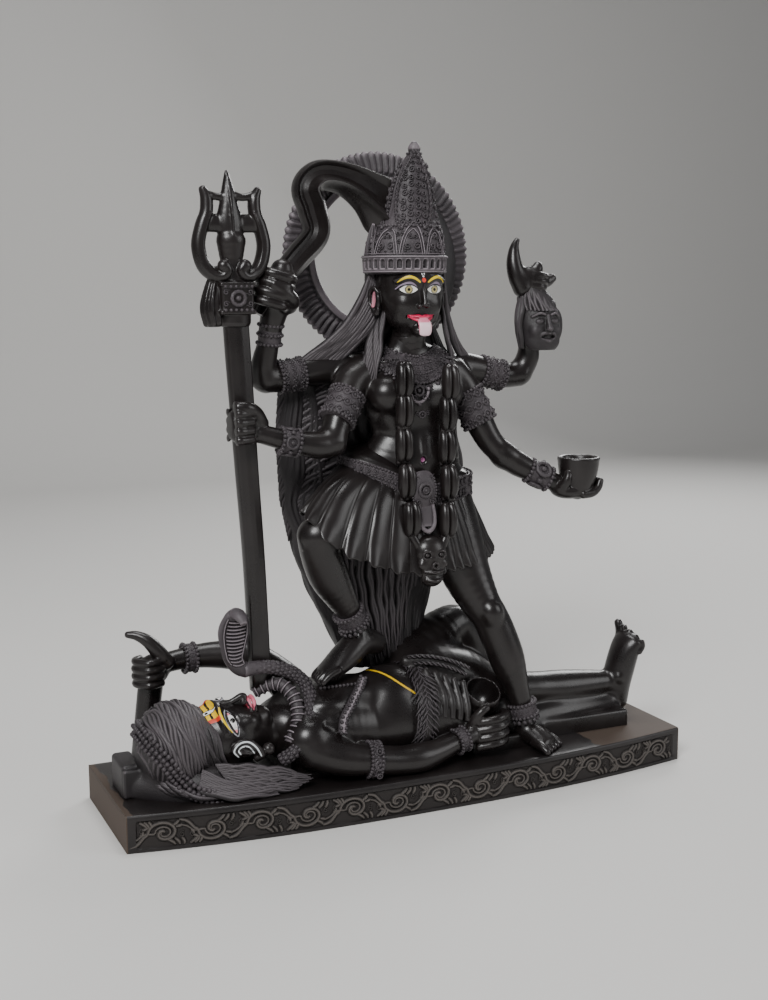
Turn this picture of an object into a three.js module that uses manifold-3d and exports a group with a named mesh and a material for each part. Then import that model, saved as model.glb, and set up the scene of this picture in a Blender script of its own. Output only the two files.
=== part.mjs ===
// Black stone Kali standing on a reclining Shiva, carved with its plinth from one block.
// Millimetres, X along the plinth, front towards -Y, Z up, origin in the middle of the underside.
import * as THREE from "three";
import { mergeVertices } from "three/addons/utils/BufferGeometryUtils.js";
import Module from "manifold-3d";

// Driving sizes
const PLINTH_LENGTH = 600;
const PLINTH_DEPTH = 176;
const PLINTH_HEIGHT = 35;
const PLINTH_BOW = 24.4;
const PLINTH_BOW_POWER = 2.43;
const PLINTH_EDGE = 2.5;
const PLINTH_RIM = 2.4;
const STATUE_HEIGHT = 641;
const HALO_RADIUS = 100;
const HALO_BAND = 31;
const HALO_THICKNESS = 15;
const HALO_FLUTES = 48;
const SKIRT_PLEATS = 22;
const FRIEZE_SCROLLS = 14;
const FRIEZE_RELIEF = 1.6;
const CUP_WALL = 5;
const CUP_DEPTH = 13;
const FIGURE_TRIANGLES = 8200;

// The figures are laid out on a carving 606 units high above a plinth 35 units high,
// and the layout is scaled to the height of the carving.
const LAYOUT_PLINTH = 35;
const LAYOUT_CARVING = 606;
const UNIT = (STATUE_HEIGHT - PLINTH_HEIGHT) / LAYOUT_CARVING;
const STATUE_TOP = LAYOUT_PLINTH + LAYOUT_CARVING;
const FRONT = new THREE.Vector3(0, -1, 0);
const UP = new THREE.Vector3(0, 0, 1);

const wasm = await Module();
wasm.setup();

function at(x, y, z) {
  return new THREE.Vector3(x * UNIT, y * UNIT, PLINTH_HEIGHT + (z - LAYOUT_PLINTH) * UNIT);
}

// A solid from a closed geometry, with its faces turned outwards
function solidOf(geometry) {
  const loose = geometry.index ? geometry.toNonIndexed() : geometry.clone();
  loose.deleteAttribute("normal");
  loose.deleteAttribute("uv");
  const merged = mergeVertices(loose, 1e-3);
  const points = merged.getAttribute("position").array;
  const corner = merged.index.array;
  const kept = [];
  let volume = 0;
  const a = new THREE.Vector3();
  const b = new THREE.Vector3();
  const c = new THREE.Vector3();
  for (let i = 0; i < corner.length; i += 3) {
    const [p, q, r] = [corner[i], corner[i + 1], corner[i + 2]];
    if (p === q || q === r || r === p) continue;
    kept.push(p, q, r);
    a.fromArray(points, 3 * p);
    b.fromArray(points, 3 * q);
    c.fromArray(points, 3 * r);
    volume += a.dot(b.cross(c));
  }
  if (volume < 0) kept.reverse();
  const mesh = new wasm.Mesh({
    numProp: 3,
    vertProperties: new Float32Array(points),
    triVerts: new Uint32Array(kept),
  });
  return new wasm.Manifold(mesh);
}

// A skin over rings of points, each end closed by a fan round its tip
function skin(rings, tipA, tipB) {
  const count = rings[0].length;
  const corners = [];
  const put = (...points) => points.forEach((p) => corners.push(p.x, p.y, p.z));
  for (let k = 0; k + 1 < rings.length; k++) {
    for (let i = 0; i < count; i++) {
      const j = (i + 1) % count;
      put(rings[k][i], rings[k][j], rings[k + 1][j]);
      put(rings[k][i], rings[k + 1][j], rings[k + 1][i]);
    }
  }
  const middle = (ring) =>
    ring.reduce((sum, p) => sum.add(p), new THREE.Vector3()).divideScalar(count);
  const last = rings[rings.length - 1];
  const first = rings[0];
  const startTip = tipA || middle(first);
  const endTip = tipB || middle(last);
  for (let i = 0; i < count; i++) {
    const j = (i + 1) % count;
    put(first[j], first[i], startTip);
    put(last[i], last[j], endTip);
  }
  const geometry = new THREE.BufferGeometry();
  geometry.setAttribute("position", new THREE.Float32BufferAttribute(corners, 3));
  return solidOf(geometry);
}

// An oval ring of points: half width across, half thickness along the facing direction
function oval(centre, along, facing, half, thick, sides, shape) {
  const depth = facing.clone().addScaledVector(along, -facing.dot(along)).normalize();
  const wide = new THREE.Vector3().crossVectors(along, depth);
  const ring = [];
  for (let i = 0; i < sides; i++) {
    const turn = (2 * Math.PI * (i + 0.5)) / sides;
    const swell = shape ? shape(turn) : 1;
    const p = centre.clone();
    p.addScaledVector(wide, Math.cos(turn) * half * swell);
    p.addScaledVector(depth, Math.sin(turn) * thick * swell);
    ring.push(p);
  }
  return ring;
}

// A limb through stations [x, y, z, half width, half thickness], with rounded ends
function limb(stations, options = {}) {
  const sides = options.sides || 8;
  const rings = options.rings || stations.length;
  const facing = options.facing || FRONT;
  const blunt = options.blunt === undefined ? 0.55 : options.blunt;
  const path = new THREE.CatmullRomCurve3(stations.map((s) => at(s[0], s[1], s[2])));
  const radii = new THREE.CatmullRomCurve3(
    stations.map((s) => new THREE.Vector3(s[3] * UNIT, (s[4] || s[3]) * UNIT, 0)),
  );
  const made = [];
  for (let k = 0; k < rings; k++) {
    const t = k / (rings - 1);
    const r = radii.getPoint(t);
    made.push(oval(path.getPoint(t), path.getTangent(t), facing, r.x, r.y, sides, options.shape));
  }
  const start = path.getPoint(0);
  const end = path.getPoint(1);
  const r0 = radii.getPoint(0);
  const r1 = radii.getPoint(1);
  start.addScaledVector(path.getTangent(0), -blunt * Math.min(r0.x, r0.y));
  end.addScaledVector(path.getTangent(1), blunt * Math.min(r1.x, r1.y));
  return skin(made, start, end);
}

// An egg shape, turned about the axes in degrees
function egg(x, y, z, rx, ry, rz, options = {}) {
  const geometry = new THREE.SphereGeometry(UNIT, options.wide || 9, options.high || 6);
  geometry.rotateX(Math.PI / 2);
  geometry.scale(rx, ry, rz);
  const turn = options.turn || [0, 0, 0];
  const radians = turn.map(THREE.MathUtils.degToRad);
  geometry.applyMatrix4(
    new THREE.Matrix4().makeRotationFromEuler(new THREE.Euler(radians[0], radians[1], radians[2])),
  );
  const p = at(x, y, z);
  geometry.translate(p.x, p.y, p.z);
  return solidOf(geometry);
}

// A block from its middle and full sizes, turned about the axes in degrees
function block(x, y, z, sx, sy, sz, turn = [0, 0, 0]) {
  const geometry = new THREE.BoxGeometry(sx * UNIT, sy * UNIT, sz * UNIT);
  const radians = turn.map(THREE.MathUtils.degToRad);
  geometry.applyMatrix4(
    new THREE.Matrix4().makeRotationFromEuler(new THREE.Euler(radians[0], radians[1], radians[2])),
  );
  const p = at(x, y, z);
  geometry.translate(p.x, p.y, p.z);
  return solidOf(geometry);
}

// A bulging band round a limb, from one point on its axis to another
function band(from, to, radius, options = {}) {
  const a = new THREE.Vector3(...from);
  const b = new THREE.Vector3(...to);
  const thick = options.thick || radius;
  const grow = options.grow || 1.12;
  const station = (t, s) => {
    const p = a.clone().lerp(b, t);
    return [p.x, p.y, p.z, radius * s, thick * s];
  };
  const list = [station(0, 1), station(0.25, grow), station(0.75, grow), station(1, 1)];
  return limb(list, { sides: options.sides || 9, blunt: 0, facing: options.facing || FRONT });
}

// A turned shape about the vertical through x, y, from pairs [radius, z]
function turned(x, y, pairs, sides) {
  const base = at(x, y, LAYOUT_PLINTH);
  const rings = pairs.map(([radius, z]) => {
    const ring = [];
    const height = at(0, 0, z).z;
    for (let i = 0; i < sides; i++) {
      const turn = (2 * Math.PI * i) / sides;
      const r = radius * UNIT;
      ring.push(new THREE.Vector3(base.x + r * Math.cos(turn), base.y + r * Math.sin(turn), height));
    }
    return ring;
  });
  return skin(rings);
}

function join(parts) {
  let row = parts.flat();
  while (row.length > 1) {
    const next = [];
    for (let i = 0; i < row.length; i += 2) {
      next.push(i + 1 < row.length ? row[i].add(row[i + 1]) : row[i]);
    }
    row = next;
  }
  return row[0];
}

// Plinth with a bowed front and a low chamfer round its top edge
function frontOf(x) {
  const share = Math.abs((2 * x) / PLINTH_LENGTH);
  return -PLINTH_DEPTH / 2 + PLINTH_BOW * share ** PLINTH_BOW_POWER;
}

function plinth() {
  const steps = 20;
  const half = PLINTH_LENGTH / 2;
  const outline = (inset, height, sunk) => {
    const ring = [];
    for (let i = 0; i <= steps; i++) {
      const x = -half + (PLINTH_LENGTH * i) / steps;
      const held = THREE.MathUtils.clamp(x, -half + inset, half - inset);
      const depth = i === 0 || i === steps ? 0 : sunk;
      ring.push(new THREE.Vector3(held, frontOf(x) + inset + depth, height));
    }
    ring.push(new THREE.Vector3(half - inset, PLINTH_DEPTH / 2 - inset, height));
    ring.push(new THREE.Vector3(-half + inset, PLINTH_DEPTH / 2 - inset, height));
    return ring;
  };
  return skin([
    outline(0, 0, 0),
    outline(0, PLINTH_RIM, 0),
    outline(0, PLINTH_RIM + FRIEZE_RELIEF, FRIEZE_RELIEF),
    outline(0, PLINTH_HEIGHT - PLINTH_RIM - PLINTH_EDGE - FRIEZE_RELIEF, FRIEZE_RELIEF),
    outline(0, PLINTH_HEIGHT - PLINTH_RIM - PLINTH_EDGE, 0),
    outline(0, PLINTH_HEIGHT - PLINTH_EDGE, 0),
    outline(PLINTH_EDGE * 0.6, PLINTH_HEIGHT, 0),
  ]);
}

// Running scrolls on the bowed front, one spiral after another, turned up and down in turn
function frieze() {
  const pitch = (PLINTH_LENGTH - 50) / FRIEZE_SCROLLS;
  const middle = (PLINTH_HEIGHT - PLINTH_EDGE) * 0.5;
  const reach = Math.min(middle - PLINTH_RIM - FRIEZE_RELIEF - 1, pitch * 0.36);
  const made = [];
  for (let n = 0; n < FRIEZE_SCROLLS; n++) {
    const x0 = -PLINTH_LENGTH / 2 + 25 + pitch * (n + 0.5);
    const way = n % 2 ? -1 : 1;
    const points = [];
    for (let k = 0; k <= 9; k++) {
      const turn = 0.3 + k * 0.82;
      const r = reach * (1 - k / 11);
      points.push([x0 + 2 - r * Math.cos(turn), middle + way * r * Math.sin(turn)]);
    }
    points.unshift([x0 - pitch * 0.5, middle - way * reach * 0.95]);
    made.push(ribbon(points, 1.9));
  }
  return made;
}

// A raised ribbon on the plinth front through points [x, z]
function ribbon(points, half) {
  const rings = points.map(([x, z], k) => {
    const before = points[Math.max(k - 1, 0)];
    const after = points[Math.min(k + 1, points.length - 1)];
    const length = Math.hypot(after[0] - before[0], after[1] - before[1]);
    const nx = (-(after[1] - before[1]) / length) * half;
    const nz = ((after[0] - before[0]) / length) * half;
    const spot = (sx, sz, out) => new THREE.Vector3(sx, frontOf(sx) - out, sz);
    return [
      spot(x + nx, z + nz, -FRIEZE_RELIEF - 0.6),
      spot(x, z, 0),
      spot(x - nx, z - nz, -FRIEZE_RELIEF - 0.6),
    ];
  });
  return skin(rings);
}

// A closed hand: palm, four bent fingers side by side across it, and a thumb
function fist(palm, across, reach, size, thumb) {
  const c = new THREE.Vector3(...palm);
  const side = new THREE.Vector3(...across).normalize();
  const out = new THREE.Vector3(...reach).normalize();
  const back = new THREE.Vector3().crossVectors(side, out).normalize();
  const made = [egg(c.x, c.y, c.z, size * 0.95, size * 0.8, size * 0.95, { wide: 8, high: 5 })];
  for (let k = 0; k < 4; k++) {
    const base = c.clone().addScaledVector(side, size * (0.42 * k - 0.63));
    const bend = (f, b) => {
      const p = base.clone().addScaledVector(out, f * size).addScaledVector(back, b * size);
      return [p.x, p.y, p.z, size * 0.23];
    };
    const line = [bend(0.1, 0.7), bend(0.85, 0.72), bend(1.12, 0.05), bend(0.5, -0.6)];
    made.push(limb(line, { sides: 5, facing: side }));
  }
  if (thumb) made.push(limb(thumb, { sides: 6 }));
  return made;
}

// Reclining figure: trunk and legs
function recliningBody() {
  const trunk = limb(
    [
      [-134, -16, 86, 24, 20],
      [-120, -6, 76, 46, 34],
      [-98, -4, 76, 56, 43],
      [-70, -4, 77, 55, 44],
      [-45, -6, 74, 50, 38],
      [-20, -8, 74, 50, 39],
      [10, -6, 76, 52, 44],
      [38, -4, 74, 52, 42],
      [66, -2, 66, 44, 34],
    ],
    { sides: 12, rings: 11, facing: UP },
  );
  const bed = block(-40, 8, 46, 190, 112, 30);
  const nearLeg = limb(
    [
      [40, -18, 76, 26],
      [82, -14, 84, 23],
      [122, -8, 84, 21],
      [158, -2, 80, 18],
      [190, 0, 76, 19],
      [222, 0, 76, 16],
      [250, 0, 75, 13],
      [262, 0, 72, 12],
    ],
    { sides: 9, rings: 9 },
  );
  const sole = new THREE.Vector3(0.7, 0.1, 0.3);
  const nearFoot = limb(
    [
      [262, 0, 56, 11, 11],
      [262, -1, 74, 13, 13],
      [268, -3, 96, 15, 10],
      [277, -5, 118, 19, 8],
    ],
    { sides: 8, rings: 5, facing: sole },
  );
  const toes = [];
  for (let k = 0; k < 5; k++) {
    const from = [273 + 3.4 * k, 7 - 6 * k, 120 - 4.6 * k];
    const to = [268 + 5.2 * k, 9 - 6.6 * k, 139 - 6.2 * k];
    toes.push(limb([[...from, 5], [...to, k ? 4 : 5]], { sides: 5, facing: sole }));
  }
  const farLeg = limb(
    [
      [24, 22, 90, 34, 34],
      [46, 28, 128, 31, 30],
      [68, 32, 150, 25, 24],
      [84, 34, 150, 21, 20],
      [104, 36, 116, 19, 18],
      [122, 38, 72, 17, 16],
      [132, 38, 44, 14, 14],
    ],
    { sides: 9, rings: 10 },
  );
  const farFoot = limb([[128, 38, 44, 13, 10], [156, 36, 42, 13, 8]], { sides: 7 });
  const lap = limb(
    [
      [-4, 6, 92, 30, 34],
      [30, 8, 112, 30, 40],
      [66, 10, 108, 28, 40],
      [104, 8, 84, 24, 34],
      [128, 8, 58, 20, 28],
    ],
    { sides: 9, rings: 7 },
  );
  const ledge = (x, front, top) => [at(x, front, 30), at(x, 52, 30), at(x, 52, top), at(x, front, top)];
  const step = skin([ledge(60, -50, 50), ledge(150, -46, 48), ledge(256, -31, 56)]);
  const rest = limb([[130, 0, 62, 16, 14], [190, 2, 60, 15, 13], [254, 2, 60, 12, 10]], { sides: 6 });
  const nape = egg(-152, 16, 84, 36, 30, 34, { wide: 9, high: 6 });
  return [trunk, bed, rest, nape, nearLeg, nearFoot, toes, farLeg, farFoot, lap, step].flat();
}

// Waist wrap of fur with a rolled hem, on the reclining figure
function furWrap() {
  const belt = [];
  for (let k = 0; k < 9; k++) {
    const turn = THREE.MathUtils.degToRad(-30 + 25 * k);
    belt.push([14 + 6 * Math.sin(turn), -8 - 52 * Math.cos(turn), 76 + 46 * Math.sin(turn), 10, 5]);
  }
  const strap = limb(belt.slice(0, 7), { sides: 6, rings: 8, facing: new THREE.Vector3(0, -0.6, 0.8) });
  const roll = limb(
    [
      [-2, -18, 124, 6, 6],
      [24, -26, 124, 7, 7],
      [48, -32, 120, 7, 7],
      [70, -34, 112, 6, 6],
    ],
    { sides: 6 },
  );
  const flap = limb([[62, -40, 92, 16, 14], [92, -44, 74, 22, 14], [118, -40, 60, 18, 12]], {
    sides: 7,
    rings: 4,
  });
  return [strap, roll, flap];
}

// Reclining figure: near arm along the plinth, far arm raised on a post
function recliningArms() {
  const nearArm = limb(
    [
      [-112, -50, 66, 20, 20],
      [-88, -60, 58, 18, 19],
      [-58, -66, 53, 15, 16],
      [-30, -66, 49, 14, 14],
      [4, -64, 50, 13, 13],
      [34, -60, 56, 10.5, 11],
      [52, -58, 60, 10, 10],
    ],
    { sides: 9, rings: 8 },
  );
  const armlet = band([-64, -65, 54], [-55, -66, 53], 16.5, { thick: 17.5 });
  const cuff = band([33, -60, 56], [42, -59, 58], 12);
  const hand = [
    egg(66, -54, 66, 17, 12, 13, { wide: 8, high: 5, turn: [0, -20, 0] }),
    limb([[60, -62, 74, 5], [74, -64, 80, 5], [86, -58, 78, 4.5]], { sides: 5 }),
    limb([[62, -66, 64, 5], [78, -68, 68, 5], [90, -60, 68, 4.5]], { sides: 5 }),
    limb([[62, -66, 55, 5], [78, -68, 57, 5], [90, -60, 58, 4.5]], { sides: 5 }),
    limb([[60, -60, 50, 5.5], [76, -63, 49, 5], [86, -56, 50, 4.5]], { sides: 5 }),
  ];
  const drum = turned(70, -44, [[15, 62], [16, 76], [17.5, 80], [17.5, 92], [14, 95]], 12);
  const farArm = limb(
    [
      [-92, 36, 88, 22, 22],
      [-112, 46, 112, 19, 19],
      [-134, 54, 130, 16, 16],
      [-158, 60, 137, 15, 15],
      [-184, 64, 139, 13, 13],
      [-206, 65, 138, 11, 11],
      [-222, 65, 136, 10, 10],
    ],
    { sides: 8, rings: 8 },
  );
  const farCuff = band([-206, 65, 138], [-197, 65, 138], 16, { sides: 9 });
  const farFist = fist([-239, 62, 130], [0, 0, 1], [-0.9, -0.35, 0], 18.5, [
    [-228, 56, 138, 7],
    [-238, 56, 154, 6],
    [-249, 59, 165, 4.5],
    [-262, 63, 168, 3],
  ]);
  const post = limb([[-252, 66, 26, 12, 11], [-241, 64, 122, 13, 11]], { sides: 4, blunt: 0 });
  return [nearArm, armlet, cuff, hand, drum, farArm, farCuff, farFist, post].flat();
}

// Reclining figure: head turned up, matted hair, bolster
function recliningHead() {
  const skull = egg(-194, -16, 80, 40, 35, 35, { wide: 12, high: 8 });
  const jaw = limb([[-192, -18, 88, 27, 26], [-172, -20, 90, 22, 22], [-160, -21, 93, 12, 12]], {
    sides: 9,
    facing: UP,
  });
  const neck = limb([[-176, -14, 76, 20], [-150, -14, 80, 19], [-124, -12, 78, 26]], { sides: 9 });
  const nose = limb([[-196, -27, 113, 4, 3], [-180, -28, 120, 5.5, 5], [-176, -28, 114, 5, 5]], {
    sides: 5,
    facing: UP,
  });
  const lips = egg(-167, -26, 107, 5, 7, 7, { wide: 7, high: 4 });
  const ear = limb([[-195, -50, 68, 6, 4], [-182, -53, 62, 9, 4], [-170, -52, 70, 6, 4]], { sides: 6 });
  const ring = egg(-164, -50, 72, 7, 7, 7, { wide: 6, high: 4 });
  const made = [skull, jaw, neck, nose, lips, ear, ring];
  // matted hair in combed ridges over the skull, running down to a band of beads
  const ridges = 9;
  for (let k = 0; k < ridges; k++) {
    const share = k / (ridges - 1);
    const turn = THREE.MathUtils.degToRad(-62 + 150 * share);
    const y0 = -14 - 36 * Math.sin(turn);
    const z0 = 78 + 37 * Math.cos(turn);
    made.push(
      limb(
        [
          [-203 + 6 * share, y0 * 0.86 - 2, Math.max(z0 * 0.94 + 4, 48), 8, 6],
          [-220, y0 * 1.02, Math.max(z0, 44), 9, 7],
          [-242, y0 * 0.9 - 2, Math.max(z0 * 0.86 + 2, 40), 9, 7],
          [-264, y0 * 0.7, Math.max(z0 * 0.7 + 4, 36), 8, 6],
        ],
        { sides: 6, facing: new THREE.Vector3(0, -Math.sin(turn), Math.cos(turn)) },
      ),
    );
  }
  made.push(egg(-230, -14, 74, 44, 42, 39, { wide: 12, high: 8 }));
  made.push(egg(-246, -12, 80, 26, 28, 24, { wide: 9, high: 6 }));
  made.push(egg(-158, -20, 52, 34, 34, 22, { wide: 9, high: 6 }));
  made.push(limb([[-280, -18, 44, 18, 14], [-240, -36, 44, 20, 16], [-206, -52, 42, 16, 14]], { sides: 8 }));
  made.push(
    limb([[-252, -52, 44, 5], [-226, -60, 42, 5], [-202, -66, 42, 5], [-178, -68, 44, 5]], { sides: 6 }),
  );
  // locks that spread along the plinth towards the shoulder
  for (let k = 0; k < 6; k++) {
    const drop = 12 * k;
    made.push(
      limb(
        [
          [-212 + 4 * k, -50 + k, 58 - 2.4 * k, 9, 7],
          [-176 + 2 * k, -60 + 0.5 * k, 56 - 3 * k, 9, 6],
          [-120 - 2.2 * drop * 0.3, -64 + 0.5 * k, 58 - 3.6 * k, 3, 3],
        ],
        { sides: 6, rings: 4 },
      ),
    );
  }
  made.push(block(-282, 4, 49, 20, 46, 34));
  return made;
}

// Cobra round the neck of the reclining figure, its hood raised before the trident shaft
function cobra() {
  const body = limb(
    [
      [-150, -46, 62, 6.5],
      [-128, -50, 76, 6.5],
      [-114, -34, 100, 6.5],
      [-115, -18, 120, 6.5],
      [-126, -13, 134, 6.5],
      [-146, -16, 140, 6.5],
      [-162, -19, 144, 7],
    ],
    { sides: 7, rings: 11 },
  );
  const inner = limb(
    [
      [-150, -6, 118, 6],
      [-134, -16, 124, 6],
      [-124, -30, 112, 6],
      [-126, -42, 94, 6],
    ],
    { sides: 6, rings: 5 },
  );
  const hood = limb(
    [
      [-160, -16, 140, 8, 7],
      [-168, -17, 152, 9, 6],
      [-172, -18, 168, 13, 5.5],
      [-174, -19, 182, 16, 5.5],
      [-174, -21, 193, 14, 6],
      [-174, -26, 200, 9, 6],
    ],
    { sides: 8, rings: 8 },
  );
  const snout = limb([[-174, -20, 197, 8, 7], [-173, -32, 195, 5, 5]], { sides: 6, facing: UP });
  return [body, inner, hood, snout];
}

// Standing figure: trunk, breasts, belt
function standingTrunk() {
  const trunk = limb(
    [
      [12, 0, 262, 70, 30],
      [10, 0, 292, 68, 33],
      [8, -2, 320, 60, 32],
      [14, -4, 346, 49, 28],
      [12, -3, 372, 44, 27],
      [9, -4, 398, 50, 29],
      [8, 0, 418, 54, 25],
      [7, 0, 432, 36, 20],
      [6, -4, 446, 17, 17],
      [7, -8, 466, 17, 18],
    ],
    { sides: 12, rings: 13 },
  );
  const made = [trunk];
  made.push(egg(-22, -20, 402, 21, 19, 20, { wide: 10, high: 6 }));
  made.push(egg(37, -20, 400, 20, 19, 20, { wide: 10, high: 6 }));
  const belt = limb(
    [
      [-66, -2, 324, 9, 8],
      [-52, -20, 322, 9, 8],
      [-22, -32, 320, 9, 7],
      [12, -35, 313, 10, 9],
      [42, -30, 308, 9, 7],
      [62, -14, 306, 9, 8],
      [70, 2, 306, 9, 8],
    ],
    { sides: 6, rings: 9 },
  );
  made.push(belt);
  made.push(limb([[12, -36, 330, 9, 6], [12, -40, 314, 12, 6], [13, -38, 294, 8, 5]], { sides: 6 }));
  return made;
}

// Pleated skirt, its hem lifted over the raised thigh
function skirt() {
  const perPleat = 3;
  const around = SKIRT_PLEATS * perPleat;
  const levels = [0, 0.3, 0.65, 1];
  const rings = levels.map((share) => {
    const ring = [];
    for (let i = 0; i < around; i++) {
      const turn = (2 * Math.PI * i) / around;
      const c = Math.cos(turn);
      const s = Math.sin(turn);
      const pleat = 1 + 0.055 * share * Math.cos(turn * SKIRT_PLEATS);
      const topX = 2 + 62 * c;
      const topY = -2 + 33 * s;
      const topZ = 322 - 6 * c;
      const left = Math.max(0, -c);
      const right = Math.max(0, c);
      const front = Math.max(0, -s);
      const hemX = 2 - 112 * left + 100 * right;
      const hemY = -4 - (44 + 12 * left * front) * front + 38 * Math.max(0, s);
      const sag = 218 + 14 * right ** 2 + 58 * left ** 2.2;
      const scallop = 4 * Math.cos(turn * SKIRT_PLEATS);
      const x = THREE.MathUtils.lerp(topX, hemX, share ** 0.9) ;
      const y = THREE.MathUtils.lerp(topY, hemY, share ** 0.8);
      const z = THREE.MathUtils.lerp(topZ, sag - scallop * share, share);
      ring.push(at(2 + (x - 2) * pleat, y * pleat, z));
    }
    return ring;
  });
  return skin(rings, null, at(0, -2, 246));
}

function standingLegs() {
  const raisedThigh = limb([[-24, 0, 292, 30, 30], [-66, -22, 288, 28, 27], [-102, -38, 274, 22, 22]], {
    sides: 9,
    rings: 4,
  });
  const raisedShin = limb(
    [
      [-104, -38, 280, 18, 18],
      [-100, -34, 256, 20, 20],
      [-84, -24, 222, 19, 20],
      [-62, -14, 190, 13, 14],
      [-50, -10, 168, 11, 12],
    ],
    { sides: 9, rings: 7 },
  );
  const raisedFoot = [
    limb(
      [
        [-32, -4, 152, 10, 10],
        [-50, -12, 156, 14, 13],
        [-68, -18, 146, 11, 14],
        [-84, -22, 136, 8, 14],
      ],
      { sides: 8, rings: 5 },
    ),
  ];
  for (let k = 0; k < 5; k++) {
    const y = -34 + 6 * k;
    raisedFoot.push(
      limb([[-80, y, 136, 4.6], [-90, y - 1, 132, 4.2], [-98 + 1.5 * k, y - 1, 127, 3.8]], { sides: 5 }),
    );
  }
  const anklet = band([-63, -14, 186], [-55, -12, 176], 16.5, { sides: 10 });
  const straightLeg = limb(
    [
      [50, 2, 280, 32, 30],
      [60, -6, 244, 28, 27],
      [72, -17, 200, 23, 22],
      [86, -28, 176, 19, 19],
      [96, -32, 152, 19, 19],
      [106, -35, 124, 17.5, 18],
      [116, -38, 90, 13, 14],
      [121, -40, 66, 11, 12],
      [122, -38, 48, 12, 13],
    ],
    { sides: 10, rings: 12 },
  );
  const foot = [
    limb(
      [
        [116, -26, 44, 11, 10],
        [121, -38, 50, 12, 14],
        [130, -54, 47, 13, 10],
        [138, -66, 42, 15, 7],
      ],
      { sides: 8, rings: 5, facing: UP },
    ),
  ];
  for (let k = 0; k < 5; k++) {
    const x = 126 + 6.2 * k;
    const y = -68 + 2.6 * k;
    foot.push(limb([[x - 2, y, 41, 4.6], [x + 2, y - 10, 39, 3.8]], { sides: 5, facing: UP }));
  }
  const ankletB = band([119, -39, 80], [122, -40, 65], 17, { sides: 10 });
  return [raisedThigh, raisedShin, raisedFoot, anklet, straightLeg, foot, ankletB].flat();
}

// Four arms with armlets and bracelets
function standingArms() {
  const made = [];
  // upper right arm, lifted behind, holding the sword
  made.push(
    limb([[-40, 14, 424, 17, 15], [-72, 18, 424, 15, 14], [-104, 18, 418, 14, 13], [-134, 16, 416, 13, 12]], {
      rings: 5,
    }),
  );
  made.push(limb([[-136, 16, 414, 12, 12], [-134, 12, 436, 10.5, 11], [-130, 6, 480, 9.5, 10]], { rings: 4 }));
  made.push(band([-120, 18, 417], [-96, 18, 420], 14.5, { sides: 9, grow: 1.1 }));
  made.push(band([-131, 9, 458], [-130, 7, 474], 14));
  made.push(
    fist([-131, 2, 503], [0.35, 0, 0.94], [-0.5, -0.85, 0.1], 19, [
      [-116, -4, 492, 6.5],
      [-126, -18, 500, 5.5],
      [-138, -18, 512, 4.5],
    ]),
  );
  // lower right arm, bent in front, holding the trident
  made.push(
    limb([[-44, 2, 420, 17, 16], [-62, -10, 400, 16.5, 16], [-76, -18, 374, 14, 14], [-82, -23, 356, 13, 13]], {
      rings: 5,
    }),
  );
  made.push(limb([[-80, -23, 355, 13, 13], [-104, -27, 357, 12, 12], [-156, -22, 368, 9.5, 10]], { rings: 4 }));
  made.push(band([-60, -11, 400], [-76, -19, 378], 17.5, { sides: 10, grow: 1.1 }));
  made.push(band([-134, -26, 361], [-119, -27, 359], 13, { grow: 1.15 }));
  made.push(
    fist([-166, -19, 376], [0, 0, 1], [-0.95, -0.3, 0], 18, [
      [-150, -32, 368, 6.5],
      [-164, -39, 366, 5.5],
      [-178, -37, 366, 4.5],
    ]),
  );
  // upper left arm, lifted behind, holding the severed head by its hair
  made.push(
    limb([[56, 14, 420, 17, 15], [90, 18, 420, 14, 13], [126, 20, 412, 13, 12], [152, 19, 412, 12, 12]], {
      rings: 5,
    }),
  );
  made.push(limb([[154, 19, 414, 12, 12], [162, 17, 432, 11, 11], [160, 12, 456, 9, 9.5]], { rings: 4 }));
  made.push(band([102, 18, 417], [126, 20, 412], 14.5, { sides: 9, grow: 1.1 }));
  made.push(
    fist([150, 8, 500], [0.2, 0, 1], [0.8, -0.6, 0], 13, [
      [146, 2, 504, 6],
      [138, 4, 522, 5.5],
      [134, 6, 534, 4.5],
      [132, 8, 544, 3],
    ]),
  );
  // lower left arm, lowered, holding the cup
  made.push(
    limb([[62, 2, 416, 17, 16], [76, -6, 386, 15, 15], [90, -14, 352, 13, 13.5], [108, -22, 332, 13, 13]], {
      rings: 6,
    }),
  );
  made.push(limb([[104, -20, 336, 13, 13], [122, -27, 324, 12, 12], [150, -36, 308, 9.5, 10], [170, -40, 299, 9, 9]], { rings: 5 }));
  made.push(band([70, -3, 398], [86, -11, 364], 16.5, { sides: 10, grow: 1.08 }));
  made.push(band([133, -31, 318], [147, -35, 310], 12.5, { grow: 1.15 }));
  made.push(egg(170, -40, 297, 20, 15, 9, { wide: 9, high: 5 }));
  for (let k = 0; k < 4; k++) {
    const y = -52 + 8 * k;
    made.push(limb([[180, y, 294, 5], [194, y, 297, 4.6], [202, y + 1, 305, 4]], { sides: 5 }));
  }
  made.push(limb([[160, -50, 302, 5.5], [165, -55, 314, 4.5], [172, -56, 320, 4]], { sides: 5 }));
  return made.flat();
}

function cup() {
  const wall = turned(181, -42, [[13, 300], [18.5, 308], [20.5, 318], [20, 331]], 14);
  const bottom = 331 - CUP_DEPTH / UNIT;
  const inner = 20 - CUP_WALL / UNIT;
  const hollow = turned(181, -42, [[inner * 0.6, bottom], [inner, bottom + 5], [inner, 340]], 12);
  return { wall, hollow };
}

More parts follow.
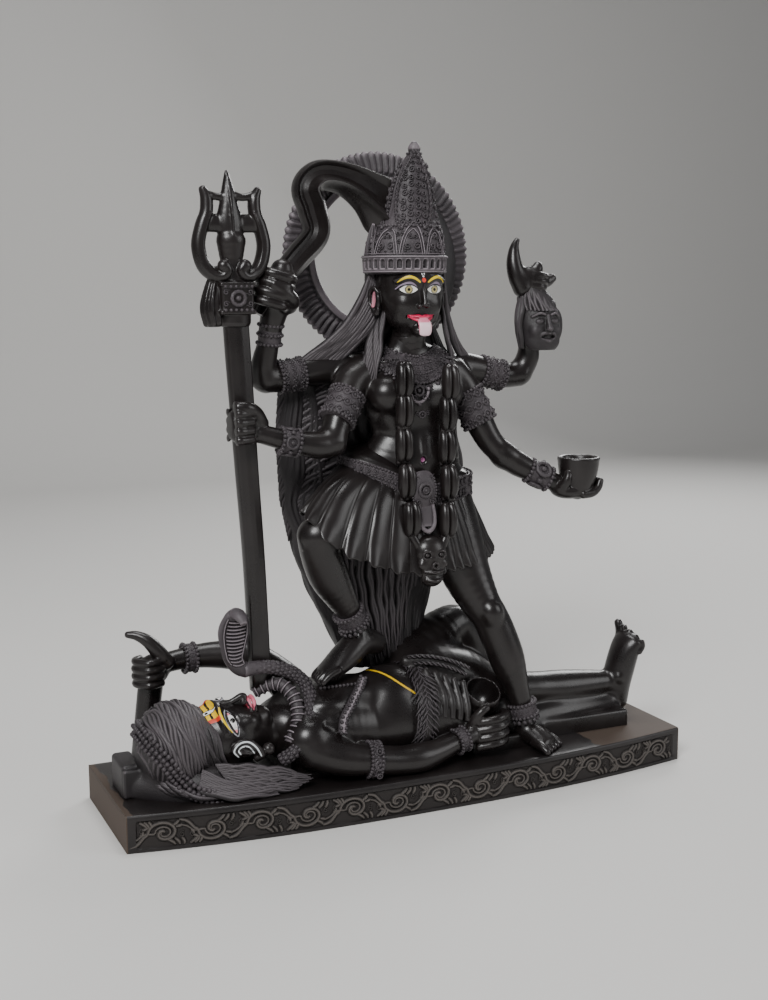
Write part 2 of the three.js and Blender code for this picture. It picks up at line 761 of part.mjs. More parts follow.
// Severed head hanging from the fist by its hair
function severedHead() {
  const made = [egg(159, -2, 464, 21, 17, 25, { wide: 10, high: 7 })];
  made.push(limb([[152, 2, 500, 9, 9], [156, 0, 486, 15, 12], [158, -2, 476, 20, 15]], { rings: 4 }));
  made.push(limb([[159, -16, 468, 4, 3], [159, -22, 460, 4.5, 4]], { sides: 5 }));
  made.push(egg(159, -14, 446, 13, 8, 10, { wide: 8, high: 5 }));
  made.push(limb([[140, 0, 480, 6, 6], [137, -2, 458, 5, 6], [143, -4, 444, 4, 4]], { sides: 6 }));
  made.push(limb([[177, 0, 480, 6, 6], [181, -2, 458, 5, 6], [176, -4, 444, 4, 4]], { sides: 6 }));
  return made;
}

// Head of the standing figure with tongue and ears
function standingHead() {
  const made = [egg(9, -10, 496, 30, 29, 40, { wide: 12, high: 9 })];
  made.push(limb([[9, -14, 500, 27, 24], [9, -18, 478, 23, 20], [9, -22, 464, 13, 12]], { sides: 10, rings: 4 }));
  made.push(limb([[8, -38, 502, 3.5, 3], [7, -43, 486, 5, 4.5], [7, -38, 481, 5, 4]], { sides: 6 }));
  made.push(egg(7, -37, 474, 8.5, 5, 4.5, { wide: 8, high: 5 }));
  made.push(limb([[7, -36, 474, 6, 4], [6, -42, 466, 7, 2.6], [6, -42, 456, 6.5, 2.6]], { sides: 7 }));
  made.push(limb([[-24, -6, 506, 3, 4], [-26, -8, 492, 4.5, 6], [-23, -8, 480, 4, 4]], { sides: 6 }));
  made.push(limb([[41, -6, 506, 3, 4], [43, -8, 492, 4.5, 6], [40, -8, 480, 4, 4]], { sides: 6 }));
  return made;
}

// Tall crown in tiers of scrolled leaves
function crown() {
  const tiers = [
    [514, 9, 38, 33, 0],
    [519, 9, 42, 37, 0],
    [528, 9, 43, 38, 0],
    [530, 9, 38, 33, 0],
    [546, 10, 38, 32, 0.07],
    [562, 13, 30, 25, 0.1],
    [564, 15, 26, 22, 0.04],
    [582, 17, 22, 19, 0.08],
    [596, 18, 20, 17, 0.08],
    [600, 18, 17, 15, 0.03],
    [616, 18, 13, 12, 0.06],
    [630, 17, 7, 7, 0],
  ];
  const sides = 24;
  const rings = tiers.map(([z, x, half, thick, leaf]) =>
    oval(at(x, 0, z), UP, FRONT, half * UNIT, thick * UNIT, sides, (turn) => 1 + leaf * Math.cos(8 * turn)),
  );
  const made = [skin(rings, null, at(17, 0, STATUE_TOP))];
  for (let k = 0; k < 7; k++) {
    const turn = THREE.MathUtils.degToRad(-90 + 36 * (k - 3));
    const x = 9 + 38 * Math.cos(turn);
    const y = 34 * Math.sin(turn);
    const tall = k === 3 ? 572 : 556 - 2 * Math.abs(k - 3);
    const wide = k === 3 ? 12 : 8.5;
    made.push(
      limb([[x, y, 528, wide * 0.8, 4], [x * 0.97, y, 542, wide, 5], [x * 0.95 + 0.6, y * 0.9, tall, 2, 2]], {
        sides: 6,
        facing: new THREE.Vector3(Math.cos(turn), Math.sin(turn), 0),
      }),
    );
  }
  made.push(limb([[-25, 4, 522, 8, 8], [-27, 4, 545, 5, 5], [-25, 4, 562, 1.5, 1.5]], { sides: 6 }));
  return made;
}

// Halo ring with radial flutes and a scalloped rim
function halo() {
  const centre = at(-5, 40, 534);
  const steps = HALO_FLUTES * 2;
  const outer = HALO_RADIUS * UNIT;
  const inner = (HALO_RADIUS - HALO_BAND) * UNIT;
  const thick = (HALO_THICKNESS * UNIT) / 2;
  const positions = [];
  const corner = (k) => {
    const turn = (2 * Math.PI * k) / steps;
    const ridge = k % 2 ? 1 : 0;
    const big = outer - (ridge ? 0 : 4.5 * UNIT);
    const place = (r, y) =>
      new THREE.Vector3(centre.x + r * Math.cos(turn), centre.y + y, centre.z + r * Math.sin(turn));
    return [
      place(big, -thick * (ridge ? 0.55 : 0.25)),
      place(big, thick * 0.8),
      place(inner, thick),
      place(inner, -thick * 0.6),
      place(inner + 9 * UNIT, -thick * (ridge ? 1 : 0.72)),
    ];
  };
  for (let k = 0; k < steps; k++) {
    const a = corner(k);
    const b = corner((k + 1) % steps);
    for (let i = 0; i < a.length; i++) {
      const j = (i + 1) % a.length;
      [a[i], a[j], b[j], a[i], b[j], b[i]].forEach((p) => positions.push(p.x, p.y, p.z));
    }
  }
  const geometry = new THREE.BufferGeometry();
  geometry.setAttribute("position", new THREE.Float32BufferAttribute(positions, 3));
  return solidOf(geometry);
}

// Long hair: a mass of locks behind the body, and strands that fall from under the crown
function hair() {
  const levels = [
    [486, -22, 40, 8, 36],
    [462, -48, 52, 6, 38],
    [440, -78, 66, 8, 40],
    [421, -106, 90, 12, 40],
    [404, -112, 92, 16, 42],
    [364, -116, 84, 18, 42],
    [330, -115, 90, 18, 42],
    [294, -112, 94, 18, 42],
    [238, -100, 70, 16, 42],
    [205, -88, 56, 14, 42],
    [165, -68, 46, 12, 40],
    [120, -46, 34, 10, 38],
  ];
  const count = 14;
  const rings = levels.map(([z, left, right, front, back], n) => {
    const ring = [];
    const wave = (i) => (i % 2 ? 3.2 : -1.2);
    for (let i = 0; i <= count; i++) {
      const x = left + ((right - left) * i) / count;
      const edge = Math.sin((Math.PI * i) / count) ** 0.5;
      ring.push(at(x + 1.5 * Math.sin(n), back - (back - front) * edge * 0.9 - wave(i), z));
    }
    for (let i = count - 1; i > 0; i--) {
      const x = left + ((right - left) * i) / count;
      ring.push(at(x + 1.5 * Math.sin(n), back + wave(i) * 0.8, z));
    }
    return ring;
  });
  const made = [skin(rings), egg(10, 22, 512, 36, 22, 48, { wide: 10, high: 7 })];
  made.push(egg(40, 32, 536, 34, 13, 56, { wide: 9, high: 6 }));
  for (let k = 0; k < 6; k++) {
    const f = k / 5;
    made.push(
      limb(
        [
          [-26 + 6 * f, -2 + 3 * f, 516 - 26 * f, 6, 6],
          [-44 + 10 * f, 4, 484 - 20 * f, 8, 7],
          [-74 + 14 * f, 6 + 2 * f, 450 - 8 * f, 8, 7],
          [-112 + 30 * f, 20 - 8 * f, 424 - 3 * f, 4, 4],
        ],
        { sides: 6, rings: 5 },
      ),
    );
  }
  for (let k = 0; k < 4; k++) {
    const f = k / 3;
    made.push(
      limb(
        [
          [44, -2 + 4 * f, 512 - 14 * f, 6, 6],
          [50 + 3 * f, 2, 478 - 8 * f, 7, 7],
          [60 + 8 * f, 2 + 6 * f, 448, 7, 7],
          [78 + 14 * f, 10 + 6 * f, 424, 4, 4],
        ],
        { sides: 6, rings: 5 },
      ),
    );
  }
  for (let k = 0; k < 3; k++) {
    made.push(
      limb([[-20 - 4 * k, -8, 474 - 4 * k, 5, 5], [-30 - 6 * k, -14, 440, 5, 5], [-36 - 7 * k, -18, 412, 2, 2]], {
        sides: 5,
        rings: 4,
      }),
    );
  }
  return made;
}

// Necklace, garland of heads in two columns, skull pendant
function ornaments() {
  const made = [];
  const collar = [];
  for (let k = 0; k <= 8; k++) {
    const turn = THREE.MathUtils.degToRad(-20 + 27.5 * k);
    collar.push([9 - 36 * Math.cos(turn), -22 - 10 * Math.sin(turn), 440 - 26 * Math.sin(turn), 7, 5]);
  }
  made.push(limb(collar, { sides: 6, rings: 9 }));
  made.push(limb([[9, -34, 424, 17, 6], [9, -36, 408, 12, 6], [10, -36, 396, 5, 5]], { sides: 7 }));
  const left = [[-16, 418], [-15, 387], [-14.5, 352], [-14, 317], [-10, 281]];
  const right = [[38, 414], [37, 383], [36, 348], [36, 314], [33, 278]];
  [...left, ...right].forEach(([x, z], k) => {
    const y = [-38, -36, -34, -40, -46][k % 5];
    [-4.4, 4.4].forEach((shift) => {
      made.push(
        limb(
          [
            [x + shift * 0.6, y, z + 17, 4, 5],
            [x + shift, y - 1.5, z, 5.6, 7],
            [x + shift * 0.6, y, z - 17, 4, 5],
          ],
          { sides: 6 },
        ),
      );
    });
  });
  made.push(limb([[-12, -46, 270, 5, 6], [0, -46, 250, 6, 6]], { sides: 6 }));
  made.push(limb([[34, -46, 266, 5, 6], [26, -46, 250, 6, 6]], { sides: 6 }));
  made.push(egg(13, -48, 246, 16, 12, 18, { wide: 10, high: 6 }));
  made.push(limb([[13, -50, 234, 11, 9], [13, -52, 220, 9, 8]], { sides: 8 }));
  return made;
}

// Curved sword of ridged section, from the fist over to the crown
function sword() {
  const line = [
    [-146, 2, 478, 9, 9],
    [-127, 3, 505, 10, 11],
    [-104, 8, 528, 12, 14],
    [-82, 12, 552, 13, 17],
    [-85, 14, 576, 14, 18],
    [-90, 15, 594, 14, 18],
    [-78, 16, 606, 14, 18],
    [-55, 16, 605, 15, 18],
    [-31, 14, 594, 20, 18],
    [-10, 10, 576, 28, 18],
    [4, 6, 552, 24, 17],
  ];
  const ridged = (turn) => (Math.abs(Math.sin(turn)) > 0.9 ? 1.05 : 0.95);
  return limb(line, { sides: 6, rings: 17, shape: ridged });
}

// Trident with its shaft, drum and tassel
function trident() {
  const made = [];
  made.push(
    limb(
      [
        [-150, -2, 118, 10.5, 9],
        [-156, -6, 240, 10.5, 9],
        [-163, -10, 330, 11, 9],
        [-170, -13, 430, 12, 9],
        [-173, -14, 480, 12, 9],
      ],
      { sides: 6, rings: 5, blunt: 0 },
    ),
  );
  made.push(limb([[-173, -14, 472, 16, 13], [-174, -14, 508, 17, 13]], { sides: 8, blunt: 0 }));
  made.push(limb([[-195, -12, 514, 6, 7], [-198, -13, 492, 10, 8], [-198, -13, 476, 8, 7]], { sides: 7 }));
  made.push(limb([[-174, -14, 500, 13, 10], [-175, -14, 520, 10, 9], [-176, -14, 531, 11, 10]], { sides: 8 }));
  made.push(limb([[-176, -14, 530, 14, 11], [-176, -14, 536, 14, 11]], { sides: 9 }));
  made.push(limb([[-176, -14, 540, 12, 10], [-176, -14, 546, 12, 10]], { sides: 9 }));
  made.push(
    limb([[-176, -14, 544, 9, 9], [-177, -14, 566, 10, 9], [-178, -14, 586, 6, 6], [-179, -14, 606, 1.5, 1.5]], {
      sides: 8,
      rings: 6,
      blunt: 1,
    }),
  );
  [-1, 1].forEach((way) => {
    const x = (d) => -175.5 + way * d;
    made.push(
      limb(
        [
          [x(4), -15, 520, 6, 7],
          [x(14), -16, 513, 6, 7],
          [x(26), -15, 521, 6, 7],
          [x(31), -14, 540, 5.5, 7],
          [x(26), -14, 557, 5.5, 7],
          [x(22), -14, 570, 6, 6],
          [x(23), -14, 588, 4, 5],
        ],
        { sides: 6, rings: 10 },
      ),
    );
    made.push(limb([[x(24), -14, 557, 5.5, 5], [x(4), -14, 557, 5.5, 5]], { sides: 5 }));
    made.push(limb([[x(22), -14, 583, 4, 4], [x(2), -14, 584, 4, 4]], { sides: 5 }));
  });
  return made;
}

// Thins a closed mesh: edges whose loss moves the surface least are drawn together,
// until the wanted number of triangles is left
function thinned(solid, wanted) {
  const mesh = solid.getMesh();
  const step = mesh.numProp;
  const spot = [];
  for (let i = 0; i < mesh.numVert; i++) {
    spot.push([...mesh.vertProperties.subarray(i * step, i * step + 3)]);
  }
  const faces = [];
  for (let i = 0; i < mesh.triVerts.length; i += 3) faces.push([...mesh.triVerts.subarray(i, i + 3)]);
  const alive = faces.map(() => true);
  const ring = spot.map(() => new Set());
  const form = spot.map(() => new Float64Array(10));
  const sub = (a, b) => [a[0] - b[0], a[1] - b[1], a[2] - b[2]];
  const cross = (a, b) => [
    a[1] * b[2] - a[2] * b[1],
    a[2] * b[0] - a[0] * b[2],
    a[0] * b[1] - a[1] * b[0],
  ];
  const dot = (a, b) => a[0] * b[0] + a[1] * b[1] + a[2] * b[2];
  const normalOf = (a, b, c) => cross(sub(b, a), sub(c, a));
  faces.forEach((face, f) => {
    const n = normalOf(...face.map((v) => spot[v]));
    const size = Math.hypot(...n) || 1e-12;
    const u = n.map((value) => value / size);
    const d = -dot(u, spot[face[0]]);
    const p = [...u, d];
    face.forEach((v) => {
      ring[v].add(f);
      let slot = 0;
      for (let i = 0; i < 4; i++) {
        for (let j = i; j < 4; j++) form[v][slot++] += p[i] * p[j] * size;
      }
    });
  });
  const misfit = (q, [x, y, z]) =>
    q[0] * x * x + 2 * q[1] * x * y + 2 * q[2] * x * z + 2 * q[3] * x + q[4] * y * y +
    2 * q[5] * y * z + 2 * q[6] * y + q[7] * z * z + 2 * q[8] * z + q[9];
  const price = (a, b) => {
    const q = form[a].map((value, i) => value + form[b][i]);
    const half = spot[a].map((value, i) => (value + spot[b][i]) / 2);
    const choices = [spot[a], spot[b], half];
    const costs = choices.map((choice) => misfit(q, choice));
    const best = costs.indexOf(Math.min(...costs));
    const long = Math.hypot(...sub(spot[a], spot[b]));
    return { a, b, place: choices[best], cost: Math.max(costs[best], 0) + 1e-4 * long * long };
  };
  const near = (v) => {
    const found = new Set();
    ring[v].forEach((f) => faces[f].forEach((w) => w !== v && found.add(w)));
    return found;
  };
  const keepsShape = (v, other, place) => {
    for (const f of ring[v]) {
      const face = faces[f];
      if (face.includes(other)) continue;
      const before = face.map((w) => spot[w]);
      const after = face.map((w) => (w === v ? place : spot[w]));
      const n0 = normalOf(...before);
      const n1 = normalOf(...after);
      const size = Math.hypot(...n1);
      if (dot(n0, n1) < 0.3 * Math.hypot(...n0) * size) return false;
      const span = Math.max(...after.map((p, i) => Math.hypot(...sub(p, after[(i + 1) % 3]))));
      if (size < 0.02 * span * span) return false;
    }
    return true;
  };
  let left = faces.length;
  for (let pass = 0; pass < 60 && left > wanted; pass++) {
    const edges = [];
    faces.forEach((face, f) => {
      if (!alive[f]) return;
      for (let i = 0; i < 3; i++) {
        const [a, b] = [face[i], face[(i + 1) % 3]];
        if (a < b) edges.push(price(a, b));
      }
    });
    edges.sort((p, q) => p.cost - q.cost);
    const quota = Math.max(60, Math.min(left - wanted, left * 0.12));
    const touched = new Set();
    let gone = 0;
    for (const { a, b, place } of edges) {
      if (gone >= quota) break;
      if (touched.has(a) || touched.has(b)) continue;
      const aroundA = near(a);
      const aroundB = near(b);
      const shared = [...aroundA].filter((v) => aroundB.has(v));
      if (shared.length !== 2) continue;
      if (!keepsShape(a, b, place) || !keepsShape(b, a, place)) continue;
      spot[a] = [...place];
      form[a] = form[a].map((value, i) => value + form[b][i]);
      [...ring[b]].forEach((f) => {
        if (faces[f].includes(a)) {
          alive[f] = false;
          faces[f].forEach((v) => ring[v].delete(f));
          gone += 1;
        } else {
          faces[f] = faces[f].map((v) => (v === b ? a : v));
          ring[a].add(f);
        }
      });
      ring[b].clear();
      [a, b, ...aroundA, ...aroundB].forEach((v) => touched.add(v));
    }
    left -= gone;
    if (!gone) break;
  }
  const geometry = new THREE.BufferGeometry();
  const corners = [];
  faces.forEach((face, f) => alive[f] && face.forEach((v) => corners.push(...spot[v])));
  geometry.setAttribute("position", new THREE.Float32BufferAttribute(corners, 3));
  return geometry;
}

// The joined figures, thinned, then joined with the plinth and its frieze
const cupParts = cup();
const figures = join([
  recliningBody(),
  furWrap(),
  recliningArms(),
  recliningHead(),
  cobra(),
  standingTrunk(),
  skirt(),
  standingLegs(),
  standingArms(),
  cupParts.wall,
  severedHead(),
  standingHead(),
  crown(),
  halo(),
  hair(),
  ornaments(),
  sword(),
  trident(),
]).subtract(cupParts.hollow);
const plinthWhole = join([plinth(), frieze()]);
const whole = solidOf(thinned(figures, FIGURE_TRIANGLES)).add(plinthWhole);

const stoneLook = new THREE.MeshStandardMaterial({ color: 0x1d1c1d, roughness: 0.34, metalness: 0 });
const result = whole.getMesh();
const flat = new Float32Array(result.numVert * 3);
for (let i = 0; i < result.numVert; i++) {
  const start = i * result.numProp;
  flat.set(result.vertProperties.subarray(start, start + 3), i * 3);
}
const carved = new THREE.BufferGeometry();
carved.setAttribute("position", new THREE.BufferAttribute(flat, 3));
carved.setIndex(new THREE.BufferAttribute(new Uint32Array(result.triVerts), 1));
carved.computeVertexNormals();

const statue = new THREE.Group();
statue.name = "kali_figure";
const body = new THREE.Mesh(carved, stoneLook);
body.name = "kali_statue";
statue.add(body);

export default statue;
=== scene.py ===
# Black stone kali figure standing on a reclining figure: carving, polish, paint, floor, light, camera
import math
import bmesh
import bpy
import numpy as np
import openvdb
from mathutils import Matrix, Vector
from mathutils.bvhtree import BVHTree


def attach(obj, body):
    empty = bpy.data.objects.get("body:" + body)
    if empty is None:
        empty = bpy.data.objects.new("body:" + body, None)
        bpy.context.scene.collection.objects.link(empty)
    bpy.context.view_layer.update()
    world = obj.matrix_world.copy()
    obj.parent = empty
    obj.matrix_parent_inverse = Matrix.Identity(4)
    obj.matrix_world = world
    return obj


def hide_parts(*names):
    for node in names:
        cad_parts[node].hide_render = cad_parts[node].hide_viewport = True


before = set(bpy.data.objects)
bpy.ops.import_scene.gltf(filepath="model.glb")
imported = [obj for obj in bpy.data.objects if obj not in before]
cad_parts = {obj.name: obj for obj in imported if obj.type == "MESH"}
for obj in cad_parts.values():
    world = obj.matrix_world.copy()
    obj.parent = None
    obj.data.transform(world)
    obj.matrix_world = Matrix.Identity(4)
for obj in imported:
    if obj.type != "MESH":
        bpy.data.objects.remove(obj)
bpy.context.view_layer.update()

# Sizes in millimetres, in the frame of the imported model
MM = 0.001
STATUE_NODE = "kali_statue"
PLINTH_LENGTH = 600
PLINTH_DEPTH = 176
PLINTH_HEIGHT = 35
PLINTH_BOW = 24.4
PLINTH_BOW_POWER = 2.43
FRIEZE_RELIEF = 1.6
FRIEZE_SCROLLS = 13
HALO_CENTRE = (-5, 40, 534)
HALO_RADIUS = 100
HALO_BAND = 31
HALO_FLUTES = 84
FRONT = (0, -1, 0)
UP = (0, 0, 1)
FULL_TURN = 2 * math.pi

# Camera: place, lens and sensor in millimetres, turns in degrees
CAMERA_PLACE = (-570.9, -1214.3, 500.8)
CAMERA_AZIMUTH = -24.5
CAMERA_ELEVATION = 8.82
CAMERA_ROLL = -0.1
CAMERA_LENS = 49.13
CAMERA_SENSOR = 36
CAMERA_SEES = 20

# Floor and backdrop in metres, lights as (place, size in metres, watts)
FLOOR_HALF_WIDTH = 6.0
FLOOR_DEPTH = 2.2
FLOOR_BEND = 0.5
BACKDROP_HEIGHT = 4.0
PAPER_COLOUR = (0.62, 0.61, 0.59)
PAPER_ROUGHNESS = 0.9
ROOM_COLOUR = (0.80, 0.82, 0.86, 1)
ROOM_STRENGTH = 0.18
LIGHT_TARGET = Vector((0, 0, 0.3))
LIGHTS = {
    "key_light": ((-1.35, -1.45, 1.75), 0.9, 54), "fill_light": ((1.9, -1.5, 1.1), 1.3, 16),
    "top_light": ((0.1, 0.2, 2.3), 1.0, 26), "rim_light": ((1.6, 1.5, 1.4), 0.9, 24)}


def linked(name, data):
    item = bpy.data.objects.new(name, data)
    bpy.context.collection.objects.link(item)
    return item


def camera():
    data = bpy.data.cameras.new("photo_view")
    data.lens = CAMERA_LENS
    data.sensor_width = CAMERA_SENSOR
    data.clip_end = CAMERA_SEES
    view = linked("photo_view", data)
    turn = Matrix.Rotation(math.radians(CAMERA_AZIMUTH), 4, "Z")
    tilt = Matrix.Rotation(math.radians(90 - CAMERA_ELEVATION), 4, "X")
    roll = Matrix.Rotation(math.radians(CAMERA_ROLL), 4, "Z")
    place = [length * MM for length in CAMERA_PLACE]
    view.matrix_world = Matrix.Translation(place) @ turn @ tilt @ roll
    bpy.context.scene.camera = view


def plain_material(name, colour, roughness):
    material = bpy.data.materials.new(name)
    material.use_nodes = True
    shader = material.node_tree.nodes["Principled BSDF"]
    shader.inputs["Base Color"].default_value = (*colour, 1)
    shader.inputs["Roughness"].default_value = roughness
    return material


def studio():
    wide, deep, bend_size = FLOOR_HALF_WIDTH, FLOOR_DEPTH, FLOOR_BEND
    points = [(-wide, -deep * 1.6, 0), (wide, -deep * 1.6, 0), (wide, deep, 0), (-wide, deep, 0)]
    faces = [(0, 1, 2, 3)]
    bend = [
        (deep + bend_size * math.sin(a), bend_size - bend_size * math.cos(a))
        for a in np.linspace(0.3, math.pi / 2, 5)]
    bend.append((deep + bend_size, BACKDROP_HEIGHT))
    for y, z in bend:
        points += [(wide, y, z), (-wide, y, z)]
        last = len(points) - 1
        before = (2, 3) if last == 5 else (last - 3, last - 2)
        faces.append((before[0], last - 1, last, before[1]))
    mesh = bpy.data.meshes.new("studio_floor")
    mesh.from_pydata(points, [], faces)
    mesh.polygons.foreach_set("use_smooth", [True] * len(faces))
    mesh.materials.append(plain_material("pale_paper", PAPER_COLOUR, PAPER_ROUGHNESS))
    linked("studio_floor", mesh)
    world = bpy.data.worlds.new("soft_room")
    world.use_nodes = True
    world.node_tree.nodes["Background"].inputs["Color"].default_value = ROOM_COLOUR
    world.node_tree.nodes["Background"].inputs["Strength"].default_value = ROOM_STRENGTH
    bpy.context.scene.world = world
    for name, (place, size, power) in LIGHTS.items():
        softbox(name, place, size, power)


def softbox(name, place, size, power):
    data = bpy.data.lights.new(name, "AREA")
    data.shape = "SQUARE"
    data.size = size
    data.energy = power
    lamp = linked(name, data)
    lamp.location = place
    lamp.rotation_euler = (LIGHT_TARGET - Vector(place)).to_track_quat("-Z", "Y").to_euler()


camera()
studio()


# Smooth curves through stations, and rings across them
def smooth_rows(rows, per_span):
    rows = np.asarray(rows, float)
    padded = np.vstack([2 * rows[0] - rows[1], rows, 2 * rows[-1] - rows[-2]])
    made = []
    for k in range(len(rows) - 1):
        a, b, c, d = padded[k:k + 4]
        for t in np.arange(per_span) / per_span:
            bend = 2 * a - 5 * b + 4 * c - d
            made.append(0.5 * (2 * b + (c - a) * t + bend * t**2 + (3 * b - a - 3 * c + d) * t**3))
    made.append(rows[-1])
    return np.array(made)


def whole_station(station):
    x, y, z, wide = station[:4]
    return (x, y, z, wide, station[4] if len(station) > 4 else wide)


def unit(vector):
    vector = np.asarray(vector, float)
    return vector / (np.linalg.norm(vector) + 1e-12)


def cross_frame(along, facing):
    along = unit(along)
    depth = np.asarray(facing, float)
    depth = depth - along * depth.dot(along)
    if np.linalg.norm(depth) < 0.05:
        depth = np.cross(along, (1, 0, 0))
    depth = unit(depth)
    return along, depth, np.cross(along, depth)


def turns_round(count, phase=0.0):
    return FULL_TURN * (np.arange(count) + phase) / count


def run_along(points):
    """Length travelled at each point of a line."""
    return np.concatenate([[0], np.cumsum(np.linalg.norm(np.diff(points, axis=0), axis=1))])


def table_at(value, table):
    """The other columns of a table where its first, rising one has the value."""
    rows = np.array(table, float)
    return [float(np.interp(value, rows[:, 0], rows[:, i])) for i in range(1, rows.shape[1])]


def spot_at(length, run, points):
    return np.array([np.interp(length, run, points[:, i]) for i in range(3)])


# Stone being carved: a grid of distances to its surface, in millimetres
FAR_AWAY = 12.0
GRID_MARGIN = 2.5
BULGE = 1.15
HEART = 0.05


class Clay:
    def __init__(self, low, high, step):
        self.low = np.asarray(low, float)
        self.step = step
        counts = np.ceil((np.asarray(high, float) - self.low) / step).astype(int) + 1
        self.field = np.full(counts, FAR_AWAY, np.float32)

    def window(self, low, high):
        first = np.maximum(np.floor((np.asarray(low) - self.low) / self.step).astype(int), 0)
        last = np.minimum(
            np.ceil((np.asarray(high) - self.low) / self.step).astype(int) + 1, self.field.shape)
        if (last <= first).any():
            return None
        where = tuple(slice(a, b) for a, b in zip(first, last))
        axes = [
            (self.low[i] + self.step * np.arange(first[i], last[i])).astype(np.float32) for i in range(3)]
        return where, axes[0][:, None, None], axes[1][None, :, None], axes[2][None, None, :]

    def blend(self, where, distance, soft):
        old = self.field[where]
        if soft <= 0:
            self.field[where] = np.minimum(old, distance)
            return
        share = np.clip(0.5 + 0.5 * (old - distance) / soft, 0, 1)
        self.field[where] = old + (distance - old) * share - soft * share * (1 - share)

    def carve(self, where, distance, soft):
        old = self.field[where]
        soft = max(soft, 1e-3)
        share = np.clip(0.5 - 0.5 * (old + distance) / soft, 0, 1)
        self.field[where] = old + (-distance - old) * share + soft * share * (1 - share)

    def limb(self, stations, soft=3.0, facing=FRONT, blunt=0.8, per_span=4, cut=False, flute=None):
        rows = smooth_rows([whole_station(s) for s in stations], per_span)
        reach = rows[:, 3:].max() * BULGE + soft + GRID_MARGIN * self.step
        found = self.window(rows[:, :3].min(0) - reach, rows[:, :3].max(0) + reach)
        if found is None:
            return
        where = found[0]
        start = np.array([w.start for w in where])
        whole = np.full([w.stop - w.start for w in where], FAR_AWAY, np.float32)
        last = len(rows) - 2
        for k in range(len(rows) - 1):
            a, b = rows[k], rows[k + 1]
            reach = max(a[3:].max(), b[3:].max()) * BULGE + soft + GRID_MARGIN * self.step
            found = self.window(np.minimum(a[:3], b[:3]) - reach, np.maximum(a[:3], b[:3]) + reach)
            if found is None:
                continue
            part, x, y, z = found
            part = tuple(slice(w.start - s, w.stop - s) for w, s in zip(part, start))
            length = float(np.linalg.norm(b[:3] - a[:3])) + 1e-6
            along, depth, wide = cross_frame(b[:3] - a[:3], facing)
            px, py, pz = x - a[0], y - a[1], z - a[2]
            run = px * along[0] + py * along[1] + pz * along[2]
            t = np.clip(run / length, 0, 1)
            half = a[3] + (b[3] - a[3]) * t
            thick = a[4] + (b[4] - a[4]) * t
            tip = np.minimum(half, thick)
            end = np.ones_like(tip)
            if k == 0:
                end = np.where(run < 0, blunt, end)
            if k == last:
                end = np.where(run > length, blunt, end)
            over = (run - t * length) / (tip * end)
            p = px * wide[0] + py * wide[1] + pz * wide[2]
            q = px * depth[0] + py * depth[1] + pz * depth[2]
            if flute:
                count, deep = flute
                swell = 1 + deep * np.cos(count * np.arctan2(q / thick, p / half))
                p, q = p / swell, q / swell
            p, q = p / half, q / thick
            near = np.sqrt(p * p + q * q + over * over)
            slope = np.sqrt((p / half) ** 2 + (q / thick) ** 2 + (over / tip) ** 2) + 1e-6
            distance = near * (near - 1) / slope
            distance = np.where(near < HEART, -tip, distance)
            whole[part] = np.minimum(whole[part], distance)
        (self.carve if cut else self.blend)(where, whole, soft)

    def egg(self, centre, radii, soft=3.0, turn=(0, 0, 0), cut=False):
        radii = np.asarray(radii, float)
        reach = radii.max() + soft + GRID_MARGIN * self.step
        found = self.window(np.asarray(centre) - reach, np.asarray(centre) + reach)
        if found is None:
            return
        where, x, y, z = found
        turns = [Matrix.Rotation(math.radians(angle), 3, axis) for angle, axis in zip(turn, "XYZ")]
        spin = np.array(turns[2] @ turns[1] @ turns[0]).T
        px, py, pz = x - centre[0], y - centre[1], z - centre[2]
        local = [spin[i][0] * px + spin[i][1] * py + spin[i][2] * pz for i in range(3)]
        near = np.sqrt(sum((local[i] / radii[i]) ** 2 for i in range(3)))
        slope = np.sqrt(sum((local[i] / radii[i] ** 2) ** 2 for i in range(3))) + 1e-6
        distance = np.where(near < HEART, -radii.min(), near * (near - 1) / slope)
        (self.carve if cut else self.blend)(where, distance.astype(np.float32), soft)

    def slab(self, centre, sizes, soft=1.0, cut=False, edge=1.5):
        half = np.asarray(sizes, float) / 2
        reach = np.linalg.norm(half) + soft + GRID_MARGIN * self.step
        found = self.window(np.asarray(centre) - reach, np.asarray(centre) + reach)
        if found is None:
            return
        where, *grid = found
        far = [np.abs(place - middle) - size + edge for place, middle, size in zip(grid, centre, half)]
        outside = np.sqrt(sum(np.maximum(f, 0) ** 2 for f in far))
        inside = np.minimum(np.maximum(np.maximum(far[0], far[1]), far[2]), 0)
        distance = outside + inside - edge
        (self.carve if cut else self.blend)(where, distance.astype(np.float32), soft)

    def trim_below(self, height):
        z = self.low[2] + self.step * np.arange(self.field.shape[2])
        self.field = np.maximum(self.field, (height - z).astype(np.float32)[None, None, :])

    def seal(self):
        for axis in range(3):
            for end in (0, -1):
                where = [slice(None)] * 3
                where[axis] = end
                self.field[tuple(where)] = np.maximum(self.field[tuple(where)], 0.5 * self.step)

    def polygons(self):
        self.seal()
        grid = openvdb.FloatGrid(FAR_AWAY)
        grid.copyFromArray(np.ascontiguousarray(self.field))
        points, triangles, quads = grid.convertToPolygons(0.0, 0.0)
        return points * self.step + self.low, quads, triangles


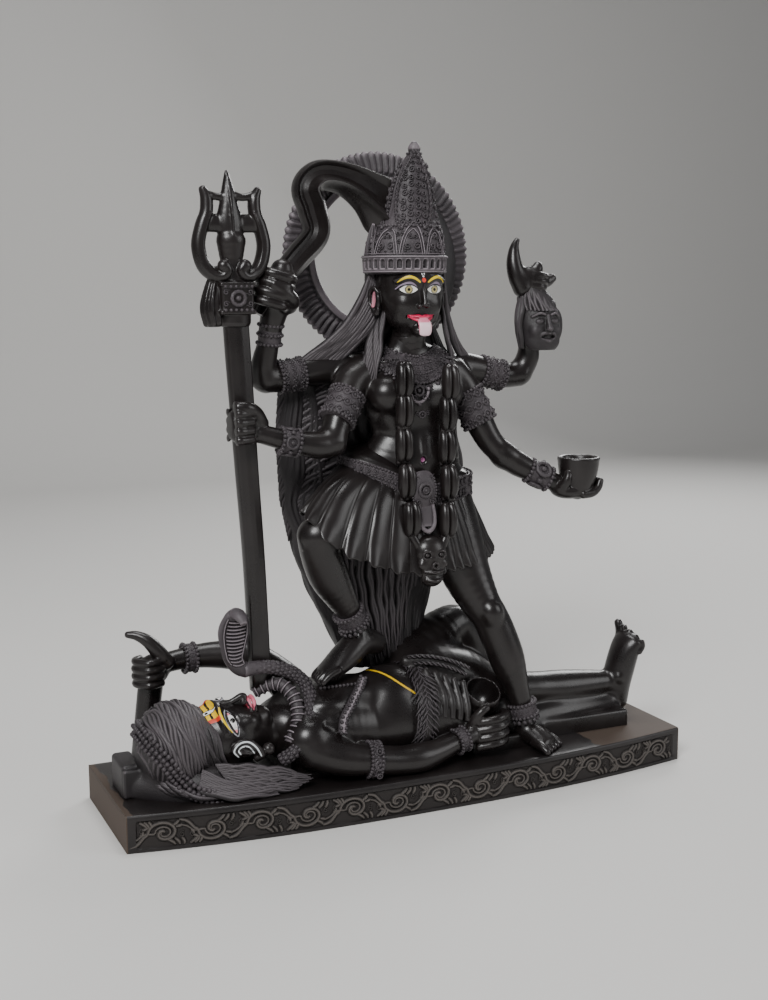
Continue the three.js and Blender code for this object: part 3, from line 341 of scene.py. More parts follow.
def new_mesh(name, points, quads, triangles=()):
    mesh = bpy.data.meshes.new(name)
    quads = np.asarray(quads, np.int32).reshape(-1, 4)
    triangles = np.asarray(triangles, np.int32).reshape(-1, 3)
    mesh.vertices.add(len(points))
    mesh.vertices.foreach_set("co", (np.asarray(points) * MM).astype(np.float32).ravel())
    corners = np.concatenate([quads.ravel(), triangles.ravel()])
    starts = np.concatenate([np.arange(len(quads)) * 4, len(quads) * 4 + np.arange(len(triangles)) * 3])
    mesh.loops.add(len(corners))
    mesh.loops.foreach_set("vertex_index", corners)
    mesh.polygons.add(len(starts))
    mesh.polygons.foreach_set("loop_start", starts.astype(np.int32))
    mesh.polygons.foreach_set("use_smooth", np.ones(len(starts), bool))
    mesh.update(calc_edges=True)
    return mesh


def vertex_values(mesh, label):
    values = np.empty(len(mesh.vertices) * 3, np.float32)
    mesh.vertices.foreach_get(label, values)
    return values.reshape(-1, 3)


def signed_volume(mesh):
    mesh.calc_loop_triangles()
    points = vertex_values(mesh, "co")
    corner = np.empty(len(mesh.loop_triangles) * 3, np.int32)
    mesh.loop_triangles.foreach_get("vertices", corner)
    a, b, c = (points[corner[i::3]].astype(float) for i in range(3))
    return float(np.einsum("ij,ij->i", a, np.cross(b, c)).sum() / 6)


def facing_out(mesh):
    if signed_volume(mesh) < 0:
        mesh.flip_normals()
    return mesh


# Rising edges and sunk grooves of a carved surface, and how far it faces out, kept on its points for the
# finish's painted highlight on crests and painted shade in grooves
def mark_ridges(mesh):
    count = len(mesh.vertices)
    points = vertex_values(mesh, "co") / MM
    normals = vertex_values(mesh, "normal")
    ends = np.empty(len(mesh.edges) * 2, np.int32)
    mesh.edges.foreach_get("vertices", ends)
    a, b = ends[0::2], ends[1::2]
    near = np.maximum(np.bincount(a, minlength=count) + np.bincount(b, minlength=count), 1)

    def mean(values):
        return (np.bincount(a, values[b], count) + np.bincount(b, values[a], count)) / near

    around = np.stack([mean(points[:, i]) for i in range(3)], 1)
    length = np.linalg.norm(points[a] - points[b], axis=1)
    span = (np.bincount(a, length, count) + np.bincount(b, length, count)) / near
    lift = np.einsum("ij,ij->i", points - around, normals) / np.maximum(span, 0.05) ** 2
    lift = 0.5 * lift + 0.5 * mean(lift)
    for label in ("facing", "outward"):
        if label in mesh.attributes and mesh.attributes[label].domain == "POINT":
            out = np.empty(count * 3, np.float32)
            mesh.attributes[label].data.foreach_get("vector", out)
            out = out.reshape(-1, 3)
            out /= np.maximum(np.linalg.norm(out, axis=1), 1e-6)[:, None]
            # Surfaces that face out are lifted further, for a painted highlight on them
            tops = np.einsum("ij,ij->i", normals, out)
            share, level = (0.42, 0.56) if label == "facing" else (0.36, 0.02)
            lift = 0.45 * np.clip(lift, -0.3, 0.5) + share * (tops - level)
    layer = mesh.attributes.new("ridge", "FLOAT", "POINT")
    layer.data.foreach_set("value", lift.astype(np.float32))


def thin_out(piece, budget):
    piece.data.calc_loop_triangles()
    count = len(piece.data.loop_triangles)
    if count <= budget:
        return
    less = piece.modifiers.new("thin_out", "DECIMATE")
    less.ratio = budget / count
    less.use_collapse_triangulate = True
    settle(piece)
    drop_doubled(piece.data)


def drop_doubled(mesh):
    """Takes out pairs of faces on the same corners, to which thinning brings a loose speck."""
    cut = bmesh.new()
    cut.from_mesh(mesh)
    found = {}
    for face in cut.faces:
        found.setdefault(frozenset(corner.index for corner in face.verts), []).append(face)
    doubled = [face for faces in found.values() if len(faces) > 1 for face in faces]
    if doubled:
        bmesh.ops.delete(cut, geom=doubled, context="FACES")
        cut.to_mesh(mesh)
    cut.free()


def settle(piece):
    made = bpy.data.meshes.new_from_object(piece.evaluated_get(bpy.context.evaluated_depsgraph_get()))
    made.name = piece.data.name
    piece.modifiers.clear()
    piece.data = made


def finish_piece(piece, material=None, ridges=True):
    if material is not None:
        piece.data.materials.clear()
        piece.data.materials.append(material)
    if ridges:
        mark_ridges(piece.data)
    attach(piece, "root")
    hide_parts(STATUE_NODE)
    return piece


def stone_piece(name, clay, material, budget, paint=None):
    piece = linked(name, facing_out(new_mesh(name, *clay.polygons())))
    thin_out(piece, budget)
    if paint:
        paint(piece.data)
    return finish_piece(piece, material)


# A closed skin over rings of points
def ring_quads(starts, next_starts, count):
    """Quads from rings of so many points to the next ones, given the number of each ring's first point."""
    k, n = starts[:, None], next_starts[:, None]
    i = np.arange(count)[None, :]
    j = (i + 1) % count
    return np.stack([k + i, k + j, n + j, n + i], -1).reshape(-1, 4)


def ring_mesh(rings):
    """Closed by a fan of triangles at both ends."""
    rings = np.asarray(rings, float)
    levels, count = rings.shape[:2]
    points = np.vstack([rings.reshape(-1, 3), rings[0].mean(0), rings[-1].mean(0)])
    starts = np.arange(levels) * count
    first, last = levels * count, levels * count + 1
    i = np.arange(count)
    j = (i + 1) % count
    caps = np.vstack([
        np.stack([j, i, np.full(count, first)], 1),
        np.stack([starts[-1] + i, starts[-1] + j, np.full(count, last)], 1)])
    return points, ring_quads(starts[:-1], starts[1:], count), caps


def ring_loop(rings):
    """Closed by the last ring's joining the first."""
    rings = np.asarray(rings, float)
    levels, count = rings.shape[:2]
    starts = np.arange(levels) * count
    return rings.reshape(-1, 3), ring_quads(starts, np.roll(starts, -1), count), []


def sweep(stations, section, per_span=6, facing=FRONT):
    rows = smooth_rows([whole_station(s) for s in stations], per_span)
    rings = []
    for k, row in enumerate(rows):
        along = rows[min(k + 1, len(rows) - 1)][:3] - rows[max(k - 1, 0)][:3]
        along, depth, wide = cross_frame(along, facing)
        rings.append([row[:3] + wide * (u * row[3]) + depth * (v * row[4]) for u, v in section])
    return ring_mesh(rings)


def merged(parts):
    """Several (points, quads, triangles) as one."""
    points, quads, triangles = [], [], []
    offset = 0
    for part_points, part_quads, part_triangles in parts:
        points.append(np.asarray(part_points, float))
        quads.append(np.asarray(part_quads, int).reshape(-1, 4) + offset)
        triangles.append(np.asarray(part_triangles, int).reshape(-1, 3) + offset)
        offset += len(part_points)
    return np.vstack(points), np.vstack(quads), np.vstack(triangles)


def turned_out(part):
    points, quads, triangles = part
    trial = new_mesh("trial", points, quads, triangles)
    inward = signed_volume(trial) < 0
    bpy.data.meshes.remove(trial)
    if not inward:
        return part
    return points, np.asarray(quads)[:, ::-1], np.asarray(triangles).reshape(-1, 3)[:, ::-1]


def joined(name, parts, material, sharp=None):
    mesh = new_mesh(name, *merged([turned_out(part) for part in parts]))
    if sharp:
        mesh.set_sharp_from_angle(angle=math.radians(sharp))
    return finish_piece(linked(name, mesh), material)


# Finishes: softness of a painted mark's edge in millimetres, height of the stone's grain in metres
PAINT_EDGE = 0.14
GRAIN_HEIGHT = 0.0004


def shader_group(name, inputs, outputs):
    tree = bpy.data.node_groups.new(name, "ShaderNodeTree")
    for label, value in inputs:
        socket = tree.interface.new_socket(label, in_out="INPUT", socket_type="NodeSocketFloat")
        socket.default_value = value
    for label in outputs:
        tree.interface.new_socket(label, in_out="OUTPUT", socket_type="NodeSocketFloat")
    return tree, tree.nodes.new("NodeGroupInput"), tree.nodes.new("NodeGroupOutput")


def range_node(tree, value, low, high, out_low=0.0, out_high=1.0):
    node = tree.nodes.new("ShaderNodeMapRange")
    for label, number in (("From Min", low), ("From Max", high), ("To Min", out_low), ("To Max", out_high)):
        node.inputs[label].default_value = number
    tree.links.new(value, node.inputs["Value"])
    return node.outputs["Result"]


def sum_node(tree, kind, a, b):
    node = tree.nodes.new("ShaderNodeMath")
    node.operation = kind
    for slot, value in enumerate((a, b)):
        if isinstance(value, (int, float)):
            node.inputs[slot].default_value = value
        else:
            tree.links.new(value, node.inputs[slot])
    return node.outputs[0]


# Clouding of the polish, and the fine grain of the stone
def stone_grain_group():
    tree, given, made = shader_group(
        "stone_grain", [("Cloud Scale", 28.0), ("Grain Scale", 900.0)], ["Cloud", "Grain"])
    place = tree.nodes.new("ShaderNodeTexCoord").outputs["Object"]
    cloud = tree.nodes.new("ShaderNodeTexNoise")
    cloud.inputs["Detail"].default_value = 6.0
    grain = tree.nodes.new("ShaderNodeTexNoise")
    grain.inputs["Detail"].default_value = 3.0
    for node, label in ((cloud, "Cloud Scale"), (grain, "Grain Scale")):
        tree.links.new(place, node.inputs["Vector"])
        tree.links.new(given.outputs[label], node.inputs["Scale"])
    tree.links.new(range_node(tree, cloud.outputs["Fac"], 0.32, 0.68), made.inputs["Cloud"])
    tree.links.new(range_node(tree, grain.outputs["Fac"], 0.3, 0.7), made.inputs["Grain"])
    return tree


# Rubbed edges with a painted highlight on them, and painted shade in the grooves, from how far the surface
# stands above what is round it
def worn_edge_highlight_and_groove_shade_group():
    tree, given, made = shader_group("chisel_marks", [("Reach", 0.3)], ["Edge", "Groove"])
    ridge = tree.nodes.new("ShaderNodeAttribute")
    ridge.attribute_name = "ridge"
    share = sum_node(tree, "DIVIDE", ridge.outputs["Fac"], given.outputs["Reach"])
    tree.links.new(range_node(tree, share, 0.1, 1.0), made.inputs["Edge"])
    tree.links.new(range_node(tree, share, -0.1, -1.0), made.inputs["Groove"])
    return tree


def placed_group(tree, group, values):
    node = tree.nodes.new("ShaderNodeGroup")
    node.node_tree = group
    for label, value in values.items():
        node.inputs[label].default_value = value
    return node


def mixed(tree, share, a, b):
    node = tree.nodes.new("ShaderNodeMix")
    node.data_type = "RGBA"
    for socket, value in ((node.inputs[0], share), (node.inputs[6], a), (node.inputs[7], b)):
        if isinstance(value, (int, float)):
            socket.default_value = value
        elif isinstance(value, tuple):
            socket.default_value = (*value, 1)
        else:
            tree.links.new(value, socket)
    return node.outputs[2]


GRAIN = stone_grain_group()
EDGE_HIGHLIGHT_AND_GROOVE_SHADE = worn_edge_highlight_and_groove_shade_group()


def stone_finish(name, body, cloud, edge, groove, rough, reach, bump, paints=()):
    """Stone of one finish. body, cloud, edge and groove are colours, rough is (smooth, dull)."""
    material = bpy.data.materials.new(name)
    material.use_nodes = True
    tree = material.node_tree
    shader = tree.nodes["Principled BSDF"]
    grain = placed_group(tree, GRAIN, {})
    marks = placed_group(tree, EDGE_HIGHLIGHT_AND_GROOVE_SHADE, {"Reach": reach})
    colour = mixed(tree, grain.outputs["Cloud"], body, cloud)
    # Painted shade darkens the grooves, and a painted highlight, with rubbed wear on carved stone, lightens
    # the crests
    colour = mixed(tree, marks.outputs["Groove"], colour, groove)
    colour = mixed(tree, marks.outputs["Edge"], colour, edge)
    uneven = sum_node(tree, "MULTIPLY", grain.outputs["Cloud"], 0.5)
    uneven = sum_node(tree, "ADD", uneven, sum_node(tree, "MULTIPLY", grain.outputs["Grain"], 0.5))
    dull = range_node(tree, uneven, 0.0, 1.0, rough[0], rough[1])
    for attribute, paint, paint_rough in paints:
        field = tree.nodes.new("ShaderNodeAttribute")
        field.attribute_name = attribute
        share = range_node(tree, field.outputs["Fac"], PAINT_EDGE, -PAINT_EDGE)
        colour = mixed(tree, share, colour, paint)
        dull = sum_node(
            tree, "ADD", sum_node(tree, "MULTIPLY", share, paint_rough),
            sum_node(tree, "MULTIPLY", sum_node(tree, "SUBTRACT", 1.0, share), dull))
    tree.links.new(colour, shader.inputs["Base Color"])
    tree.links.new(dull, shader.inputs["Roughness"])
    lift = tree.nodes.new("ShaderNodeBump")
    lift.inputs["Strength"].default_value = bump
    lift.inputs["Distance"].default_value = GRAIN_HEIGHT
    tree.links.new(grain.outputs["Grain"], lift.inputs["Height"])
    tree.links.new(lift.outputs["Normal"], shader.inputs["Normal"])
    return material


# In each finish, edge is a painted highlight on the crests, with rubbed wear where the stone is carved, and
# groove is painted shade in the hollows
POLISHED = dict(
    body=(0.0072, 0.0054, 0.0054), cloud=(0.0150, 0.0118, 0.0114), edge=(0.046, 0.038, 0.040),
    groove=(0.010, 0.008, 0.007), rough=(0.24, 0.38), reach=0.45, bump=0.05)
polished = stone_finish("polished_black_stone", **POLISHED)
carved = stone_finish(
    "carved_grey_stone", (0.033, 0.0275, 0.031), (0.061, 0.051, 0.057), (0.295, 0.255, 0.280),
    (0.0035, 0.003, 0.003), (0.42, 0.62), 0.27, 0.4)
hair_stone = stone_finish(
    "carved_hair_stone", (0.0138, 0.0115, 0.0125), (0.0245, 0.0205, 0.0225), (0.098, 0.084, 0.092),
    (0.0028, 0.0024, 0.0024), (0.42, 0.6), 0.27, 0.4)
wrap_stone = stone_finish("wrapped_cloth_stone", **dict(
    POLISHED, body=(0.012, 0.0105, 0.0105), edge=(0.075, 0.067, 0.068), rough=(0.34, 0.5)))
frieze_stone = stone_finish(
    "frieze_stone", (0.020, 0.0165, 0.0145), (0.034, 0.028, 0.025), (0.125, 0.108, 0.096),
    (0.004, 0.0034, 0.0032), (0.5, 0.7), 0.30, 0.5)


# Painted marks: a field of distances to the mark's edge, in millimetres, kept on the points
NO_PAINT = 6.0


def mark_fields(mesh, fields):
    points = vertex_values(mesh, "co") / MM
    for name, field in fields.items():
        layer = mesh.attributes.new(name, "FLOAT", "POINT")
        layer.data.foreach_set("value", np.clip(field(points), -NO_PAINT, NO_PAINT).astype(np.float32))


def split_near(mesh, field, reach, cuts):
    """Cuts the edges near a painted line into shorter ones, so that the line keeps an even width."""
    near = field(vertex_values(mesh, "co") / MM) < reach
    cut = bmesh.new()
    cut.from_mesh(mesh)
    edges = [edge for edge in cut.edges if any(near[vertex.index] for vertex in edge.verts)]
    bmesh.ops.subdivide_edges(cut, edges=edges, cuts=cuts)
    bmesh.ops.triangulate(cut, faces=[face for face in cut.faces if len(face.verts) > 3])
    cut.to_mesh(mesh)
    cut.free()


def stroke(u, v, line):
    """Distance to a painted stroke through (u, v, half width) rows."""
    best = np.full(u.shape, 9.0)
    rows = smooth_rows(line, 5)
    for a, b in zip(rows[:-1], rows[1:]):
        du, dv = b[0] - a[0], b[1] - a[1]
        t = np.clip(((u - a[0]) * du + (v - a[1]) * dv) / (du * du + dv * dv + 1e-9), 0, 1)
        half = a[2] + (b[2] - a[2]) * t
        best = np.minimum(best, np.hypot(u - a[0] - du * t, v - a[1] - dv * t) - half)
    return best


def disc(u, v, centre, radius, squash=1.0):
    return np.hypot(u - centre[0], (v - centre[1]) / squash) - radius


def almond(u, v, centre, width, rise, drop):
    """Eye shape between an upper and a lower arc."""
    half = width / 2
    up = (half * half + rise * rise) / (2 * rise)
    down = (half * half + drop * drop) / (2 * drop)
    top = np.hypot(u - centre[0], v - (centre[1] + rise - up)) - up
    bottom = np.hypot(u - centre[0], v - (centre[1] - drop + down)) - down
    return np.maximum(top, bottom)


# Head of the standing figure, with its painted eyes, brows, marks and tongue
FACE_X = 6.4
EYE_X = 13.2
EYE_Z = 499.0
NOSE_Z = 481.0
MOUTH_Z = 472.3


def standing_head():
    clay = Clay((-34, -56, 442), (54, 30, 548), 0.62)
    clay.egg((6.4, -6, 502), (33, 30, 41), 0)
    clay.egg((6.6, -14, 498), (28, 21, 24), 6)
    clay.egg((6.8, -15, 482), (23.5, 21, 26), 9)
    for side in (-1, 1):
        clay.egg((FACE_X + side * 14.5, -26, 485.5), (8, 8, 8.5), 7)
        clay.egg((FACE_X + side * 18, -12, 474.5), (5, 12, 9), 8)
    clay.egg((FACE_X, -32, 460.5), (7.5, 6.5, 5.5), 6)
    clay.egg((FACE_X, -30, 508), (17, 8, 11), 8)
    for side in (-1, 1):
        brow = [
            (FACE_X + side * 4, -37.5, 506.5, 2.2), (FACE_X + side * 14, -37, 511, 2.6),
            (FACE_X + side * 25, -29.5, 507.5, 2.0)]
        clay.limb(brow, 5)
        clay.egg((FACE_X + side * EYE_X, -42.0, EYE_Z - 0.5), (11, 6.5, 6.6), 4, cut=True)
        clay.egg((FACE_X + side * EYE_X, -27.6, EYE_Z), (10.2, 6.9, 6.2), 2.0)
        upper, lower = [], []
        for k in range(7):
            f = k / 3 - 1
            u = FACE_X + side * (EYE_X + 8.8 * f)
            bulge = -27.6 - 6.9 * math.sqrt(max(0.05, 1 - 0.82 * f * f))
            upper.append((u, bulge, EYE_Z + 0.6 + 3.9 * (1 - f * f) + (0.8 if f > 0.9 else 0), 0.9))
            lower.append((u, bulge + 0.2, EYE_Z + 0.6 - 4.0 * (1 - f * f), 0.7))
        clay.limb(upper, 1.2)
        clay.limb(lower, 1.2)
    clay.limb([
        (FACE_X, -36, 508, 1.9, 3), (FACE_X, -38, 498, 1.9, 3.2), (FACE_X, -41.2, NOSE_Z + 7.4, 2.4, 3.3),
        (FACE_X, -42.6, NOSE_Z + 4.2, 2.9, 3.1)], 2.8)
    for side in (-1, 1):
        clay.egg((FACE_X + side * 4.3, -38.6, NOSE_Z + 3.0), (2.3, 3.2, 2.1), 1.4)
        clay.egg((FACE_X + side * 2.6, -40.6, NOSE_Z + 0.6), (1.3, 1.6, 1.3), 0.8, cut=True)
    clay.limb([(FACE_X, -38, NOSE_Z - 1.8, 1.2), (FACE_X, -38.3, NOSE_Z - 4.0, 1.4)], 2, cut=True)
    for side in (-1, 1):
        clay.limb([
            (FACE_X, -39.0, MOUTH_Z + 1.0, 1.6), (FACE_X + side * 5, -38.4, MOUTH_Z + 1.6, 1.6),
            (FACE_X + side * 12.0, -33.0, MOUTH_Z + 1.6, 0.9)], 1.4)
        clay.limb([
            (FACE_X, -38.2, MOUTH_Z - 2.2, 1.8), (FACE_X + side * 5.5, -37.2, MOUTH_Z - 1.9, 1.7),
            (FACE_X + side * 11.4, -33.0, MOUTH_Z + 0.6, 0.9)], 1.4)
        clay.egg((FACE_X + side * 13.2, -31.6, MOUTH_Z + 1.4), (1.4, 2.0, 1.4), 1.5, cut=True)
    clay.limb([
        (FACE_X, -36, MOUTH_Z, 5.8, 2.6), (FACE_X, -42, MOUTH_Z - 5.3, 6.8, 2.2),
        (FACE_X, -43.2, MOUTH_Z - 11, 6.7, 2.0),
        (FACE_X, -42.6, MOUTH_Z - 14.6, 5.8, 1.9)], 0.8, blunt=1.0)
    for side, at_x in ((-1, -27.4), (1, 40.2)):
        rim = [
            (at_x + side * 1.0, -11, 497, 1.7), (at_x + side * 3.4, -6, 501.5, 2.1),
            (at_x + side * 5.0, 0.5, 496, 2.1), (at_x + side * 4.2, -1, 486, 2.0),
            (at_x + side * 1.8, -7.5, 477, 2.9), (at_x + side * 0.6, -10.5, 481, 1.6)]
        clay.egg((at_x + side * 0.4, -5, 489), (3.4, 7.4, 12), 2)
        clay.limb(rim, 1.2)
        clay.egg((at_x + side * 4.6, -5.8, 490.4), (2.8, 3.9, 7.4), 1.2, cut=True)
    clay.limb([(6, -1, 436, 18, 17), (6.6, -5, 452, 16.5, 16.5), (7, -8, 468, 17, 17)], 5, blunt=0.2)
    for level in (449, 455.5):
        fold = [
            (7 + 17.4 * math.cos(a), -4 + 17.6 * math.sin(a), level + 1.5 * math.cos(a), 0.55)
            for a in np.linspace(math.pi * 1.05, math.pi * 1.95, 9)]
        clay.limb(fold, 0.6, cut=True)
    return stone_piece("standing_head", clay, face_paint("standing_face"), 62000, paint_standing_face)


def paint_standing_face(mesh):
    def placed(points):
        return points[:, 0] - FACE_X, points[:, 2] - EYE_Z, points[:, 1]

    def front_only(field, y, limit):
        return np.where(y < limit, field, NO_PAINT)

    def both(points, shape):
        u, v, y = placed(points)
        return front_only(shape(np.abs(u), v), y, -14.0)

    def eye_white(u, v):
        return almond(u, v, (EYE_X + 0.4, 0.6), 17.4, 3.9, 3.7)

    def inside_eye(u, v, field):
        return np.maximum(field, eye_white(u, v) + 0.1)

    def tongue(points):
        u, v, y = placed(points)
        field = np.maximum(np.abs(u) - 7.4, v + 25.8)
        return np.where((y < -39.4) & (v > -45), field, NO_PAINT)

    def lips(points):
        u, v, y = placed(points)
        upper = stroke(np.abs(u), v, [(0, -25.1, 1.1), (4, -24.3, 1.4), (9, -24.4, 1.0), (13.6, -23.4, 0.3)])
        lower = stroke(np.abs(u), v, [
            (0, -28.5, 1.3), (6, -28.0, 1.3), (10.6, -26.2, 0.8), (13.2, -23.9, 0.3)])
        return front_only(np.minimum(upper, lower), y, -28)

    def ear(points):
        x, y, z = points.T
        return np.where(
            np.abs(x - FACE_X) > 31.0, np.hypot((y + 5.6) / 3.4, (z - 490.2) / 7.6) * 4 - 4, NO_PAINT)

    mark_fields(mesh, {
        "lid_line": lambda p: both(p, lambda u, v: stroke(u, v, [
            (5.0, 1.2, 0.4), (9, 5.0, 0.9), (13.8, 6.8, 1.2), (18.8, 5.5, 1.0), (24.4, 1.0, 0.4)])),
        "eye_rim": lambda p: both(p, lambda u, v: almond(u, v, (EYE_X + 0.8, 0.6), 20.2, 5.2, 4.5)),
        "eye_white": lambda p: both(p, eye_white),
        "iris": lambda p: both(p, lambda u, v: inside_eye(u, v, disc(u, v, (EYE_X + 0.3, 0.6), 3.6))),
        "iris_ring": lambda p: both(p, lambda u, v: inside_eye(
            u, v, np.abs(disc(u, v, (EYE_X + 0.3, 0.6), 3.6)) - 0.45)),
        "pupil": lambda p: both(p, lambda u, v: disc(u, v, (EYE_X + 0.3, 0.6), 1.5)),
        "brow": lambda p: both(p, lambda u, v: stroke(u, v, [
            (4.4, 7.6, 0.8), (9, 10.8, 1.15), (14.5, 12.4, 1.3), (20, 10.8, 1.0), (24.2, 7.4, 0.5)])),
        "tilak": lambda p: front_only(stroke(
            np.abs(placed(p)[0]), placed(p)[1],
            [(0.5, 12.6, 0.5), (1.4, 17, 0.65), (0.7, 23, 0.4)]), p[:, 1], -20),
        "bindi": lambda p: front_only(disc(placed(p)[0], placed(p)[1], (0, 9.4), 2.0, 1.15), p[:, 1], -20),
        "lips": lips, "tongue_edge": tongue,
        "tongue": lambda p: np.maximum(tongue(p) + 1.3, p[:, 2] - MOUTH_Z + 3.6), "ear": ear})


def face_paint(name):
    return stone_finish(name, paints=[
        ("lid_line", (0.30, 0.24, 0.33), 0.4), ("eye_rim", (0.006, 0.005, 0.006), 0.35),
        ("eye_white", (0.86, 0.85, 0.80), 0.35), ("iris", (0.42, 0.36, 0.16), 0.3),
        ("iris_ring", (0.03, 0.025, 0.015), 0.3), ("pupil", (0.008, 0.007, 0.006), 0.25),
        ("brow", (0.78, 0.56, 0.01), 0.4), ("tilak", (0.75, 0.73, 0.76), 0.5),
        ("bindi", (0.70, 0.05, 0.03), 0.4), ("lips", (0.66, 0.02, 0.09), 0.35),
        ("tongue_edge", (0.80, 0.24, 0.34), 0.35), ("tongue", (0.90, 0.66, 0.72), 0.35),
        ("ear", (0.55, 0.22, 0.28), 0.5)], **POLISHED)


# Geometry trees for what repeats or follows a path
def geometry_tree(name, inputs):
    tree = bpy.data.node_groups.new(name, "GeometryNodeTree")
    tree.interface.new_socket("Geometry", in_out="INPUT", socket_type="NodeSocketGeometry")
    for label, kind in inputs:
        tree.interface.new_socket(label, in_out="INPUT", socket_type=kind)
    tree.interface.new_socket("Geometry", in_out="OUTPUT", socket_type="NodeSocketGeometry")
    return tree, tree.nodes.new("NodeGroupInput"), tree.nodes.new("NodeGroupOutput")


def chain(tree, start, *steps):
    """Puts geometry nodes one after another, each as (type, {attribute: value}, {socket: value or link})."""
    out = start
    for kind, settings, sockets in steps:
        node = tree.nodes.new(kind)
        for label, value in settings.items():
            setattr(node, label, value)
        tree.links.new(out, node.inputs[0])
        for label, value in sockets.items():
            if isinstance(value, bpy.types.NodeSocket):
                tree.links.new(value, node.inputs[label])
            else:
                node.inputs[label].default_value = value
        out = node.outputs[0]
    return out


def named_value(tree, name, kind):
    node = tree.nodes.new("GeometryNodeInputNamedAttribute")
    node.data_type = kind
    node.inputs["Name"].default_value = name
    return node.outputs["Attribute"]


def vector_math(tree, kind, *values):
    node = tree.nodes.new("ShaderNodeVectorMath")
    node.operation = kind
    for slot, value in values:
        if isinstance(value, bpy.types.NodeSocket):
            tree.links.new(value, node.inputs[slot])
        else:
            node.inputs[slot].default_value = value
    return node.outputs[0]


# Strands: a grooved section drawn along each path of points that hold "thick" and "facing"
def strand_tree():
    tree, given, made = geometry_tree("grooved_strands", [
        ("Grooves", "NodeSocketInt"), ("Groove Depth", "NodeSocketFloat"), ("Flatness", "NodeSocketFloat"),
        ("Step", "NodeSocketFloat"), ("Material", "NodeSocketMaterial")])
    sides = sum_node(tree, "MULTIPLY", given.outputs["Grooves"], 4.0)
    circle = tree.nodes.new("GeometryNodeCurvePrimitiveCircle")
    tree.links.new(sides, circle.inputs["Resolution"])
    circle.inputs["Radius"].default_value = 1.0
    factor = tree.nodes.new("GeometryNodeSplineParameter").outputs["Factor"]
    turn = sum_node(tree, "MULTIPLY", factor, FULL_TURN)
    wave = sum_node(tree, "COSINE", sum_node(tree, "MULTIPLY", turn, given.outputs["Grooves"]), 0.0)
    swell = sum_node(tree, "ADD", 1.0, sum_node(tree, "MULTIPLY", wave, given.outputs["Groove Depth"]))
    spot = tree.nodes.new("GeometryNodeInputPosition").outputs[0]
    grown = vector_math(tree, "SCALE", (0, spot), (3, swell))
    squash = tree.nodes.new("ShaderNodeCombineXYZ")
    squash.inputs["Y"].default_value = 1.0
    squash.inputs["Z"].default_value = 1.0
    tree.links.new(given.outputs["Flatness"], squash.inputs["X"])
    grown = vector_math(tree, "MULTIPLY", (0, grown), (1, squash.outputs[0]))
    section = chain(tree, circle.outputs[0], ("GeometryNodeSetPosition", {}, {"Position": grown}))
    out = chain(
        tree, given.outputs["Geometry"], ("GeometryNodeMeshToCurve", {}, {}),
        ("GeometryNodeCurveSplineType", {"spline_type": "CATMULL_ROM"}, {}),
        ("GeometryNodeResampleCurve", {"mode": "LENGTH"}, {"Length": given.outputs["Step"]}),
        ("GeometryNodeSetCurveNormal", {"mode": "FREE"},
         {"Normal": named_value(tree, "facing", "FLOAT_VECTOR")}),
        ("GeometryNodeCurveToMesh", {},
         {"Profile Curve": section, "Scale": named_value(tree, "thick", "FLOAT"), "Fill Caps": True}),
        ("GeometryNodeSetShadeSmooth", {}, {}), ("GeometryNodeRealizeInstances", {}, {}),
        ("GeometryNodeSetMaterial", {}, {"Material": given.outputs["Material"]}))
    tree.links.new(out, made.inputs["Geometry"])
    return tree


# Ornaments: a motif set on each point, turned to its "outward" and "along", sized by its "size"
def ornament_tree():
    tree, given, made = geometry_tree("set_ornaments", [
        ("Motif", "NodeSocketObject"), ("Material", "NodeSocketMaterial")])
    motif = tree.nodes.new("GeometryNodeObjectInfo")
    tree.links.new(given.outputs["Motif"], motif.inputs["Object"])
    upright = tree.nodes.new("FunctionNodeAlignRotationToVector")
    upright.axis = "Z"
    tree.links.new(named_value(tree, "outward", "FLOAT_VECTOR"), upright.inputs["Vector"])
    turned = tree.nodes.new("FunctionNodeAlignRotationToVector")
    turned.axis = "X"
    turned.pivot_axis = "Z"
    tree.links.new(upright.outputs[0], turned.inputs["Rotation"])
    tree.links.new(named_value(tree, "along", "FLOAT_VECTOR"), turned.inputs["Vector"])
    out = chain(
        tree, given.outputs["Geometry"],
        ("GeometryNodeInstanceOnPoints", {},
         {"Instance": motif.outputs["Geometry"], "Rotation": turned.outputs[0],
          "Scale": named_value(tree, "size", "FLOAT_VECTOR")}), ("GeometryNodeRealizeInstances", {}, {}),
        ("GeometryNodeSetMaterial", {}, {"Material": given.outputs["Material"]}))
    tree.links.new(out, made.inputs["Geometry"])
    return tree


STRANDS = strand_tree()
ORNAMENTS = ornament_tree()


def grown_piece(name, mesh, tree, values, ridges=True):
    piece = linked(name, mesh)
    maker = piece.modifiers.new("maker", "NODES")
    maker.node_group = tree
    for item in tree.interface.items_tree:
        if item.in_out == "INPUT" and item.name in values:
            maker[item.identifier] = values[item.name]
    settle(piece)
    facing_out(piece.data)
    return finish_piece(piece, None, ridges)


def strands(name, paths, material, grooves, depth, flatness, step):
    """paths is a list of (rows of [x, y, z, half thickness], facing)."""
    points, edges, thick, facing = [], [], [], []
    for rows, front in paths:
        start = len(points)
        for k, row in enumerate(rows):
            points.append(row[:3])
            thick.append(row[3] * MM)
            facing.append(unit(front[k] if np.ndim(front) > 1 else front))
            if k:
                edges.append((start + k - 1, start + k))
    mesh = bpy.data.meshes.new(name)
    mesh.from_pydata((np.array(points) * MM).tolist(), edges, [])
    mesh.attributes.new("thick", "FLOAT", "POINT").data.foreach_set("value", np.array(thick, np.float32))
    layer = mesh.attributes.new("facing", "FLOAT_VECTOR", "POINT")
    layer.data.foreach_set("vector", np.array(facing, np.float32).ravel())
    values = {
        "Grooves": grooves, "Groove Depth": depth, "Flatness": flatness, "Step": step * MM,
        "Material": material}
    return grown_piece(name, mesh, STRANDS, values)


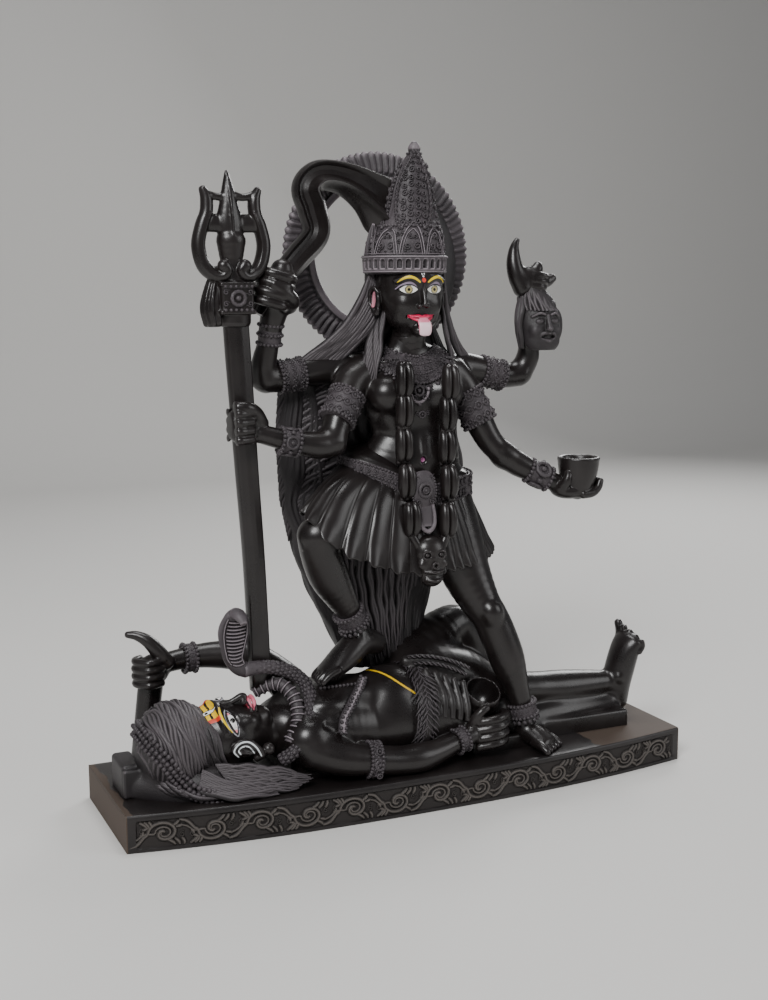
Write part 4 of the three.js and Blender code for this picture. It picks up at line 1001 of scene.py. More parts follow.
def ornaments(name, motif, places, material):
    """places is a list of (position, outward, along, size or (x, y, z) sizes)."""
    mesh = bpy.data.meshes.new(name)
    mesh.from_pydata([tuple(np.asarray(p[0]) * MM) for p in places], [], [])
    for label, slot in (("outward", 1), ("along", 2), ("size", 3)):
        rows = np.array([np.ones(3) * p[slot] if slot == 3 else unit(p[slot]) for p in places], np.float32)
        mesh.attributes.new(label, "FLOAT_VECTOR", "POINT").data.foreach_set("vector", rows.ravel())
    return grown_piece(name, mesh, ORNAMENTS, {"Motif": motif, "Material": material}, False)


# Motifs, each about one millimetre across, kept out of the scene
def motif(name, parts):
    return bpy.data.objects.new(name, facing_out(new_mesh(name, *merged(parts))))


def round_section(sides):
    return [(math.cos(a), math.sin(a)) for a in turns_round(sides, 0.5)]


def bead_motif():
    sides, levels = 7, 4
    rings = []
    for k in range(levels):
        tilt = math.pi * (k + 0.5) / levels - math.pi / 2
        rings.append([
            (0.5 * math.cos(tilt) * math.cos(a), 0.5 * math.cos(tilt) * math.sin(a), 0.5 * math.sin(tilt))
            for a in turns_round(sides)])
    return motif("bead", [ring_mesh(rings)])


def rosette_motif():
    """A ring round a raised centre, one across."""
    rings = [
        [((0.38 + 0.12 * u) * math.cos(a), (0.38 + 0.12 * u) * math.sin(a), 0.14 * v)
         for u, v in round_section(5)] for a in turns_round(10)]
    dome = [
        [(0.16 * s * math.cos(a), 0.16 * s * math.sin(a), h) for a in turns_round(6)]
        for s, h in ((1, -0.1), (1, 0.06), (0.55, 0.16))]
    return motif("rosette", [ring_loop(rings), ring_mesh(dome)])


def scroll_motif():
    """A curled leaf stroke, one long, that thickens towards its tail."""
    rows = []
    for k in range(13):
        t = k / 12
        turn = 0.5 + 1.45 * 2 * math.pi * (1 - t)
        r = 0.07 + 0.34 * t
        thick = 0.055 + 0.035 * math.sin(math.pi * min(1, t * 1.1))
        rows.append((0.05 + r * math.cos(turn), r * math.sin(turn), 0.03, thick))
    rows.append((0.62, 0.24, 0.0, 0.03))
    return motif("scroll", [sweep(rows, round_section(5), 1, UP)])


BEAD = bead_motif()
ROSETTE = rosette_motif()
SCROLL = scroll_motif()


# Rows of ornaments along a line, or round a limb
def along_line(rows, spacing, size, outward=FRONT):
    fine = smooth_rows(rows, 12)
    run = run_along(fine[:, :3])
    count = max(int(round(run[-1] / spacing)), 1)
    places = []
    for k in range(count + 1):
        at = run[-1] * k / count
        step = spot_at(min(at + 1, run[-1]), run, fine) - spot_at(max(at - 1, 0), run, fine)
        places.append((spot_at(at, run, fine), outward, step, size))
    return places


def round_limb(centre, axis, half, thick, count, size, phase=0.0):
    axis, depth, wide = cross_frame(axis, FRONT)
    places = []
    for a in turns_round(count, phase):
        out = wide * math.cos(a) / half + depth * math.sin(a) / thick
        spot = np.asarray(centre) + wide * math.cos(a) * half + depth * math.sin(a) * thick
        places.append((spot, out, axis, size))
    return places


# A piece's surface, in millimetres, to lay ornaments and painted lines on
OUTSIDE = 150


class Skin:
    def __init__(self, mesh):
        points = [tuple(v.co / MM) for v in mesh.vertices]
        self.tree = BVHTree.FromPolygons(points, [tuple(p.vertices) for p in mesh.polygons])

    def seen(self, point, lift=0.0):
        """Where the camera's ray through a point meets the surface, and the way it faces there."""
        eye = Vector(CAMERA_PLACE)
        spot, normal, _, _ = self.tree.ray_cast(eye, (Vector(point) - eye).normalized())
        if spot is None:
            return self.near(point, lift)
        return np.array(spot) + np.array(normal) * lift, np.array(normal)

    def front(self, x, z, lift=0.0):
        """What shows from the front at x, z: the point, lifted off, and the way it faces."""
        spot, normal, _, _ = self.tree.ray_cast(Vector((x, -200, z)), Vector((0, 1, 0)))
        if spot is None:
            return self.near((x, -8, z), lift)
        return np.array(spot) + np.array(normal) * lift, np.array(normal)

    def near(self, point, lift=0.0):
        spot, normal, _, _ = self.tree.find_nearest(Vector(point))
        return np.array(spot) + np.array(normal) * lift, np.array(normal)

    def reach(self, centre, turn):
        """How far from the centre the surface stands, level, at a turn."""
        way = Vector((math.cos(turn), math.sin(turn), 0))
        spot, _, _, _ = self.tree.ray_cast(Vector(centre) + way * OUTSIDE, -way)
        return 0.0 if spot is None else math.hypot(spot[0] - centre[0], spot[1] - centre[1])


# Hands: palm, bent fingers side by side across it, and a thumb
def fist(clay, palm, across, reach, size, thumb):
    side, out = unit(across), unit(reach)
    back = unit(np.cross(side, out))
    centre = np.asarray(palm, float)
    clay.egg(centre, (size * 0.9, size * 0.72, size * 0.9), 3)
    for k in range(4):
        base = centre + side * size * (0.42 * k - 0.63)
        width = size * (0.235 if k in (1, 2) else 0.215)

        def spot(f, b, w=1.0):
            return (*(base + out * f * size + back * b * size), width * w)

        clay.limb([
            spot(0.0, 0.72), spot(0.72, 0.8, 1.02), spot(0.98, 0.52), spot(1.14, 0.0),
            spot(0.95, -0.42, 0.95), spot(0.45, -0.62, 0.85)], 1.0, facing=side, per_span=3)
    clay.limb(thumb, 1.4)


# Trunk, arms, hands and cup of the standing figure
def standing_body():
    clay = Clay((-182, -66, 268), (206, 44, 560), 1.0)
    clay.limb([
        (12, 0, 262, 68, 29), (10, 0, 292, 66, 31), (9, -2, 318, 58, 30), (14, -4, 346, 47, 26.5),
        (12, -3, 368, 43, 25), (9, -4, 392, 49, 27), (8, -1, 412, 54, 25), (7, 0, 426, 44, 20),
        (6, -3, 438, 24, 16), (6, -4, 450, 16.5, 16)], 0, per_span=5)
    for side, x in ((-1, -22), (1, 37)):
        clay.egg((x, -19, 400), (20.5, 19, 19.5), 5)
        clay.limb([
            (7 + side * 5, -15, 434, 2.2), (7 + side * 26, -19, 431, 2.4),
            (7 + side * 46, -9, 430, 2.2)], 4)
        clay.limb([
            (x + side * 2, -14, 382, 8), (x - side * 8, -16, 372, 7), (x - side * 12, -16, 362, 5)], 8)
    clay.egg((13, -19, 336), (25, 13, 20), 10)
    clay.egg((9.4, -33.4, 336), (2.6, 3.0, 3.4), 2.0, cut=True)
    clay.limb([(9.6, -33, 390, 1.4), (9.6, -32, 360, 1.4), (9.4, -34, 344, 1.0)], 3.5, cut=True)
    arms = [
        [(-34, 12, 421, 17, 15), (-58, 17, 424, 16, 14.5), (-88, 18, 422, 14.5, 14),
         (-112, 18, 417, 14.2, 13.5), (-134, 16, 415, 12.5, 12)],
        [(-136, 16, 414, 12, 12), (-136, 13, 432, 11.8, 12), (-132, 8, 456, 9.6, 10),
         (-130, 5, 484, 8.8, 9.5)],
        [(-38, 0, 420, 17, 16), (-56, -6, 408, 17.5, 16.5), (-70, -15, 384, 15, 15),
         (-82, -23, 358, 12.6, 13)],
        [(-80, -23, 356, 12.6, 13), (-100, -27, 355, 12.8, 12.6), (-126, -26, 360, 10, 10.4),
         (-154, -22, 368, 8.8, 9.6)],
        [(50, 12, 418, 17, 15), (76, 17, 421, 15.5, 14), (102, 18, 417, 14.2, 13.5),
         (126, 20, 412, 13, 12.5), (145, 19, 412, 12, 12)],
        [(147, 19, 414, 12, 12), (154, 17, 430, 11.8, 11.5), (153, 14, 446, 10, 10), (149, 10, 470, 9, 9.5),
         (146, 8, 490, 9.5, 10)],
        [(56, 2, 418, 17.5, 16.5), (68, -2, 402, 17, 16), (79, -8, 378, 15, 15), (92, -15, 350, 13, 13.5),
         (107, -21, 333, 12.4, 13)],
        [(105, -20, 335, 12.4, 13), (120, -26, 325, 12.6, 12.6), (142, -33, 313, 10, 10.4),
         (168, -39, 300, 8.6, 8.8)]]
    for arm in arms:
        clay.limb(arm, 6)
    fist(
        clay, (-130, 1, 500), (0.3, 0, 0.95), (-0.55, -0.83, 0.1), 21,
        [(-116, -4, 484, 7), (-118, -16, 490, 6.8), (-128, -22, 498, 5.8), (-138, -22, 505, 5)])
    clay.limb([
        (-131, 6, 466, 10.5, 10.5), (-127, 3, 484, 13, 12), (-122, 1, 504, 13, 12),
        (-121, 2, 520, 10, 10)], 5)
    fist(clay, (-169, -19, 376), (0, 0, 1), (-0.95, -0.3, 0), 19.2, [
        (-152, -22, 377, 7), (-160, -29, 388, 6.6), (-171, -35, 393.5, 6), (-183, -32, 394, 5.4),
        (-191, -25, 392.5, 4.2)])
    fist(clay, (147, 5, 504), (0.25, 0, 1), (0.78, -0.62, 0), 14, [
        (138, 2, 500, 9.5), (132.5, 3, 512, 9.2), (129.6, 4.5, 524, 8), (129.4, 5.5, 535, 6),
        (131, 6.4, 543, 4.2), (134.2, 7, 549, 2.6)])
    clay.egg((146, 3, 511), (13, 11, 12), 5)
    clay.limb([(149, 1, 512, 6), (154, 1, 519, 6), (156, 2, 524, 4.2)], 3)
    clay.limb([(156, 3, 506, 7), (166, 2, 507, 5.8), (173, 2, 511, 4.6)], 3)
    # open hand under the cup
    clay.egg((172, -40, 297), (20, 15, 8.5), 4)
    clay.egg((186, -41, 296), (15, 14, 6.5), 4)
    for k in range(4):
        y = -53 + 8 * k
        tip = 1.0 if k in (1, 2) else 0.0
        clay.limb([
            (180, y, 294, 4.6), (191 + tip, y, 295, 4.5), (198 + tip, y + 0.5, 300, 4.2),
            (201 + tip * 0.6, y + 1, 307, 3.6)], 1.0)
    clay.limb([
        (158, -44, 300, 6), (160.5, -50, 306, 5.2), (162.5, -52, 312, 4.2), (163.4, -50.6, 317, 3.2)], 2)
    cup_x, cup_y = 181, -42
    clay.limb([
        (cup_x - 1, cup_y, 297, 10), (cup_x - 1, cup_y, 303, 14.6), (180.4, cup_y, 311, 18.0),
        (180.8, cup_y, 321, 20.4), (cup_x, cup_y, 340, 22.4)], 0.8)
    clay.slab((cup_x, cup_y, 348), (62, 62, 35), 0.4, cut=True)
    clay.limb([(cup_x, cup_y, z, half) for z, half in ((318, 12), (328, 16.6), (344, 18))], 1.2, cut=True)
    clay.limb([
        (cup_x + 20 * math.cos(a), cup_y + 20 * math.sin(a), 329.8, 1.7)
        for a in np.linspace(0, FULL_TURN, 15)], 0.6, per_span=2)
    return stone_piece("standing_body", clay, body_paint(), 74000, paint_body)


def paint_body(mesh):
    def navel(points):
        x, y, z = points.T
        return np.where(y < -24, disc(x - 9.4, z - 336, (0, 0), 2.2), NO_PAINT)

    mark_fields(mesh, {"navel": navel})


def body_paint():
    return stone_finish("standing_body_stone", paints=[("navel", (0.34, 0.10, 0.24), 0.5)], **POLISHED)


# Held head: waved hair to a knot, arched brows, closed eyes, a beard, and a cut base
def severed_head():
    x0 = 155
    clay = Clay((126, -36, 430), (200, 24, 508), 0.8)
    clay.egg((x0, -4, 464), (22.5, 17.5, 25), 0)
    clay.egg((x0, -10, 448), (19, 13, 14), 6)
    for side in (-1, 1):
        clay.egg((x0 + side * 8, -22.5, 468), (5.6, 3.8, 3.6), 1.5, cut=True)
        clay.egg((x0 + side * 8, -18.4, 467.4), (4.8, 3.6, 3.4), 0.8)
        clay.limb([
            (x0 + side * 3.5, -21.8, 474.2, 1.1), (x0 + side * 9, -21, 475.6, 1.4),
            (x0 + side * 15.5, -16, 472.2, 1.1)], 1.6)
        clay.egg((x0 + side * 11, -16.5, 458), (6, 5.5, 6.5), 4)
    clay.limb([(x0, -20.5, 473, 2), (x0, -23.5, 465, 2.4), (x0, -25.4, 460, 3.5)], 2)
    for side in (-1, 1):
        clay.limb([
            (x0, -24, 455.8, 1.4), (x0 + side * 6, -22.6, 455.4, 1.8),
            (x0 + side * 11, -19, 451, 1.2)], 1.2)
    clay.limb([(148, -20.4, 452, 1.2), (x0, -23.6, 451.6, 1.8), (162, -20.4, 452, 1.2)], 1.2, cut=True)
    clay.limb([(149, -20.4, 449, 1.4), (x0, -23.0, 448, 2.0), (161, -20.4, 449, 1.4)], 1.4)
    clay.slab((x0, -2, 434), (66, 64, 9), 0.8, cut=True)
    clay.limb([(147, 3, 502, 9.5, 9.5), (150.5, 1, 491, 14.5, 13), (154, -1, 480, 20.5, 16.5)], 4)
    stone_piece("severed_head", clay, hair_stone, 18000)
    paths = []
    for k, a in enumerate(turns_round(28)):
        c, s = math.cos(a), math.sin(a)
        if s > 0.42:
            rows = [
                (147 + 6 * c, 2 - 4.5 * s, 504, 2.0), (150 + 13.5 * c, 0 - 12.5 * s, 490, 2.7),
                (154 + 18 * c, -3 - 17 * s, 478, 2.0)]
        else:
            rows = [
                (147 + 6 * c, 2 - 4.5 * s, 504, 2.0), (150 + 14 * c, 0 - 12.5 * s, 489, 2.8),
                (154 + 22.5 * c, -3 - 17 * s, 474, 2.9), (x0 + 23.5 * c, -3 - 15 * s, 458, 2.8),
                (x0 + 19.5 * c, -1 - 12 * s, 440, 1.8)]
        paths.append((waved(rows, 6, 1.1, 2.4 * k, (-s, -c, 0)), (c, -s, 0.2)))
    for k in range(9):
        f = k / 4 - 1
        rows = [
            (x0 + 14 * f, -20 + 5.5 * f * f, 451 - 2 * abs(f), 1.5),
            (x0 + 14.5 * f, -20.5 + 6 * f * f, 444.5, 2.0), (x0 + 12.5 * f, -18.5 + 6 * f * f, 438.6, 0.9)]
        paths.append((waved(rows, 5, 0.5, 1.7 * k, (1, 0, 0)), FRONT))
    strands("severed_head_hair", paths, hair_stone, 3, 0.2, 0.8, 2.8)


# Legs of the standing figure, with feet and toes
def standing_legs():
    clay = Clay((-136, -92, 34), (168, 34, 302), 1.05)
    clay.limb([
        (-20, 0, 284, 26, 26), (-54, -16, 284, 25, 24), (-84, -31, 278, 22, 21),
        (-102, -38, 271, 19, 19)], 0)
    clay.egg((-108, -41, 271), (13.5, 12.5, 15), 7)
    clay.limb([
        (-105, -38, 272, 18, 18), (-100, -34, 256, 19, 20), (-88, -25, 230, 19.5, 20),
        (-73, -18, 206, 15.5, 16.5), (-60, -13, 186, 11.5, 12.5), (-50, -10, 166, 10.5, 11.5)], 5)
    clay.limb([
        (-28, -3, 150, 11.5, 11), (-48, -11, 156, 14, 13.5), (-66, -17, 146, 14, 15.5),
        (-84, -21, 134.5, 10, 16.5), (-90, -21, 131.5, 8, 15.5)], 4)
    for side in (-1, 1):
        clay.egg((-50 + 2 * side, -10 + side * 10, 163), (4.5, 3.8, 4.5), 3)
    for k in range(5):
        y = -36 + 6.6 * k
        far = (0, 2.2, 1.4, 0.2, -1.5)[k] if k else 0
        big = 1.35 if k == 4 else 1.0
        clay.limb([
            (-82, y, 137, 3.6 * big), (-91 - far, y - 0.6, 133, 3.3 * big),
            (-97 - far, y - 1, 128.5, 3.0 * big), (-99 - far, y - 1, 126, 2.6 * big)], 0.8)
    clay.limb([
        (48, 2, 284, 32, 30), (58, -4, 252, 29, 28), (68, -14, 214, 25, 24), (79, -24, 186, 20, 20),
        (87, -28.5, 172, 18.4, 18.6), (95, -31, 154, 18.6, 18.6), (105, -34, 126, 18, 18.4),
        (114, -37, 96, 13, 14), (120, -40, 72, 10.5, 11.4), (122, -38, 50, 11, 12.5)], 0)
    clay.egg((83, -44, 178), (9.5, 6.5, 11), 6)
    clay.egg((110, -22, 128), (13, 11, 24), 8, turn=(0, -20, 0))
    clay.limb([
        (118, -24, 44, 11, 10), (121, -36, 50, 12, 14), (129, -52, 47, 12.5, 10.5),
        (136, -64, 42, 14, 7.5)], 4, facing=UP)
    for side in (-1, 1):
        clay.egg((121 + side * 10, -38 + side * 2, 62), (4, 4.5, 5), 3)
    for k in range(5):
        x = 124.5 + 6.6 * k
        y = -67 + 3.4 * k
        far = (2.5, 2.0, 0.8, -0.6, -2.2)[k]
        big = 1.35 if k == 0 else 1.0
        clay.limb([
            (x - 2, y + 5, 43, 3.7 * big), (x, y - 3 - far, 41.5, 3.4 * big),
            (x + 2, y - 9 - far, 38.6, 3.0 * big),
            (x + 2.3, y - 10.5 - far, 37.6, 2.6 * big)], 0.8, facing=UP)
    clay.trim_below(33)
    return stone_piece("standing_legs", clay, polished, 36000)


# Pleated skirt: broad folds over the raised thigh, narrow pleats on the right, a ruffled hem
SKIRT_HEM = [
    (90, 2, 34, 236), (130, -50, 27, 252), (158, -88, 8, 278), (178, -108, -12, 291), (191, -116, -30, 297),
    (203, -117, -45, 293), (213, -109, -56, 281), (222, -94, -62, 265), (232, -75, -63, 253),
    (242, -54, -61, 245), (252, -34, -58, 237), (262, -13, -55, 232), (273, 8, -51, 229),
    (286, 32, -47, 230), (300, 54, -40, 231), (315, 74, -31, 232), (330, 90, -20, 235), (346, 101, -8, 239),
    (362, 104, 4, 242), (385, 92, 18, 240), (415, 52, 32, 237), (450, 2, 34, 236)]
SKIRT_FOLDS = [(90, 0), (180, 8), (268, 15), (352, 27), (450, 36)]


def skirt():
    around = 36 * 11
    degrees = 90 + 360 * np.arange(around) / around
    turn = np.radians(degrees)
    c, s = np.cos(turn), np.sin(turn)
    line = np.array(SKIRT_HEM, float)
    table = smooth_rows(line, 8)
    hem = np.stack([np.interp(degrees, table[:, 0], table[:, i]) for i in (1, 2, 3)], 1)
    folds = np.array(SKIRT_FOLDS, float)
    phase = np.interp(degrees, folds[:, 0], folds[:, 1])
    broad = np.exp(-((degrees - 222) / 34.0) ** 2)
    ridge = np.abs(np.cos(math.pi * phase)) ** 0.62
    middle = np.array([2.0, -4.0])
    away = hem[:, :2] - middle
    away /= np.linalg.norm(away, axis=1)[:, None]
    away[:, 1] -= 0.5 * broad
    rings = []
    for share in np.concatenate([np.linspace(0, 0.86, 26), np.linspace(0.89, 1.0, 7)]):
        top = np.stack([2 + 63 * c, -2 + 34 * s, 318 - 11 * c + 8.5 * s + 6.5 * c * c], 1)
        ring = top + (hem - top) * np.stack([
            np.full(around, share**0.9), np.full(around, share**0.8), np.full(around, share)], 1)
        deep = (2.2 + 3.4 * broad) * min(1, 0.2 + 1.3 * share)
        flare = max(0.0, (share - 0.84) / 0.16)
        lift = deep * (ridge - 0.6) + 1.6 * flare * np.cos(FULL_TURN * phase + 0.4)
        ring[:, :2] += away * lift[:, None]
        ring[:, 2] += 11 * broad * math.sin(math.pi * share) - 1.8 * share * ridge
        ring[:, 2] += flare * 1.1 * np.sin(4 * math.pi * phase)
        rings.append(ring)
    edge = rings[-1]
    for inset, lift in (
            (1.004, -1.0), (0.996, -2.0), (0.975, -2.0), (0.955, -0.4), (0.94, 3.0), (0.90, 8.0),
            (0.5, 13.0)):
        ring = edge.copy()
        ring[:, :2] = middle + (edge[:, :2] - middle) * inset
        ring[:, 2] = edge[:, 2] + lift
        rings.append(ring)
    joined("skirt", [ring_mesh(rings)], polished)


# Sword: a broad curved blade with a ridge down its front, from the fist over to the crown
SWORD_LINE = [
    (-146, 2, 478, 7, 8), (-138, 2, 490, 8, 9), (-127, 3, 505, 10, 11), (-104, 8, 528, 12, 14),
    (-82, 12, 552, 13, 17), (-85, 14, 576, 14, 18), (-90, 15, 594, 14, 18), (-78, 16, 606, 14, 18),
    (-55, 16, 605, 15, 18), (-31, 14, 594, 20, 18), (-10, 10, 576, 28, 18), (4, 6, 552, 24, 17)]


def sword():
    front = [
        (-1.04, -0.10), (-1.0, 0.22), (-0.90, 0.44), (-0.80, 0.40), (-0.62, 0.24), (-0.35, 0.20),
        (-0.05, 0.30), (0.16, 0.52), (0.28, 0.84), (0.34, 0.98), (0.41, 0.97), (0.48, 0.78), (0.60, 0.56),
        (0.80, 0.34), (0.97, 0.12), (1.04, -0.06)]
    back = [
        (1.0, -0.30), (0.86, -0.52), (0.6, -0.66), (0.3, -0.74), (0.0, -0.78), (-0.3, -0.76), (-0.6, -0.68),
        (-0.86, -0.50), (-1.0, -0.30)]
    joined("sword", [sweep(SWORD_LINE, front + back, 8)], polished, 24)


# Trident: ridged shaft, box drum, ringed neck, lyre prongs and spike, with a tassel
def trident():
    shaft = [
        (-150, -2, 118, 10.5, 9), (-156, -6, 240, 10.5, 9), (-163, -10, 330, 11, 9),
        (-170, -13, 430, 12, 9), (-173, -14, 476, 12, 9)]
    section = []
    for a in turns_round(32, 0.5):
        u, v = math.cos(a), math.sin(a)
        box = 1 / max(abs(u), abs(v)) ** 0.55
        groove = 0.12 * math.exp(-((abs(u) - 0.52) / 0.13) ** 2)
        section.append((u * box * 0.98, v * box * (0.98 - groove)))
    joined("trident_shaft", [sweep(shaft, section, 8)], polished)
    clay = Clay((-214, -34, 466), (-138, 6, 610), 0.85)
    x0, y0 = -175.5, -14
    clay.slab((-173.5, y0, 492), (31, 25, 26), 0, edge=3)
    for z in (479.5, 504.5):
        clay.slab((-173.5, y0, z), (34, 28, 4), 1.2, edge=1.6)
    clay.limb([(-173.3, y0, 470, 15, 12), (-173.3, y0, 478, 15, 12)], 1.2, blunt=0.3)
    clay.limb([(-174, y0, 505, 12, 9.5), (-175, y0, 516, 9.5, 8.5), (x0, y0, 530, 8.5, 8)], 3)
    for z, r in ((527, 10.5), (532.5, 11.5), (538, 12.5), (543.5, 13.5)):
        clay.limb([(x0 - 0.1, y0, z - 1.4, r, r * 0.82), (x0, y0, z + 1.4, r, r * 0.82)], 0.8, blunt=0.35)
    spike = [
        (x0 - 0.5, y0, 546, 10.5, 8), (x0 - 1.3, y0, 559, 12.5, 8.5), (x0 - 2, y0, 578, 8.2, 6.6),
        (x0 - 2.8, y0, 594, 4.4, 4.2), (x0 - 3.4, y0, 604, 1.7, 1.7)]
    clay.limb(spike, 1.5, blunt=1.2)
    clay.limb([
        (x0 - 0.5, y0 - 9.5, 548, 0.8), (x0 - 1.6, y0 - 8.6, 572, 0.9), (x0 - 3, y0 - 3, 600, 0.6)], 1.6)
    for way in (-1, 1):
        prong = [
            (x0 + way * 9.5, -23.5, 523, 4.0), (x0 + way * 6.5, -23, 517, 4.6),
            (x0 + way * 11, -20, 511.5, 5.4, 6.4), (x0 + way * 19, -17, 513.5, 6.2, 7),
            (x0 + way * 27, -15, 522, 6.6, 7.4), (x0 + way * 31, -14, 539, 6.4, 7.4),
            (x0 + way * 27.5, -14, 556, 6.2, 7.2), (x0 + way * 23, -14, 568, 6.0, 6.6),
            (x0 + way * 22.5, -14, 580, 5.6, 5.8), (x0 + way * 26, -14, 589, 3.4, 4.2)]
        clay.limb(prong, 0.8)
        clay.egg((x0 + way * 10, -22.5, 521), (6.0, 5.4, 6.0), 1)
        clay.limb([(p[0] - way * 2.8, p[1] - 6.2, p[2], 1.1) for p in prong[3:8]], 1.0)
        clay.limb([(x0 + way * 25, -14, 559, 8, 4.6), (x0 + way * 4, -14, 559, 8.5, 5)], 1.6)
        clay.limb([
            (x0 + way * 24, -14, 585, 3.6, 3.8), (x0 + way * 12, -14, 582, 3.4, 3.6),
            (x0 + way * 2, -14, 584, 4, 4)], 1.2)
    # tassel beside the drum
    clay.limb([
        (-190, -12, 514, 5, 5.5), (-193.5, -13, 500, 7.5, 7.5), (-195.5, -13, 484, 9.6, 9),
        (-193.5, -13, 471, 9.0, 8.5)], 1.5, flute=(9, 0.1))
    clay.limb([(-190, -12, 517, 4), (-183, -13, 518, 4)], 2)
    stone_piece("trident_head", clay, polished, 26000)
    rows = []
    for z in (481.5, 502.5):
        for k in range(6):
            rows.append(((-186 + 5 * k, -27.4, z), FRONT, (1, 0, 0), 3.4))
    ornaments("trident_drum_beads", BEAD, rows, carved)
    ornaments(
        "trident_drum_flower", ROSETTE, [((-173.5, -26.8, 492), FRONT, (1, 0, 0), (17, 17, 12))], carved)
    ornaments("trident_drum_scrolls", SCROLL, [
        ((-185.5, -26.8, 487), FRONT, (1, 0, 0), 7), ((-162, -26.8, 487), FRONT, (-1, 0, 0), 7),
        ((-185.5, -26.8, 497.5), FRONT, (1, 0, 0.1), 7),
        ((-162, -26.8, 497.5), FRONT, (-1, 0, 0.1), 7)], carved)


# Halo: a smooth inner band and waved flutes out to a scalloped rim
def halo():
    cx, cy, cz = HALO_CENTRE
    inner = HALO_RADIUS - HALO_BAND
    smooth = 8
    turns = turns_round(HALO_FLUTES * 8)

    def ring(r, y, rise=0.0, trim=0.0, side=-1):
        share = (r - inner - smooth) / (HALO_BAND - smooth)
        sway = 0.16 * math.sin(5.5 * share) + 0.25 * share
        ridge = np.abs(np.cos(math.pi * (turns * HALO_FLUTES / FULL_TURN + sway)))
        clump = 0.75 + 0.25 * np.sin(9 * turns + 1.3) * np.sin(23 * turns)
        high = (ridge**0.75) * rise * clump
        reach = r - trim * (1 - ridge**1.2) * clump
        return np.stack([cx + reach * np.cos(turns), cy + y + side * high, cz + reach * np.sin(turns)], 1)

    def fluted(share, y, rise, trim, side):
        return ring(inner + smooth + (HALO_BAND - smooth) * share, y, rise, trim, side)

    band = ((0, 4.0), (0, -2.6), (1.2, -4.4), (3.6, -4.9), (6.6, -4.4), (7.6, -2.2))
    front = (
        (0.03, -1.6, 1.2, 0), (0.15, -1.8, 3.6, 0), (0.3, -1.4, 3.9, 0), (0.45, -0.9, 3.9, 0),
        (0.6, -0.4, 3.8, 0), (0.74, 0.1, 3.6, 0), (0.86, 0.6, 3.4, 0.6), (0.94, 1.2, 3.0, 1.8),
        (0.985, 2.2, 2.0, 2.8), (1.0, 3.4, 0.6, 3.2))
    back = (
        (1.0, 4.2, 0.4, 3.2), (0.96, 5.2, 1.2, 2.0), (0.8, 5.2, 1.6, 0), (0.45, 5.4, 1.6, 0),
        (0.12, 5.6, 1.0, 0))
    rings = [ring(inner + r, y) for r, y in band]
    rings += [fluted(*row, -1) for row in front] + [fluted(*row, 1) for row in back]
    rings += [ring(inner + 6, 7.0), ring(inner + 1.5, 6.6)]
    joined("halo", [ring_loop(rings)], carved)


# Crown: a row of niches over the brow, arches, and leaves of scrolls up to a knob
CROWN_OUTLINE = [
    (514, 4.8, 36.6, 34), (517, 4.8, 40.4, 38.2), (518.4, 4.8, 41, 38.8), (529, 4.8, 41.6, 39.4),
    (531, 4.8, 41, 38.6), (532.4, 5, 38.4, 35.6), (545, 6, 37.2, 33.4), (553, 7.4, 34.4, 30.2),
    (560, 9, 30.4, 26), (568, 10.4, 26.4, 22.8), (580, 11.2, 23.6, 20.2), (593, 11.6, 21, 18),
    (606, 12.4, 17.2, 15), (617, 13.6, 12.8, 12), (626, 14.6, 7.6, 7.6), (630, 15, 5.2, 5.2),
    (633.5, 15, 6.2, 6.2), (637, 15, 5.0, 5.0), (640, 15, 2.0, 2.0)]
CROWN_TURN = math.radians(-13)


def crown_at(z, turn, stand=0.0):
    x, half, thick = table_at(z, CROWN_OUTLINE)
    a = turn + CROWN_TURN
    return np.array([x + (half + stand) * math.cos(a), (thick + stand) * math.sin(a), z])


